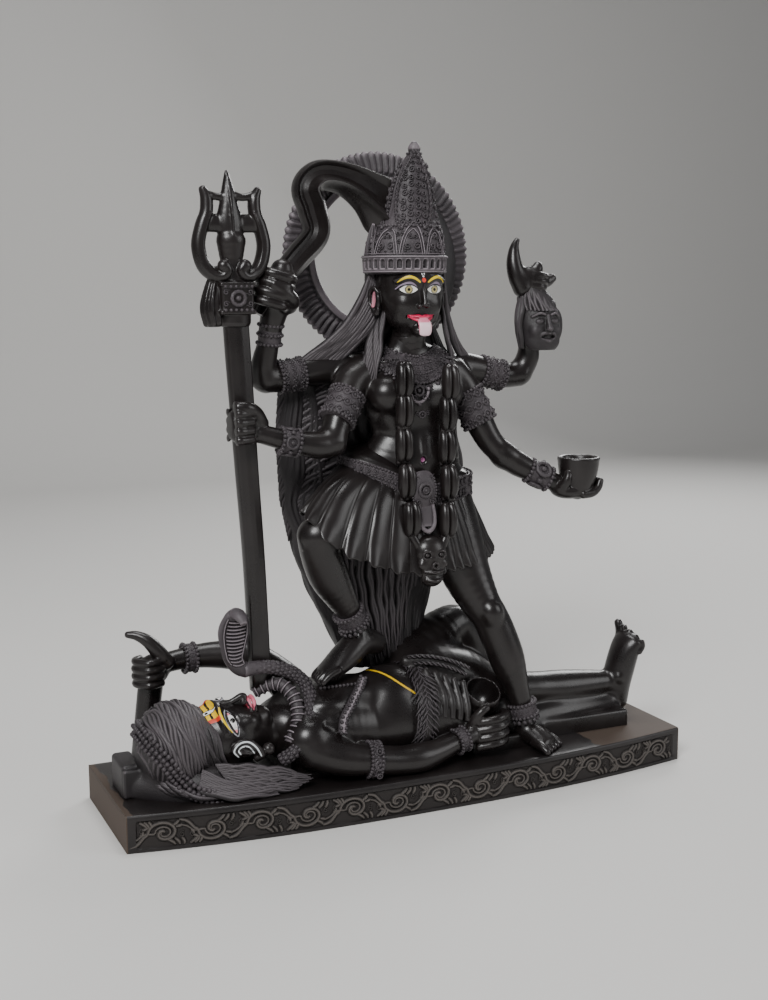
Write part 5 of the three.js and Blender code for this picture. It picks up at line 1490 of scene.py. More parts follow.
def crown():
    count = 30 * 12
    turns = turns_round(count)
    levels = np.concatenate([
        np.linspace(514, 518.4, 4), np.linspace(519.2, 529.2, 13), np.linspace(530, 534, 5),
        np.linspace(536, 638, 44), [639.4, 640.2]])
    rings = []
    for z in levels:
        x, half, thick = table_at(z, CROWN_OUTLINE)
        cell = np.abs(np.mod(turns * 30 / FULL_TURN + 0.5, 1.0) - 0.5) * 2
        top = np.clip((528.4 - 2.6 * np.clip(cell / 0.62, 0, 1) ** 2 - z) / 0.7, 0, 1)
        niche = np.clip((0.66 - cell) / 0.10, 0, 1) * top * np.clip((z - 519.6) / 0.8, 0, 1)
        fold = 0.0
        if z > 558:
            flank = np.clip(
                np.abs(np.mod(turns / FULL_TURN + 0.25 + 0.5, 1.0) - 0.5) * 360 - 50, 0, 30) / 30
            fold = 0.9 * flank * np.cos(turns * 26) * np.clip((636 - z) / 30, 0, 1)
        stand = fold - 3.4 * niche
        rings.append(np.stack([
            x + (half + stand) * np.cos(turns + CROWN_TURN), (thick + stand) * np.sin(turns + CROWN_TURN),
            np.full(count, z)], 1))
    joined("crown", [ring_mesh(rings)], carved)
    lines, curls, beads, flowers = [], [], [], []

    def out(a):
        return (math.cos(a + CROWN_TURN), math.sin(a + CROWN_TURN), 0.25)

    def leaf(z, a, side, size, lean):
        b = a + CROWN_TURN
        curls.append((
            crown_at(z, a, 0.5), out(a), (-math.sin(b) * side, math.cos(b) * side, lean),
            (size, size, 14)))

    for z, r, stand in ((516.4, 1.5, 0.2), (530.4, 1.5, 0.3), (533.4, 0.9, 0.3)):
        ring = [(*crown_at(z, a, stand), r) for a in np.linspace(0, FULL_TURN, 61)]
        lines.append((ring, [unit(np.array(p[:3]) - [4.8, 0, p[2]]) for p in ring]))
    for k in range(9):
        a = math.radians(-90 + 40 * (k - 4))
        tall = 29 if k == 4 else 24.5
        for share, r in ((1.0, 1.0), (0.80, 0.7)):
            arch = []
            for f in np.linspace(-1, 1, 17):
                z = 533.0 + tall * share * (1 - abs(f) ** 2.6) ** 0.75 + 0.8 * math.cos(9 * f)
                b = a + 0.33 * share * f * (1 - 0.2 * (1 - abs(f)))
                arch.append((*crown_at(z, b, 0.7), r))
            lines.append((arch, out(a)))
        leaf(540, a + 0.12, 1, 9.4, 0.5)
        leaf(540, a - 0.12, -1, 9.4, 0.5)
        leaf(549, a + 0.07, -1, 6.6, 0.9)
        leaf(549, a - 0.07, 1, 6.6, 0.9)
        flowers.append((crown_at(534.8 + tall * 0.9, a, 1.4), out(a), UP, (5.6, 5.6, 5)))
        b = a + math.radians(20)
        leaf(551.5, b + 0.06, 1, 6.6, 0.7)
        leaf(551.5, b - 0.06, -1, 6.6, 0.7)
        leaf(544.0, b, 1, 5.2, 1.4)
        beads.append((crown_at(557.5, b, 1.0), out(b), UP, 4.2))
    # leaves that climb the front, inside a rim on each side
    for side in (-1, 1):
        rim = [
            (*crown_at(z, math.radians(-90 + side * w), 0.8), 1)
            for z, w in ((557, 24), (566, 36), (580, 46), (595, 48), (610, 42), (622, 32), (630, 14))]
        for spot, _, along, _ in along_line(rim, 5.2, 1):
            curls.append((spot, unit(spot - [12, 0, spot[2] - 4]), along * side, (6.4, 6.4, 12)))
        lines.append(([(*(np.array(p[:3]) + [0, 0, 0.6]), 0.7) for p in rim], FRONT))
    for n, z in enumerate((562, 569, 576, 583, 590, 597, 604, 611, 618, 624)):
        reach = table_at(z, CROWN_OUTLINE)[1]
        size = 9.0 if z < 590 else (7.8 if z < 612 else 6.2)
        for side in (-1, 1):
            for step in range(1, 3 if reach > 15 else 2):
                a = math.radians(-90) + side * (step - 0.45) * size * 0.78 / reach
                leaf(z + 1.6 * (step % 2), a, side if (n + step) % 2 else -side, size, 1.0)
    for n, z in enumerate((562, 570, 578, 586, 594, 602, 609.5, 616.5)):
        reach = table_at(z, CROWN_OUTLINE)[1]
        size = 8.0 if z < 600 else 6.6
        count = int(FULL_TURN * reach * (244 / 360) / (size * 1.02))
        for k in range(count):
            a = math.radians(-90 + 58) + math.radians(244) * (k + 0.5) / count
            leaf(z, a, 1 if (k + n) % 2 else -1, size, 0.9)
    for z, apart in ((559.5, 3.4), (628.6, 2.6)):
        reach = table_at(z, CROWN_OUTLINE)[1]
        count = int(FULL_TURN * reach / apart)
        beads += [(crown_at(z, a, 0.8), out(a), UP, apart * 0.95) for a in turns_round(count)]
    for a in turns_round(36):
        beads.append((crown_at(535.6, a, 0.5), out(a), UP, 2.6))
    spire = [
        (-25, 4, 520, 7, 7), (-27.5, 3, 532, 6.6, 6.6), (-28.5, 3, 543, 5.2, 5.2), (-28, 3, 553, 3.4, 3.4),
        (-26.5, 3, 562, 1.2, 1.2)]
    section = [
        ((1 + 0.16 * math.cos(6 * a)) * math.cos(a), (1 + 0.16 * math.cos(6 * a)) * math.sin(a))
        for a in turns_round(30)]
    joined("crown_side_spire", [sweep(spire, section, 5)], carved)
    strands("crown_rims_and_arches", lines, carved, 1, 0.0, 0.95, 2.2)
    ornaments("crown_scrolls", SCROLL, curls, carved)
    ornaments("crown_beads", BEAD, beads, carved)
    ornaments("crown_flowers", ROSETTE, flowers, carved)


# Hair of the standing figure: a grooved mass behind the body, with locks laid over it
HAIR_LEVELS = [
    (486, -22, 40, 10, 36), (462, -48, 52, 8, 38), (440, -78, 66, 10, 40), (421, -105, 89, 14, 40),
    (404, -110, 90, 17, 42), (364, -113, 82, 20, 42), (330, -112, 88, 20, 42), (294, -110, 92, 20, 42),
    (238, -98, 68, 18, 42), (205, -86, 54, 16, 42), (165, -67, 44, 14, 40), (122, -46, 33, 12, 38)]


def hair_level(z):
    return table_at(z, HAIR_LEVELS[::-1])


def hair_spot(across, z, side, stand=0.0):
    """A point of the hair mass; across runs 0..1 from its left edge, side is -1 in front and 1 behind."""
    left, right, front, back = hair_level(z)
    edge = math.sin(math.pi * min(max(across, 0.0), 1.0)) ** 0.5
    y = back - (back - front) * edge * 0.9 - stand * edge if side < 0 else back + (3.0 + stand) * edge
    return np.array([left + (right - left) * across, y, z])


def hair_mass():
    count = 136
    rings = []
    for z in np.linspace(486, 120, 60):
        left, right, front, back = hair_level(z)
        middle, half = (left + right) / 2, (right - left) / 2
        ring = []
        for i in range(2 * count):
            turn = math.pi * (i + 0.5) / count
            u, s = -math.cos(turn), math.sin(turn)
            drift = 0.05 * math.sin(z / 26 + 3 * u) + 0.02 * math.sin(z / 11 + 7 * u)
            groove = math.cos(FULL_TURN * 19 * (u + drift))
            lock = math.cos(FULL_TURN * 4.5 * (u + 1.4 * drift) + 0.8)
            deep = 1.1 * groove + 1.5 * lock
            edge = abs(s) ** 0.5
            if s >= 0:
                y = back - (back - front) * 0.9 * edge - deep * edge
            else:
                y = back + 3.2 * edge + deep * edge * 0.9
            ragged = 1 + 0.012 * math.sin(z / 7.5 + 2 * (s > 0)) * abs(u) ** 6
            ring.append((middle + half * u * ragged, y, z))
        rings.append(ring)
    joined("hair_mass", [ring_mesh(rings)], hair_stone)
    clay = Clay((-50, -4, 440), (84, 62, 606), 1.5)
    clay.egg((10, 22, 510), (37, 21, 50), 0)
    clay.limb([
        (20, 30, 470, 30, 11), (38, 34, 500, 36, 12), (42, 35, 536, 35, 12), (34, 34, 570, 26, 11),
        (24, 33, 588, 14, 9)], 8)
    clay.limb([(8, 28, 450, 44, 10), (8, 26, 480, 38, 14)], 6)
    stone_piece("hair_behind_the_head", clay, hair_stone, 10000)


def waved(rows, count, sway, phase, across):
    """A strand path through rows [x, y, z, half thickness] with small waves across it."""
    fine = smooth_rows(rows, count)
    share = np.linspace(0, 1, len(fine))
    run = run_along(fine[:, :3])
    fine[:, :3] += np.outer(sway * np.sin(run / 5.2 + phase) * np.sin(math.pi * share) ** 0.5, unit(across))
    return fine


def hair_locks():
    paths = []
    rng = np.random.default_rng(11)
    for k in range(22):
        f = k / 21
        j = rng.uniform(-1, 1, 4)
        rows = [
            (-28 + 9 * f, 4 - 2 * f, 520 - 38 * f, 1.6),
            (-41 + 13 * f, 4 - 2 * f + 0.9 * j[0], 490 - 25 * f, 3.0),
            (-62 + 18 * f, 1 + 2 * f, 462 - 13 * f + j[1], 3.2),
            (-90 + 26 * f, 10 - f, 438 - 9 * f + j[2], 2.9),
            (-115 + 38 * f + 2 * j[3], 20 - 6 * f, 421 - 5 * f, 1.0)]
        paths.append((waved(rows, 7, 0.9, 6.3 * f * 3, (0.5, 0, 0.8)), (-0.35, -0.9, 0.25)))
    for k in range(14):
        f = k / 13
        j = rng.uniform(-1, 1, 4)
        rows = [
            (43, -9 + 8 * f, 516 - 22 * f, 1.6), (47 + 4 * f, -5 + 3 * f, 488 - 14 * f, 2.8),
            (55 + 8 * f, 0 + 4 * f, 460 - 8 * f + j[1], 3.0),
            (68 + 12 * f, 8 + 4 * f, 438 - 4 * f + j[2], 2.6), (86 + 12 * f, 15 + 3 * f, 421 + j[3], 1.0)]
        paths.append((waved(rows, 7, 0.8, 5 * f * 3, (-0.5, 0, 0.8)), (0.35, -0.9, 0.2)))
    for k in range(9):
        f = k / 8
        rows = [
            (-20 - 4 * f, -8 + 5 * f, 480 - 6 * f, 1.5), (-26 - 7 * f, -14 + 7 * f, 458, 2.6),
            (-32 - 12 * f, -19 + 9 * f, 432 - 2 * f, 2.3), (-36 - 15 * f, -20 + 9 * f, 410 + 5 * f, 0.8)]
        paths.append((waved(rows, 7, 0.8, 4 * f * 3, (1, 0, 0.2)), (-0.3, -0.95, 0)))
    for k in range(6):
        f = k / 5
        rows = [
            (40 + 2 * f, -12 + 6 * f, 484 - 5 * f, 1.4), (43 + 4 * f, -14 + 8 * f, 460, 2.3),
            (48 + 6 * f, -13 + 9 * f, 440, 1.9), (54 + 8 * f, -12 + 10 * f, 424, 0.8)]
        paths.append((waved(rows, 7, 0.7, 4 * f * 3, (1, 0, 0.2)), (0.3, -0.95, 0)))
    strands("hair_front_locks", paths, hair_stone, 3, 0.17, 0.75, 2.6)
    paths = []
    # locks that sweep down to the left edge, behind the arms and the waist
    for k in range(27):
        z = 458 - 5.9 * k
        j = rng.uniform(-1, 1, 3)
        rows, facing = [], []
        for f in np.linspace(0, 1, 14):
            across = 0.34 * (1 - f) ** 2 + 0.004 * j[0] * (1 - f)
            edge = math.sin(math.pi * across) ** 0.5
            spot = hair_spot(across, z - 54 * f**1.3 + 1.2 * j[1] + 1.6 * math.sin(9 * f + 1.9 * k), -1, 2.2)
            spot[0] -= 2.0 * (1 - edge)
            rows.append((*spot, 0.8 + 2.5 * math.sin(math.pi * min(1, max(0.07, f * 1.03))) ** 0.5))
            facing.append(unit((edge - 1.15, -edge - 0.1, 0)))
        paths.append((rows, facing))
    # long locks down the mass, in front and behind
    for side, count in ((-1, 30), (1, 26)):
        for k in range(count):
            across = 0.03 + 0.94 * k / (count - 1)
            j = rng.uniform(-1, 1, 3)
            top = 318 + 14 * j[0] if side < 0 else 452 - 60 * abs(across - 0.52) + 8 * j[0]
            low = 124 + 92 * abs(across - 0.42) ** 1.1 + 7 * j[1]
            rows = []
            for f in np.linspace(0, 1, 6):
                spot = hair_spot(
                    across + 0.012 * math.sin(5 * f + 2 * j[2]), top + (low - top) * f, side, 1.6)
                rows.append((*spot, (1.2, 3.2, 3.4, 3.2, 2.6, 0.7)[int(round(f * 5))]))
            paths.append((waved(rows, 7, 1.0, 1.7 * k, (1, 0, 0)), (0, side, 0)))
    strands("hair_long_locks", paths, hair_stone, 3, 0.17, 0.7, 7.0)


# Bands round the arms and ankles: a sleeve, a row of beads at each rim and flowers between
def limb_bands():
    sleeves, beads, flowers, drops = [], [], [], []
    bands = [
        ((-120, 18, 417), (-96, 18, 420), 15.0, 14.4, 3, 3.9),
        ((-132, 9.5, 449), (-131, 7, 467), 10.9, 11.4, 0, 4.0),
        ((-60, -10.5, 401), (-76, -20, 377), 16.8, 16.2, 3, 3.9),
        ((-135, -25.6, 361), (-118, -26.4, 358), 11.8, 12.0, 1, 4.2),
        ((99, 18, 417.6), (124, 20, 412), 14.8, 14.2, 3, 3.9),
        ((70, -3, 398), (84, -11, 367), 16.8, 15.8, 3, 3.9),
        ((130, -29.5, 319), (150, -35.5, 309), 11.4, 11.8, 1, 4.4),
        ((-63, -14, 188), (-56, -12, 177), 14.4, 15.0, 0, 4.2),
        ((119, -39, 80), (121.6, -40, 67), 14.2, 15.0, 0, 4.2),
        ((-64.5, -64.6, 54), (-54, -66, 53), 16.4, 17.0, 1, 4.0),
        ((33, -60, 56), (43, -58.6, 58), 12.0, 12.2, 0, 4.0),
        ((-207, 65, 138), (-196, 65, 138), 13.6, 13.8, 0, 4.2)]
    for a, b, half, thick, rows, size in bands:
        a, b = np.array(a, float), np.array(b, float)
        axis = b - a
        sleeves.append(sweep([
            (*a, half - 1.4, thick - 1.4), (*(a + 0.06 * axis), half, thick),
            (*(a + 0.94 * axis), half, thick), (*b, half - 1.4, thick - 1.4)], round_section(26), 3))
        count = int(FULL_TURN * (half + thick) / 2 / (size * 0.92))
        for share in (0.02, 0.98) if rows or np.linalg.norm(axis) < 16 else (0.02, 0.5, 0.98):
            beads += round_limb(a + axis * share, axis, half + 0.4, thick + 0.4, count, size, phase=share)
        if rows:
            wide = np.linalg.norm(axis) / rows * 0.86
            for row in range(rows):
                count = int(FULL_TURN * half / wide)
                flowers += round_limb(
                    a + axis * (row + 0.5) / rows, axis, half + 0.2, thick + 0.2, count,
                    (wide, wide, wide * 0.75), phase=0.5 * row)
                beads += round_limb(
                    a + axis * (row + 0.5) / rows, axis, half + 1.2, thick + 1.2, count, wide * 0.34,
                    phase=0.5 * row + 0.5)
        else:
            flowers += round_limb(
                a + axis * 0.5, axis, half, thick, int(count * 0.62), (size * 1.5, size * 1.2, size),
                phase=0.2)
    for foot, half, thick, axis in (
            ((-55.5, -12, 173.5), 15.6, 16.2, (7, 2, -11)), ((121.8, -40, 63), 15.4, 16.2, (2.6, -1, -13))):
        drops += round_limb(foot, axis, half, thick, 17, (5.4, 4.6, 3.2))
    joined("limb_band_sleeves", sleeves, carved, 50)
    ornaments("limb_band_beads", BEAD, beads, carved)
    ornaments("limb_band_flowers", ROSETTE, flowers, carved)
    ornaments("anklet_drops", BEAD, drops, carved)


# Necklace laid on the breast, belt laid round the skirt's top, both like lace, with a plaque and a plate
NECKLACE = [
    (-31, 446), (-29, 441.5), (-24, 435.5), (-15, 429.5), (-3, 424.5), (8, 422.5), (20, 424.5), (30, 429.5),
    (37, 435.5), (41, 441.5), (43, 446)]
BELT_CENTRE = (2, -2)


def lace(rows, half, lift=1.5):
    """A thin band over rows of (middle, across, outward)."""
    rings = []
    for middle, across, out in rows:
        ring = [
            middle + across * w + out * h
            for w, h in (
                (-half - 0.5, -1.4), (-half, lift * 0.5), (-half * 0.5, lift), (0, lift),
                (half * 0.5, lift), (half, lift * 0.5), (half + 0.5, -1.4), (0, -2.4))]
        rings.append(ring)
    return ring_mesh(rings)


def smooth_rings(rings):
    """Evens out the jumps from ring to ring, where the skin below turns away steeply."""
    rings = np.asarray(rings, float)
    for _ in range(3):
        rings[1:-1] = rings[1:-1] * 0.5 + (rings[:-2] + rings[2:]) * 0.25
    return rings


def necklace_and_belt(skin):
    parts, beads, curls, flowers = [], [], [], []
    fine = smooth_rows(np.array(NECKLACE, float), 7)
    ahead = np.gradient(fine, axis=0)
    across = np.stack([ahead[:, 1], -ahead[:, 0]], 1) / np.linalg.norm(ahead, axis=1)[:, None]

    def laid(share, w, lift):
        k = share * (len(fine) - 1)
        w *= 0.3 + 0.7 * math.sin(math.pi * share) ** 0.6
        spot = [
            np.interp(k, np.arange(len(fine)), fine[:, i]) + w * np.interp(
                k, np.arange(len(fine)), across[:, i]) for i in (0, 1)]
        return skin.front(*spot, lift)

    section = [
        (-13.8, -1.6), (-13.2, 0.8), (-9, 1.5), (-4.5, 1.5), (0, 1.5), (4.5, 1.5), (9, 1.5), (13.2, 0.8),
        (13.8, -1.6), (7, -3), (0, -3), (-7, -3)]
    rings = [[laid(share, w, lift)[0] for w, lift in section] for share in np.linspace(0.04, 0.96, 72)]
    parts.append(ring_mesh(smooth_rings(rings)))
    for w, apart in ((-13.0, 3.3), (-4.6, 3.0), (4.2, 3.0), (13.0, 3.3)):
        count = int((118 + 2.4 * w) / apart)
        beads += [(*laid((k + 0.5) / count, w, 1.5), UP, apart * 0.98) for k in range(count)]
    for w, count in ((-8.8, 15), (-0.2, 17), (8.6, 19)):
        for k in range(count):
            spot, out = laid((k + 0.5) / count, w, 1.4)
            near, _ = laid((k + 0.6) / count, w, 1.4)
            curls.append((spot, out, (near - spot) * (1 if k % 2 else -1), (8.2, 8.2, 12)))
    for k in range(24):
        beads.append((*laid((k + 0.5) / 24, 16.4, 0.8), UP, (3.4, 5.4, 3.0)))
    for x, z, size, turn in (
            (6, 403, 13, 0), (-4, 404.5, 9.5, -1), (16, 405, 9.5, 1), (0.5, 396.5, 9, -1),
            (11.5, 396.5, 9, 1)):
        spot, out = skin.front(x, z, 1.6)
        if turn:
            curls.append((spot, out, (turn, 0, -0.9), (size, size, 9)))
        else:
            flowers.append((spot, out, UP, (size, size, 9)))
    loop = []
    for x, z in ((-4.5, 406), (-3.6, 400), (0, 394.5), (5.6, 392), (11.4, 394.5), (15.4, 400), (16.6, 406)):
        loop.append((*skin.front(x, z, 1.0)[0], 1.5))
    parts.append(sweep(loop, round_section(8), 5))
    beads.append((*skin.front(5.8, 390.2, 1.6), UP, 4.2))
    spot, out = skin.front(9.5, 380, 1.0)
    flowers.append((spot, out, UP, (8.5, 8.5, 8)))
    curls += [
        (skin.front(9.5 + 5.4 * side, 381, 0.8)[0], out, (side, 0, 0.5), (6.5, 6.5, 7)) for side in (-1, 1)]

    # the belt's line round the hips
    def belt(turn, z=0.0, lift=0.0):
        c, s = math.cos(turn), math.sin(turn)
        middle = 313.5 - 11 * c + 8.5 * s + 6.5 * c * c
        reach = 66.0 * 36.6 / math.hypot(36.6 * c, 66.0 * s)
        seen = max(skin.reach((*BELT_CENTRE, middle + h), turn) for h in (-3, 8))
        reach = max(reach, min(seen + 1.6, reach + 6))
        out = unit((c / 66.0, s / 36.6, 0))
        return np.array([
            BELT_CENTRE[0] + reach * c, BELT_CENTRE[1] + reach * s, middle + z]) + out * lift, out

    turns = np.radians(np.linspace(-270, 90, 121))
    parts.append(lace([(belt(t)[0], np.array([0, 0, -1.0]), belt(t)[1]) for t in turns], 10.0, 1.5))
    # the hips rise from the belt to the waist
    around = np.radians(np.arange(0, 360, 4))
    hips = []
    for size, z in ((0.9, -9), (0.98, -7), (0.98, 8.5), (0.95, 11.5), (0.86, 14.5), (0.7, 17), (0.5, 19)):
        hips.append([
            np.array([BELT_CENTRE[0], BELT_CENTRE[1], 0]) * (1 - size) + belt(t, z)[0] * (size, size, 1)
            for t in around])
    joined("hips_at_the_belt", [ring_mesh(hips)], polished, 60)
    front_turns = np.radians(np.linspace(-208, 24, 200))
    places = np.array([belt(t)[0] for t in front_turns])
    run = run_along(places)

    def row(z, apart, size, lift, phase=0.0):
        count = int(run[-1] / apart)
        found = [np.interp((k + 0.5 + phase) * run[-1] / count, run, front_turns) for k in range(count)]
        return [(*belt(t, z, lift), (-math.sin(t), math.cos(t), 0), size) for t in found]

    for z in (-9.8, 0.1, 9.8):
        beads += row(z, 3.4, 3.2 if z else 2.4, 1.6)
    flowers += row(-5.0, 7.2, (6.6, 6.6, 6), 1.6)
    flowers += row(5.0, 7.2, (6.6, 6.6, 6), 1.6, 0.5)
    # plaque with a ring, and the plate that hangs under it
    parts.append(sweep([
        (4, -38.5, 324, 9, 4), (4.2, -41.5, 320, 12, 5), (4.3, -43.5, 309, 13.4, 5.5),
        (4.8, -43.5, 298, 11.4, 5), (5.2, -42.6, 292, 7, 4)], round_section(16), 4))
    flowers.append(((4.3, -49.0, 308.5), FRONT, UP, (17, 17, 13)))
    flowers.append(((4.3, -50.2, 308.5), FRONT, UP, (7.5, 7.5, 8)))
    for side in (-1, 1):
        curls.append(((4.2 + side * 7, -45.6, 319.5), FRONT, (side, 0, 0.5), 8.5))
        curls.append(((4.6 + side * 7, -48.2, 297.5), FRONT, (side, 0, -0.5), 8.5))
        beads += along_line([
            (4.2 + side * 11.6, -43.5, 319, 1), (4.3 + side * 13.2, -45, 308, 1),
            (4.7 + side * 10.6, -45.6, 296, 1)], 3.0, 3.0)
    plate = [
        (-1.0, -45, 294, 1.7), (-2.0, -47.6, 284, 1.9), (-0.6, -50, 274, 2.0), (6.2, -51.6, 268.6, 2.2),
        (13.0, -50, 274, 2.0), (14.6, -47.6, 284, 1.9), (13.8, -45, 294, 1.7)]
    parts.append(sweep(plate, round_section(8), 5))
    parts.append(sweep([
        (6.2, -42.5, 296, 8, 3), (6.2, -45.2, 285, 8.4, 3),
        (6.2, -48, 273, 6.6, 3)], round_section(12), 4))
    joined("necklace_and_belt", parts, carved, 60)
    ornaments("necklace_and_belt_beads", BEAD, beads, carved)
    ornaments("necklace_and_belt_scrolls", SCROLL, curls, carved)
    ornaments("necklace_and_belt_flowers", ROSETTE, flowers, carved)


GARLAND_LEFT = [(-14, 415), (-13, 386), (-12.6, 352), (-12.4, 317), (-10, 281)]
GARLAND_RIGHT = [(35, 411), (33.5, 381), (33, 348), (33, 314), (29, 278)]


def garland():
    parts = []
    for column in (GARLAND_LEFT, GARLAND_RIGHT):
        for k, (x, z) in enumerate(column):
            y = (-38.5, -36.5, -34.5, -40.5, -46.5)[k]
            for shift in (-4.1, 4.1):
                parts.append(sweep([
                    (x + shift * 0.55, y + 1.5, z + 15.6, 2.0, 2.4),
                    (x + shift * 0.8, y - 0.5, z + 13.4, 4.2, 5), (x + shift, y - 2, z + 7, 4.6, 6.6),
                    (x + shift * 1.04, y - 2.4, z - 1, 4.8, 7), (x + shift, y - 2, z - 9, 4.5, 6.4),
                    (x + shift * 0.8, y, z - 14, 3.6, 4.8),
                    (x + shift * 0.55, y + 1.5, z - 15.6, 1.8, 2.2)], round_section(14), 3))
            parts.append(sweep([
                (x - 6.6, y + 1, z - 15.8, 3.0, 3.4), (x, y + 0.2, z - 16.2, 3.4, 3.8),
                (x + 6.6, y + 1, z - 15.8, 3.0, 3.4)], round_section(10), 3, UP))
    for (x, z), far in ((GARLAND_LEFT[-1], 0), (GARLAND_RIGHT[-1], 18)):
        parts.append(sweep([
            (x, -45, z - 14, 4.5, 5), ((x + far) / 2, -47.5, z - 24, 4.6, 5),
            (far, -48.5, z - 32, 4.2, 4.6)], round_section(12), 4))
    joined("garland", parts, polished)
    x0 = 9.0
    clay = Clay((-18, -76, 206), (36, -24, 276), 0.8)
    clay.egg((x0, -47, 248), (17.4, 13.5, 17), 0)
    clay.limb([
        (x0, -49, 240, 14.5, 11), (x0, -51.5, 230, 12.5, 10), (x0, -53, 221, 11.4, 8.5)], 4, blunt=0.4)
    for side in (-1, 1):
        x = x0 + side * 7.4
        clay.egg((x, -60.2, 246.5), (5.2, 3.6, 4.4), 1.2, cut=True)
        clay.limb([
            (x + 4.6 * math.cos(a), -59.6 + 0.5 * abs(math.cos(a)), 246.5 + 3.9 * math.sin(a), 1.1)
            for a in np.linspace(0, FULL_TURN, 11)], 0.6, per_span=2)
        clay.egg((x, -58.4, 246.5), (2.4, 2.0, 2.2), 0.5)
        clay.egg((x0 + side * 11.2, -55.2, 237), (4.4, 4.2, 4.8), 3)
    clay.limb([
        (x0 + 2.9 * math.cos(a), -62.2, 236.6 + 2.8 * math.sin(a), 1.2)
        for a in np.linspace(0, FULL_TURN, 9)], 0.6, per_span=2)
    clay.limb([
        (x0 - 9, -59.2, 227.4, 1.5), (x0, -63, 226.2, 1.9), (x0 + 9, -59.2, 227.4, 1.5)], 0.8, cut=True)
    clay.limb([(x0 - 10, -58.2, 230.8, 1.3), (x0, -62.8, 230, 1.7), (x0 + 10, -58.2, 230.8, 1.3)], 1)
    clay.limb([(x0 - 8.6, -58.2, 222.8, 1.5), (x0, -62.2, 221.4, 2.0), (x0 + 8.6, -58.2, 222.8, 1.5)], 1)
    stone_piece("skull_pendant", clay, polished, 14000)


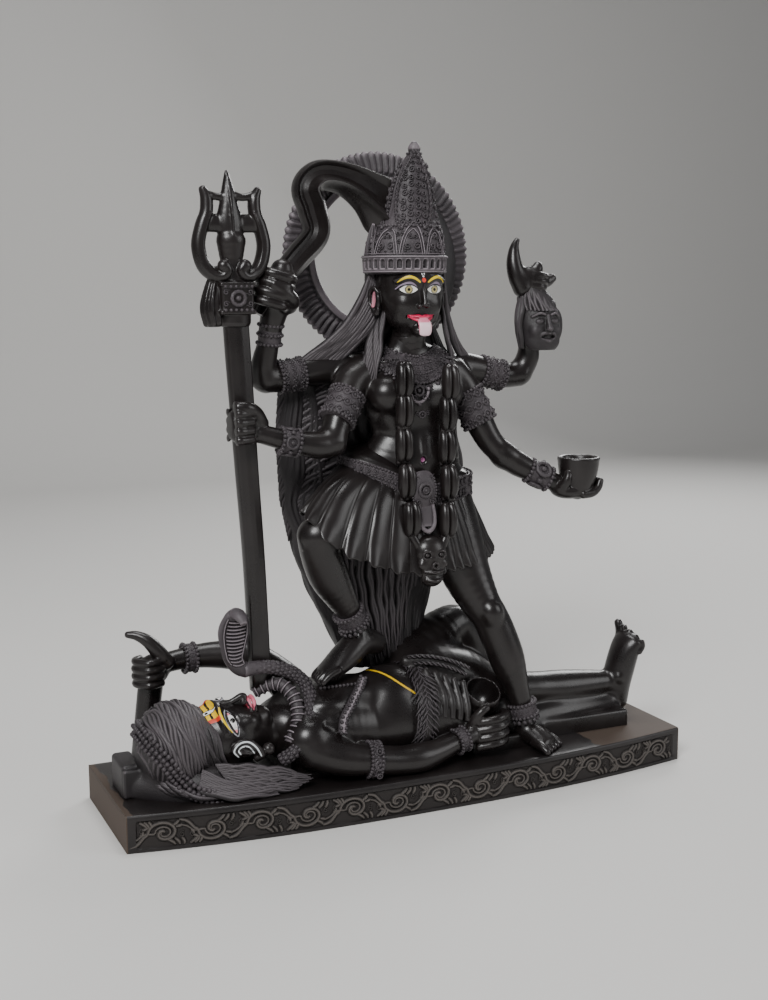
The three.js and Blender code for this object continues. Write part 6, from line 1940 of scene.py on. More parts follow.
# Reclining figure: trunk, legs and feet on a low step, near arm and hand, bowl
def reclining_body():
    clay = Clay((-152, -87, 30), (293, 80, 170), 1.2)
    trunk = [
        (-134, -16, 86, 24, 20), (-120, -6, 76, 45, 33), (-98, -4, 76, 54, 41), (-70, -4, 76, 53, 40),
        (-45, -6, 73, 48, 38), (-20, -8, 75, 49, 40), (10, -6, 77, 50, 43), (38, -4, 73, 50, 39),
        (66, -2, 64, 42, 32)]
    clay.limb(trunk, 0, facing=UP)
    clay.slab((-40, 8, 45), (188, 110, 28), 4, edge=8)
    clay.egg((-22, -14, 92), (42, 38, 37), 8)
    clay.egg((-66, -16, 106), (38, 26, 19), 8)
    clay.egg((-94, -30, 103), (24, 20, 13), 6)
    clay.egg((-94, 14, 104), (24, 22, 13), 6)
    near = [
        (40, -18, 76, 26, 25), (82, -14, 84, 23, 22), (122, -8, 84, 20, 20), (158, -2, 80, 17.5, 18),
        (190, 0, 77, 18, 18.5), (222, 0, 76, 15.5, 15.5), (250, 0, 75, 12.5, 12), (262, 0, 72, 12, 12)]
    clay.limb(near, 5)
    clay.limb([
        (260, 0, 54, 14, 15), (261, -1, 72, 15, 16.5), (266, -2, 94, 17, 15.5), (271, -3, 112, 18.5, 13),
        (275, -4, 121, 18.5, 10.5)], 5, facing=(0.9, 0.1, -0.3))
    for k in range(5):
        big = 1.3 if k == 0 else 1.0
        start = np.array([271 + 1.6 * k, 9.5 - 7.0 * k, 119 - 2.0 * k])
        end = np.array([270 + 2.6 * k, 10.5 - 7.4 * k, 137.6 - 4.2 * k])
        middle = start + (end - start) * 0.5 + [2.2, 0, 0]
        clay.limb([
            (*start, 4.6), (*middle, 4.0 * big),
            (*end, 3.7 * min(big, 1.15))], 1.2, facing=(0.9, 0.1, -0.3))
    clay.egg((257, -13, 82), (5, 4.5, 6), 3)
    far = [
        (4, 20, 94, 34, 34), (36, 27, 124, 31, 30), (68, 32, 147, 23, 22), (84, 34, 147, 20, 19),
        (104, 36, 116, 18, 17), (122, 38, 72, 16, 15), (132, 38, 44, 13, 13)]
    clay.limb(far, 6)
    clay.limb([(128, 38, 44, 13, 10), (156, 36, 41, 12, 7)], 4)
    clay.limb([
        (-4, 6, 90, 28, 32), (30, 8, 112, 27, 38), (66, 10, 108, 26, 38), (104, 8, 84, 23, 32),
        (128, 8, 58, 19, 27)], 8)
    clay.limb([(130, 0, 60, 16, 13), (190, 2, 58, 15, 12), (252, 2, 58, 12, 10)], 5)
    clay.slab((104, 0, 40), (92, 98, 19), 5, edge=4)
    clay.slab((196, 6, 41), (122, 78, 24), 5, edge=4)
    clay.limb([(120, -22, 50, 16, 12), (180, -14, 52, 16, 12), (246, -8, 50, 12, 10)], 8)
    # near shoulder, arm and hand
    clay.egg((-116, -44, 74), (24, 22, 24), 8)
    arm = [
        (-112, -50, 66, 20, 20), (-88, -60, 58, 17.5, 18.5), (-58, -65.5, 53, 14.6, 15.6),
        (-32, -67, 49, 14, 14.4), (-12, -67, 48.5, 14.6, 14.6), (6, -64.5, 50, 12.6, 12.8),
        (34, -60, 56, 10, 10.4), (52, -58, 60, 9.6, 9.6)]
    clay.limb(arm, 4)
    clay.limb([(-104, -58, 92, 3), (-88, -62, 84, 4), (-74, -60, 70, 3)], 4, cut=True)
    clay.egg((62, -55, 64), (14, 10, 12), 3, turn=(0, -20, 0))
    for k, z in enumerate((76, 67.5, 58.5, 50.5)):
        wide = (4.6, 4.8, 4.8, 4.4)[k]
        clay.limb([
            (58, -62, z - 3, wide), (69, -67.5, z - 0.5, wide), (80, -67.5, z + 0.8, wide),
            (89, -60.5, z + 1.4, wide * 0.92), (90, -52, z + 1.4, wide * 0.8)], 0.9)
    clay.limb([(52, -56, 68, 5.4), (55, -60, 77, 5.2), (60, -62.5, 84, 4.6), (66, -62.5, 87, 3.8)], 2)
    rim = np.array([70.5, -45, 97.0])
    axis = np.array([0, 0.55, -0.835])
    bowl = [(*(rim + axis * t), r) for t, r in ((0, 19.2), (10, 18.0), (24, 15.6), (40, 15.2))]
    clay.limb(bowl, 0.8, blunt=0.02)
    clay.limb([
        (*(rim + axis * 6), 14.6), (*(rim + axis * 0.5), 16.2),
        (*(rim - axis * 8), 16.8)], 0.8, cut=True, blunt=0.05)
    ring = [
        (*(rim + axis * 9 + 18.8 * np.array([math.cos(a), 0.835 * math.sin(a), 0.55 * math.sin(a)])), 1.1)
        for a in np.linspace(0, FULL_TURN, 17)]
    clay.limb(ring, 0.6, per_span=2)
    clay.trim_below(31)
    return stone_piece("reclining_body", clay, belly_paint(), 62000, paint_belly)


def paint_belly(mesh):
    skin = Skin(mesh)
    rows = smooth_rows([
        (-43, -10, 125.8), (-38, -14, 126), (-31, -20, 124.5), (-20.5, -20, 118.5), (-11, -28, 111.5),
        (1.5, -32, 102.5)], 6)
    rows = np.array([skin.seen(row)[0] for row in rows])

    def line(points):
        best = np.full(len(points), NO_PAINT)
        for a, b in zip(rows[:-1], rows[1:]):
            along = np.clip((points - a) @ (b - a) / ((b - a) @ (b - a) + 1e-9), 0, 1)
            best = np.minimum(best, np.linalg.norm(points - a - along[:, None] * (b - a), axis=1) - 1.1)
        return best

    split_near(mesh, line, 2.5, 3)
    mark_fields(mesh, {"belly_line": line})


def belly_paint():
    return stone_finish("reclining_body_stone", paints=[("belly_line", (0.80, 0.50, 0.01), 0.4)], **POLISHED)


# Far arm of the reclining figure, its fist raised on a post
def reclining_far_arm():
    clay = Clay((-292, 36, 26), (-76, 87.6, 178), 1.0)
    clay.limb([
        (-92, 36, 88, 22, 22), (-112, 46, 112, 18.5, 18.5), (-134, 54, 130, 16, 16),
        (-158, 60, 137, 14.6, 14.6), (-184, 64, 139, 12.6, 12.6), (-206, 65, 138, 10.6, 10.6),
        (-224, 65, 136, 10, 10)], 0)
    fist(
        clay, (-238, 62.5, 131), (0, 0, 1), (-0.9, -0.35, 0), 17.5,
        [(-226, 55, 138, 7.5), (-235, 54.5, 150, 7.6), (-244, 57, 161, 6.4), (-254, 61, 167, 4.8),
         (-263, 64, 168.4, 3.2)])
    post = [(-253, 66, 20, 12, 11), (-247, 65, 70, 12, 11), (-241, 64, 118, 12.5, 11)]
    clay.limb(post, 1.5, blunt=0.1)
    clay.limb([(-256, 57, 30, 2), (-249, 56, 70, 2), (-243, 55, 112, 2)], 1.5)
    clay.trim_below(27)
    stone_piece("reclining_far_arm", clay, polished, 20000)


# Head of the reclining figure, seen from its left side, with its painted marks
HEAD_AXIS = np.array([-194.0, -16.0, 80.0])
HEAD_OUT = unit((0.0, -0.25, 0.97))
HEAD_SIDE = unit((0.0, -0.97, -0.25))


def head_point(along, degrees, reach):
    a = math.radians(degrees)
    return HEAD_AXIS + [along, 0, 0] + HEAD_OUT * reach * math.cos(a) + HEAD_SIDE * reach * math.sin(a)


def reclining_head():
    clay = Clay((-252, -74, 34), (-118, 34, 132), 0.72)
    clay.egg((-196, -16, 80), (38, 34, 35), 0)
    clay.limb([(-194, -18, 86, 27, 27), (-174, -20, 89, 22, 23), (-161, -21, 93, 12.5, 13)], 6, facing=UP)
    clay.limb([(-176, -14, 74, 20), (-150, -14, 78, 18.5), (-122, -12, 78, 25)], 9)
    clay.egg((-157, -24, 99), (8, 9, 8), 6)
    clay.limb([
        (*head_point(-12, -30, 34), 2.5), (*head_point(-9, 0, 36.5), 2.8), (*head_point(-8, 30, 35.5), 2.6),
        (*head_point(-4, 52, 34), 2.0)], 4)
    clay.limb([
        (*head_point(-5, 0, 35), 2.4), (*head_point(6, 1, 38), 2.6), (*head_point(15, 1, 42.5), 3.2),
        (*head_point(18, 1, 41.5), 3.8)], 3)
    for side in (-1, 1):
        clay.egg(head_point(17, 7 * side, 39), (3.2, 2.8, 3.2), 1.5)
        clay.egg(head_point(3.0, 33 * side, 37.0), (5.0, 7, 6), 3, cut=True)
        clay.egg(head_point(1.6, 34 * side, 29.6), (5.0, 9.0, 8.0), 1.8)
        for shift in (-3.0, 3.0):
            lid = [
                (*head_point(
                     1.5 + shift * (1 - ((d - 36) / 21) ** 2) + 0.16 * (d - 36), d * side,
                     36.4 - 1.9 * abs((d - 34) / 19) ** 2), 0.75) for d in (17, 24, 30, 36, 43, 50, 56)]
            clay.limb(lid, 1.0)
    for shift, r in ((22.6, 1.9), (27.2, 2.1)):
        clay.limb([
            (*head_point(shift + 1, -19, 33.5), 1.0), (*head_point(shift, -9, 37.5), r),
            (*head_point(shift, 0, 38.6), r), (*head_point(shift, 9, 37.5), r),
            (*head_point(shift + 1, 19, 33.5), 1.0)], 1.4)
    clay.limb([
        (*head_point(24.9, -18, 34), 0.7), (*head_point(24.9, 0, 39.4), 0.9),
        (*head_point(24.9, 18, 34), 0.7)], 0.8, cut=True)
    clay.egg(head_point(20, 34, 28), (9, 8, 8), 6)
    for side, deg in ((1, 84), (-1, 96)):
        ear = [
            head_point(a, side * (deg + d), 37.5)
            for a, d in ((4, 4), (-1, -6), (4, -15), (13, -15.5), (20.5, -7), (26, 6), (22, 12))]
        clay.limb([(*p, r) for p, r in zip(ear, (2.2, 2.8, 3.0, 3.0, 3.2, 4.2, 3.6))], 1.5)
        clay.egg(head_point(11, side * (deg - 3), 34), (13, 7, 7.5), 2.5)
        clay.limb([
            (*head_point(3, side * (deg - 5), 40), 1.6), (*head_point(9, side * (deg - 6), 41), 2.0),
            (*head_point(17, side * (deg - 1), 40), 1.8)], 1.2, cut=True)
    clay.egg((-159.6, -49, 73.5), (6.0, 6.0, 6.0), 0.8)
    clay.limb([(-166, -50, 72, 2.8), (-160, -49, 73.5, 3)], 1)
    clay.trim_below(35)
    stone_piece("reclining_head", clay, head_paint(), 54000, paint_reclining_face)


def head_angles(points):
    local = points - HEAD_AXIS
    out, side = local @ HEAD_OUT, local @ HEAD_SIDE
    return local[:, 0], np.degrees(np.arctan2(side, out)), np.hypot(out, side)


def paint_reclining_face(mesh):
    def spread(points):
        along, turn, reach = head_angles(points)
        return along, np.abs(turn) * 0.62, turn, reach

    def upper(field, reach):
        return np.where(reach > 20, field, NO_PAINT)

    def eye(points, length, rise, drop):
        u, s, _, reach = spread(points)
        lean = u - 1.5 - 0.26 * (s - 22.3)
        return upper(almond(s, -lean, (22.6, 0.0), length, rise, drop), reach)

    def bars(points):
        u, s, _, _ = spread(points)
        curve = 0.012 * (s - 6) ** 2
        rows = [np.abs(u + place - curve) - 1.75 for place in (24.6, 19.0, 13.4)]
        return np.maximum(np.minimum(np.minimum(*rows[:2]), rows[2]), s - 18.5)

    def bar_ends(points):
        _, s, _, _ = spread(points)
        return np.maximum(bars(points) - 0.5, 15.4 - s) - 0.4

    def third_eye(points):
        u, _, turn, _ = spread(points)
        return almond(u, turn * 0.62, (-19.0, 5.0), 17, 2.4, 2.4)

    def ear_lines(points):
        along, turn, reach = head_angles(points)
        loop = stroke(along, turn * 0.64, [
            (3, 56, 0.6), (-1.5, 50, 0.7), (4, 44, 0.7), (12.5, 43.5, 0.7), (20, 49, 0.7), (25, 57, 0.6)])
        inner = stroke(along, turn * 0.64, [
            (5, 53.5, 0.6), (3.4, 50.5, 0.6), (6.5, 47.4, 0.6), (12, 47.4, 0.6), (16.5, 51.5, 0.6),
            (19.5, 56, 0.5)])
        return np.where(reach > 33, np.minimum(loop, inner), NO_PAINT)

    mark_fields(mesh, {
        "lid_line": lambda p: np.abs(eye(p, 29, 5.6, 4.6)) - 0.5,
        "eye_rim": lambda p: eye(p, 25.4, 4.1, 3.6), "eye_white": lambda p: eye(p, 21.5, 2.9, 2.6),
        "eye_corner": lambda p: np.maximum(
            eye(p, 21.5, 2.9, 2.6), np.minimum(spread(p)[1] - 15.0, 30.0 - spread(p)[1])),
        "pupil": lambda p: np.maximum(disc(
            spread(p)[1], spread(p)[0], (21.8, 1.3), 2.5), eye(p, 21.5, 2.9, 2.6)), "bars": bars,
        "bar_ends": bar_ends, "third_rim": lambda p: third_eye(p) - 0.9, "third_eye": third_eye,
        "third_pupil": lambda p: disc(p[:, 0] - HEAD_AXIS[0], head_angles(p)[1] * 0.62, (-19.0, 5.0), 1.6),
        "brow": lambda p: stroke(spread(p)[1], spread(p)[0], [
            (7.5, -8.2, 0.8), (13, -8.8, 1.2), (20, -7.6, 1.3), (28, -3.4, 0.9), (32.5, 0.4, 0.5)]),
        "lips": lambda p: np.where(
            head_angles(p)[2] > 30, np.hypot((spread(p)[0] - 25) / 4.4, spread(p)[1] / 10.6) * 4.4 - 4.4,
            NO_PAINT),
        "mouth_line": lambda p: np.maximum(np.abs(spread(p)[0] - 24.9) - 0.5, spread(p)[1] - 11),
        "ear_lines": ear_lines})


def head_paint():
    return stone_finish("reclining_face", paints=[
        ("lid_line", (0.42, 0.42, 0.46), 0.4), ("eye_rim", (0.006, 0.005, 0.006), 0.35),
        ("eye_white", (0.86, 0.86, 0.84), 0.35), ("eye_corner", (0.75, 0.22, 0.28), 0.4),
        ("pupil", (0.008, 0.007, 0.006), 0.25), ("brow", (0.80, 0.56, 0.01), 0.4),
        ("bars", (0.86, 0.55, 0.01), 0.4), ("bar_ends", (0.62, 0.05, 0.02), 0.4),
        ("third_rim", (0.008, 0.007, 0.006), 0.35), ("third_eye", (0.84, 0.84, 0.84), 0.35),
        ("third_pupil", (0.008, 0.007, 0.006), 0.3), ("lips", (0.74, 0.18, 0.26), 0.35),
        ("mouth_line", (0.30, 0.03, 0.06), 0.4), ("ear_lines", (0.70, 0.74, 0.76), 0.4)], **POLISHED)


# Combed hair of the reclining figure, its topknot, spread ends, bead band and bolster
HAIR_CENTRE = np.array([-240.0, -14.0, 78.0])
HAIR_SIZE = np.array([36.0, 41.0, 39.5])


def over_hair(x, turn, stand=0.0):
    """A point on the hair at x, turned from the top of the head round the side that shows."""
    back = math.sqrt(max(0.04, 1 - ((x - HAIR_CENTRE[0]) / HAIR_SIZE[0]) ** 2))
    brow = 0.9 * math.sqrt(max(0.04, 1 - ((x + 196) / 40) ** 2))
    share = max(back, brow)
    a = math.radians(turn)
    spot = HAIR_CENTRE + [
        0, -(HAIR_SIZE[1] * share + stand) * math.sin(a), (HAIR_SIZE[2] * share + stand) * math.cos(a)]
    spot[0] = x - 0.3 * stand
    return spot, unit((spot - HAIR_CENTRE) / HAIR_SIZE**2)


def reclining_hair():
    clay = Clay((-292, -80, 33), (-104, 42, 128), 1.1)
    clay.egg((-245, -14, 77), (34, 39.5, 38), 0)
    clay.egg((-233, -14, 82), (21, 30, 33.5), 6)
    clay.egg((-254, -11, 103), (12, 14, 12), 4)
    clay.egg((-208, -28, 50), (44, 34, 17), 6)
    clay.limb([
        (-274, -16, 43, 16, 12), (-242, -36, 43, 19, 14), (-206, -50, 42, 16, 12),
        (-176, -56, 40, 10, 8)], 6)
    clay.slab((-282, 4, 49), (19, 45, 33), 1.5, edge=4)
    clay.slab((-283, -21, 49), (17, 6, 27), 2.5, edge=2.5)
    clay.trim_below(34)
    skin = Skin(stone_piece("reclining_hair_mass", clay, hair_stone, 14000).data)
    paths = []
    rng = np.random.default_rng(5)
    count = 32
    for k in range(count):
        g = 1.28 * k / (count - 1)
        first = max(-219 - 53 * g, -275.0)
        last = max(-190 - 66 * g, -274.0)
        rows, facing = [], []
        for f in np.linspace(0, 1, 13):
            x = first + (last - first) * f**1.8 + 1.5 * math.sin(15 * f + 0.9 * k) + rng.uniform(-0.3, 0.3)
            spot, out = over_hair(x, -24 + 172 * f, 1.0 + 0.9 * math.sin(11 * f + 1.7 * k))
            rows.append((*spot, 0.8 + 2.2 * math.sin(math.pi * min(1, max(0.06, f * 1.06))) ** 0.35))
            facing.append(out)
        paths.append((rows, facing))
    # locks that wind into the topknot
    for a in turns_round(9):
        rows = [
            (-254 + (13 - 6 * f) * math.cos(a + 1.6 * f), -11 + (15 - 7 * f) * math.sin(a + 1.6 * f),
             99 + 15 * f**0.7, 2.6 - 1.2 * f) for f in np.linspace(0, 1, 6)]
        paths.append((rows, [unit(np.array(r[:3]) - [-254, -11, 98]) for r in rows]))
    for k in range(12):
        f = k / 11
        rows = [
            (-276 + 16 * f, -12 - 24 * f, 62 - 4 * f, 1.4), (-272 + 22 * f, -24 - 26 * f, 52 - 2 * f, 2.8),
            (-258 + 26 * f, -40 - 22 * f, 44 - 2 * f, 2.6), (-238 + 34 * f, -56 - 12 * f, 39, 0.8)]
        paths.append((waved(rows, 7, 1.0, 1.9 * k, (1, 0.4, 0)), (-0.35, -0.75, 0.55)))
    strands("reclining_combed_hair", paths, hair_stone, 3, 0.2, 0.72, 3.6)
    paths = []
    for k in range(22):
        f = k / 21
        j = rng.uniform(-1, 1, 4)
        rows = [
            (-214 + 12 * f, -56 - 7 * f, 68 - 20 * f, 1.6),
            (-196 + 8 * f, -61 - 7 * f, 66 - 22 * f + j[0], 2.5),
            (-172 + 2 * f, -62 - 9 * f, 62 - 21 * f + 1.5 * j[1], 2.6),
            (-150 - 6 * f, -62 - 9 * f, 56 - 17 * f + 1.5 * j[2], 2.0),
            (-122 - 24 * abs(f - 0.3) + 4 * j[3], -62 - 8 * f, 49 - 11 * f, 0.4)]
        paths.append((waved(rows, 8, 1.3, 2.1 * k, (0, 0.2, 1)), (0, -0.85, 0.5)))
    for k in range(14):
        f = k / 13
        rows = [
            (-226 - 6 * f, -54 - 6 * f, 64 - 16 * f, 1.6), (-212 - 2 * f, -60 - 8 * f, 56 - 14 * f, 2.6),
            (-192, -65 - 8 * f, 50 - 11 * f, 2.4), (-166 + 8 * f, -66 - 7 * f, 44 - 7 * f, 0.5)]
        paths.append((waved(rows, 7, 1.0, 1.3 * k, (0, 0.6, 0.8)), (0, -0.7, 0.7)))
    strands("reclining_spread_hair", paths, hair_stone, 3, 0.2, 0.8, 2.8)
    beads = []
    band = smooth_rows([
        (-277, -20, 102), (-268.8, -38, 89.5), (-254.8, -50, 72.3), (-245.8, -58, 58.4),
        (-234.3, -64, 48.4), (-213.7, -68, 43.4), (-196, -70, 42)], 5)
    ahead = np.gradient(band, axis=0)
    for shift in (-4.8, 0.0, 4.8):
        rows = [
            (*skin.seen(row + shift * unit(np.cross(step, (0.41, 0.9, -0.15))), 3.6)[0], 1)
            for row, step in zip(band, ahead)]
        beads += along_line(rows, 4.9, 5.4, (-0.3, -0.85, 0.4))
    ornaments("reclining_hair_beads", BEAD, beads, carved)


# Cobra: a scaled body round the neck, an inner coil with cross folds, and the raised hood
def cobra():
    body = [
        (-148, -50, 60, 5.0), (-132, -54, 72, 5.2), (-116, -44, 94, 5.4), (-110, -28, 116, 5.4),
        (-119, -20, 132, 5.6), (-140, -18, 142, 6.0), (-158, -17.5, 144, 6.6), (-172, -17.5, 143, 7.2)]
    inner = [
        (-158, -4, 116, 5.6), (-146, -8, 122, 5.8), (-134, -16, 124, 5.8), (-125, -29, 112, 5.8),
        (-127, -42, 92, 5.8), (-138, -48, 76, 5.4)]
    hood = [
        (-168, -17, 142, 7.2, 6.6), (-177, -17.4, 147, 8.0, 6.2), (-182.6, -17.8, 157, 9.6, 5.8),
        (-182.4, -18, 169, 13.2, 5.2), (-181.6, -18.8, 181, 15.6, 5.2), (-180.8, -20, 191, 14.0, 5.4),
        (-180.4, -22, 199, 10, 5.6), (-180, -24, 203.5, 5, 4)]
    parts = [
        sweep(body, round_section(14), 5), sweep(inner, round_section(14), 5),
        sweep(hood, round_section(24), 5)]
    parts.append(sweep([
        (-180.6, -19, 197, 8, 6), (-180, -26, 200, 7.6, 5.4), (-178.6, -33, 197.5, 6, 4.4),
        (-177.6, -37.5, 193, 3.4, 2.8)], round_section(14), 4, UP))
    joined("cobra_body", parts, carved)
    scales, fine = [], smooth_rows(body, 12)
    run = run_along(fine[:, :3])
    rows = int(run[-1] / 4.4)
    for k in range(rows):
        at = run[-1] * (k + 0.5) / rows
        spot = spot_at(at, run, fine)
        axis = spot_at(at + 2, run, fine) - spot_at(at - 2, run, fine)
        scales += round_limb(spot, axis, 5.4, 5.4, 8, (5.4, 4.2, 3.0), 0.5 * (k % 2))
    ornaments("cobra_scales", BEAD, scales, carved)
    folds, fine = [], smooth_rows(inner, 12)
    run = run_along(fine[:, :3])
    for k in range(15):
        at = run[-1] * (k + 0.5) / 15
        spot = spot_at(at, run, fine)
        axis = spot_at(at + 2, run, fine) - spot_at(at - 2, run, fine)
        _, depth, wide = cross_frame(axis, FRONT)
        ring = [
            (*(spot + wide * 6.2 * math.cos(a) + depth * 6.2 * math.sin(a)), 1.5)
            for a in np.linspace(0, FULL_TURN, 13)]
        folds.append((ring, [unit(np.array(r[:3]) - spot) for r in ring]))
    rows = np.array(hood)
    for k in range(13):
        z = 151 + 3.5 * k
        x, y, half = (float(np.interp(z, rows[:, 2], rows[:, i])) for i in (0, 1, 3))
        line = [
            (x + u * half * 0.62, y - 5.6 - 0.6 * (1 - u * u), z - 1.2 * (1 - u * u), 1.5)
            for u in np.linspace(-1, 1, 7)]
        folds.append((line, FRONT))
    for side in (-1, 1):
        line = [
            (np.interp(z, rows[:, 2], rows[:, 0]) + side * np.interp(z, rows[:, 2], rows[:, 3]) * 0.74,
             np.interp(z, rows[:, 2], rows[:, 1]) - 4.6, z, 1.3) for z in np.linspace(151, 196, 9)]
        folds.append((line, FRONT))
    strands("cobra_folds", folds, carved, 1, 0.0, 0.8, 2.6)
    eyes = [((-177.4 + side * 5, -31.5, 199.4), (side, -0.4, 0.5), FRONT, 2.6) for side in (-1, 1)]
    ornaments("cobra_eyes", BEAD, eyes, polished)


# Fur wrap, rope trim and bead rope on the reclining figure
def wrap_and_ropes(skin):
    def laid(rows, lift):
        return [(*skin.seen(row[:3], lift)[0], row[3]) for row in smooth_rows(rows, 6)]

    clay = Clay((-20, -76, 44), (134, 70, 142), 1.2)
    turns = np.radians(np.linspace(-34, 142, 12))
    clay.limb([
        (1 + 6 * math.sin(t), -8 - 48.5 * math.cos(t), 79 + 44.0 * math.sin(t), 9, 4.5)
        for t in turns], 0, facing=(0, -0.6, 0.8))
    clay.limb([(96, -30, 72, 15, 12), (114, -32, 58, 14, 11)], 4)
    clay.limb([(0, -12, 130, 6, 6), (24, -18, 129, 7, 7), (44, -24, 123, 6, 6), (58, -27, 115, 3, 3)], 5)
    for k in range(5):
        clay.limb([
            (14 + 9 * k, -30 - 3 * k, 124 - 3.5 * k, 3.0, 3),
            (18 + 8 * k, -47 - 1.5 * k, 104 - 4 * k, 3.6, 3.4),
            (16 + 8 * k, -53 - k, 84 - 2 * k, 3.0, 2.6)], 3)
    stone_piece("waist_wrap", clay, wrap_stone, 11000)
    tufts, rng = [], np.random.default_rng(8)
    for row in range(8):
        for k in range(26):
            t = math.radians(-30 + 172 * (k + 0.5 * (row % 2)) / 26)
            across = -10 + 2.9 * row
            centre = np.array([
                1 + 6 * math.sin(t) + across, -8 - 53.0 * math.cos(t), 79 + 48.5 * math.sin(t)])
            sway = 1 if across > 0 else -1
            down = np.array([
                sway * (0.5 + 0.35 * rng.uniform(-1, 1)), -0.8 * math.sin(t), -0.8 * math.cos(t)])
            path = [
                (*(centre - down * 4.2), 0.5), (*(centre + [0.8 * rng.uniform(-1, 1), 0, 0]), 1.2),
                (*(centre + down * 5.2), 0.3)]
            tufts.append((path, (0, -math.cos(t), math.sin(t))))
    strands("fur_tufts", tufts, hair_stone, 1, 0.0, 0.7, 2.4)
    ropes = []
    lines = [
        [(0, -17, 136, 1), (14, -22, 136.5, 1), (32, -27, 133.5, 1), (48, -31, 128, 1), (62, -33, 121, 1)],
        [(4, -23, 131, 1), (16, -29, 131, 1), (32, -33, 127.5, 1), (46, -36, 121.5, 1), (56, -37, 116, 1)]]
    for line in lines:
        fine = smooth_rows(line, 8)
        for phase in (0, math.pi):
            run = run_along(fine[:, :3])
            rows = [
                (x, y + 1.4 * math.cos(r / 1.7 + phase), z + 1.3 * math.sin(r / 1.7 + phase), 1.15)
                for (x, y, z, _), r in zip(fine, run)]
            ropes.append((rows, FRONT))
    strands("rope_trim", ropes, hair_stone, 1, 0.0, 0.9, 1.6)
    # strap of beads from under the foot down to the armpit, and the fold beside it
    strap = laid([
        (-52, -24, 120, 1), (-62, -34, 112, 1), (-74, -44, 103, 1), (-84, -52, 92, 1),
        (-88, -58, 82, 1)], 1.0)
    rows = [(*row[:3], 4.6) for row in strap]
    facing = [skin.near(row[:3])[1] for row in rows]
    strands("chest_strap", [(rows, facing)], carved, 3, 0.16, 0.6, 2.4)
    beads = []
    for spot, _, along, _ in along_line([(*row[:3], 1) for row in rows], 4.6, 1):
        _, out = skin.near(spot)
        side = np.cross(out, unit(along))
        beads += [(spot + out * 2.6 + side * w, out, along, 4.0) for w in (-2.6, 2.2)]
    beads += [(*skin.seen((x, -34, 120), 1.0), UP, 3.8) for x in range(-100, -56, 4)]
    ornaments("bead_rope", BEAD, beads, carved)
    spots = [
        ((-59.4, -82.6, 53), (0, -1, 0.1), UP, (12, 12, 9)),
        ((-59.4, -82.0, 42), (0, -1, -0.3), UP, (7, 7, 6)), ((-59, -80.6, 66), (0, -1, 0.4), UP, (8, 8, 7))]
    ornaments("reclining_armlet_flower", ROSETTE, spots, carved)


# Plinth: bowed front with a sunk panel, polished top, tooled ends
def front_of(x):
    return -PLINTH_DEPTH / 2 + PLINTH_BOW * abs(2 * x / PLINTH_LENGTH) ** PLINTH_BOW_POWER


def plinth():
    half, deep, top = PLINTH_LENGTH / 2, PLINTH_DEPTH / 2, PLINTH_HEIGHT
    rings = []
    stops = np.concatenate([
        [-half, -half + 0.7, -half + 2.4, -292, -290.4], np.linspace(-286, 286, 144),
        [290.4, 292, half - 2.4, half - 0.7, half]])
    for x in stops:
        front = front_of(x)
        edge = 2.4 if abs(x) < half - 2 else (1.4 if abs(x) < half - 0.5 else 0.7) + 1.0
        sunk = FRIEZE_RELIEF if abs(x) < 291 else 0.0
        ring = [(front, 0.0), (front, 2.2), (front, 3.0), (front + sunk, 4.2)]
        ring += [(front + sunk, z) for z in np.linspace(7, 26, 6)]
        ring += [
            (front + sunk, 28.6), (front, 29.8), (front, 31.4), (front + 0.3, top - edge * 0.6),
            (front + 0.9, top - 0.5), (front + edge, top)]
        ring += [(y, top) for y in np.linspace(front + 8, deep - 8, 26)]
        ring += [(deep - edge, top), (deep - 0.7, top - 0.7), (deep, top - edge)]
        ring += [(deep, z) for z in (25, 17, 9)] + [(deep, 0.0)]
        ring += [(y, 0.0) for y in np.linspace(deep - 20, front + 20, 6)]
        rings.append([(x, y, z) for y, z in ring])
    mesh = facing_out(new_mesh("plinth", *ring_mesh(rings)))
    mesh.set_sharp_from_angle(angle=math.radians(45))
    paint_plinth(mesh)
    finish_piece(linked("plinth", mesh), plinth_paint())
    frieze()


def paint_plinth(mesh):
    def ends(points):
        return (PLINTH_LENGTH / 2 - 1.0 - np.abs(points[:, 0])) * 2

    def rough_top(points):
        x, y, z = points.T
        wander = 5 * np.sin(y / 9.0) + 3 * np.sin(y / 3.7 + x / 11) + 2 * np.sin(x / 4.1)
        return np.where(
            z > PLINTH_HEIGHT - 0.2, np.minimum(176 - x - 0.25 * y + wander, 294 + x + 0.3 * wander),
            NO_PAINT)

    def panel(points):
        x, y, z = points.T
        depth = y - front_of(x)
        return np.where(
            (z > 3.2) & (z < 29.6) & (np.abs(x) < 291.5), (FRIEZE_RELIEF * 0.5 - depth) * 2, NO_PAINT)

    mark_fields(mesh, {"ends": ends, "rough_top": rough_top, "panel": panel})


def plinth_paint():
    return stone_finish(
        "plinth_stone",
        paints=[
            ("ends", (0.062, 0.040, 0.027), 0.66), ("rough_top", (0.050, 0.033, 0.023), 0.7),
            ("panel", (0.016, 0.0125, 0.0115), 0.75)],
        # The edge colour is a painted highlight on the plinth's rims, and the groove colour is painted shade
        **dict(POLISHED, edge=(0.10, 0.09, 0.085), rough=(0.3, 0.5)))


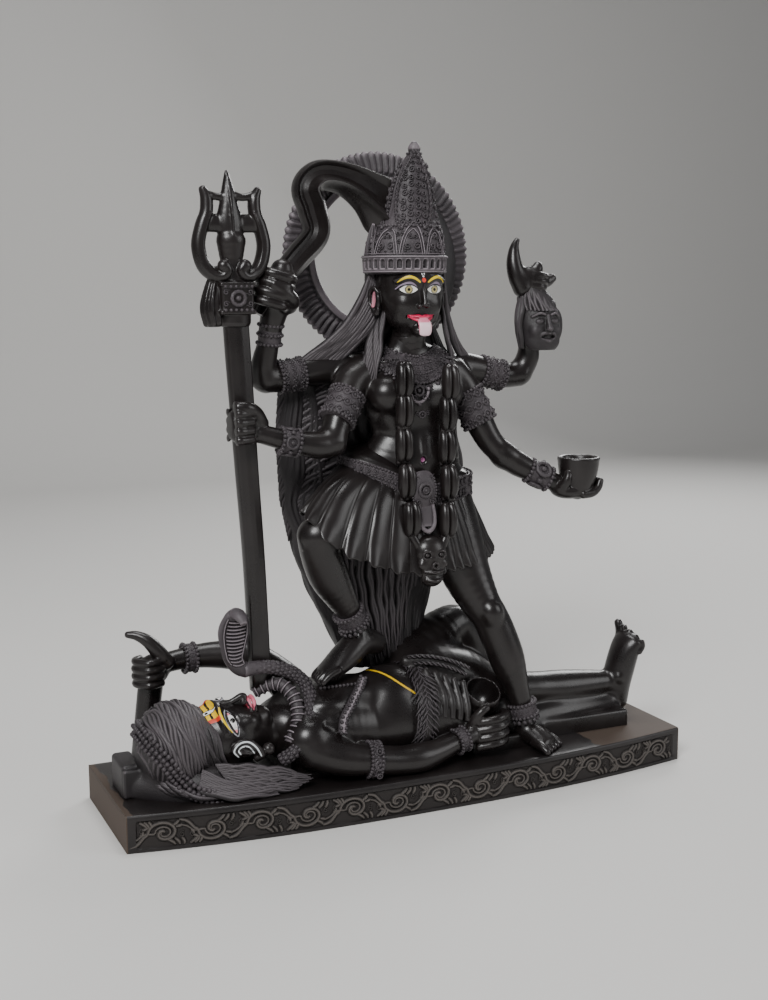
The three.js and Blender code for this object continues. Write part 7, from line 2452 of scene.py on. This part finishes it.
def frieze():
    pitch = (PLINTH_LENGTH - 18) / FRIEZE_SCROLLS
    middle = 16.4
    paths, curls = [], []

    def line(rows, wide):
        ends = (0, len(rows) - 1)
        return [
            (x, front_of(x) + 0.8, z, wide * (0.7 if k in ends else 1)) for k, (x, z) in enumerate(rows)]

    for n in range(FRIEZE_SCROLLS):
        x0 = -PLINTH_LENGTH / 2 + 9 + pitch * (n + 0.5)
        way = -1 if n % 2 else 1
        for gap, wide in ((0.0, 2.3), (4.9, 1.5)):
            rows = [
                (x0 - pitch * 0.66, middle - way * (11.6 - gap)),
                (x0 - pitch * 0.5, middle - way * (9.4 - gap)),
                (x0 - pitch * 0.36, middle - way * (2.4 - 0.5 * gap))]
            for k in range(15 if gap else 18):
                turn = -0.05 + k * 0.5
                r = (11.8 - gap) * (1 - k / 19.0)
                rows.append((x0 + 1.5 - 1.25 * r * math.cos(turn), middle + way * r * math.sin(turn)))
            paths.append((line(rows, wide), FRONT))
        # leaves that fill the corners
        for dx, dz, reach, turn in (
                (-20.0, 11.6, 9, -0.7), (-16.0, 11.8, 8, -0.95), (-12.0, 12.0, 7, -1.2),
                (11.5, -11.4, 9, 2.5), (15.5, -11.8, 8, 2.2), (19.5, -12.0, 7, 1.9),
                (15.0, 10.8, 7.5, -2.5), (18.0, 6.4, 6, -2.9), (-17.5, 4.2, 6, 0.4), (-19.5, -1.0, 5, 0.9)):
            start = (x0 + dx, middle + way * dz)
            tip = (x0 + dx + reach * math.cos(turn), middle + way * (dz + reach * math.sin(turn)))
            bend = ((start[0] + tip[0]) / 2 + 1.2, middle + way * (dz + 0.5 * reach * math.sin(turn)))
            paths.append((line([start, bend, tip], 2.3), FRONT))
        for dx, dz, size, lean in ((-18.0, 3.4, 7.5, -0.2), (17.4, -2.6, 7.0, 0.8)):
            curls.append((
                (x0 + dx, front_of(x0 + dx) + 0.8, middle + way * dz), FRONT, (1, 0, way * lean),
                (size, size, 8)))
    strands("frieze_scrolls", paths, frieze_stone, 1, 0.0, 0.55, 2.4)
    ornaments("frieze_leaves", SCROLL, curls, frieze_stone)


standing_head()
body_skin = Skin(standing_body().data)
severed_head()
standing_legs()
skirt()
sword()
trident()
halo()
crown()
hair_mass()
hair_locks()
limb_bands()
necklace_and_belt(body_skin)
garland()
reclining_skin = Skin(reclining_body().data)
reclining_far_arm()
reclining_head()
reclining_hair()
cobra()
wrap_and_ropes(reclining_skin)
plinth()
for shape in (BEAD, ROSETTE, SCROLL):
    bpy.data.objects.remove(shape)
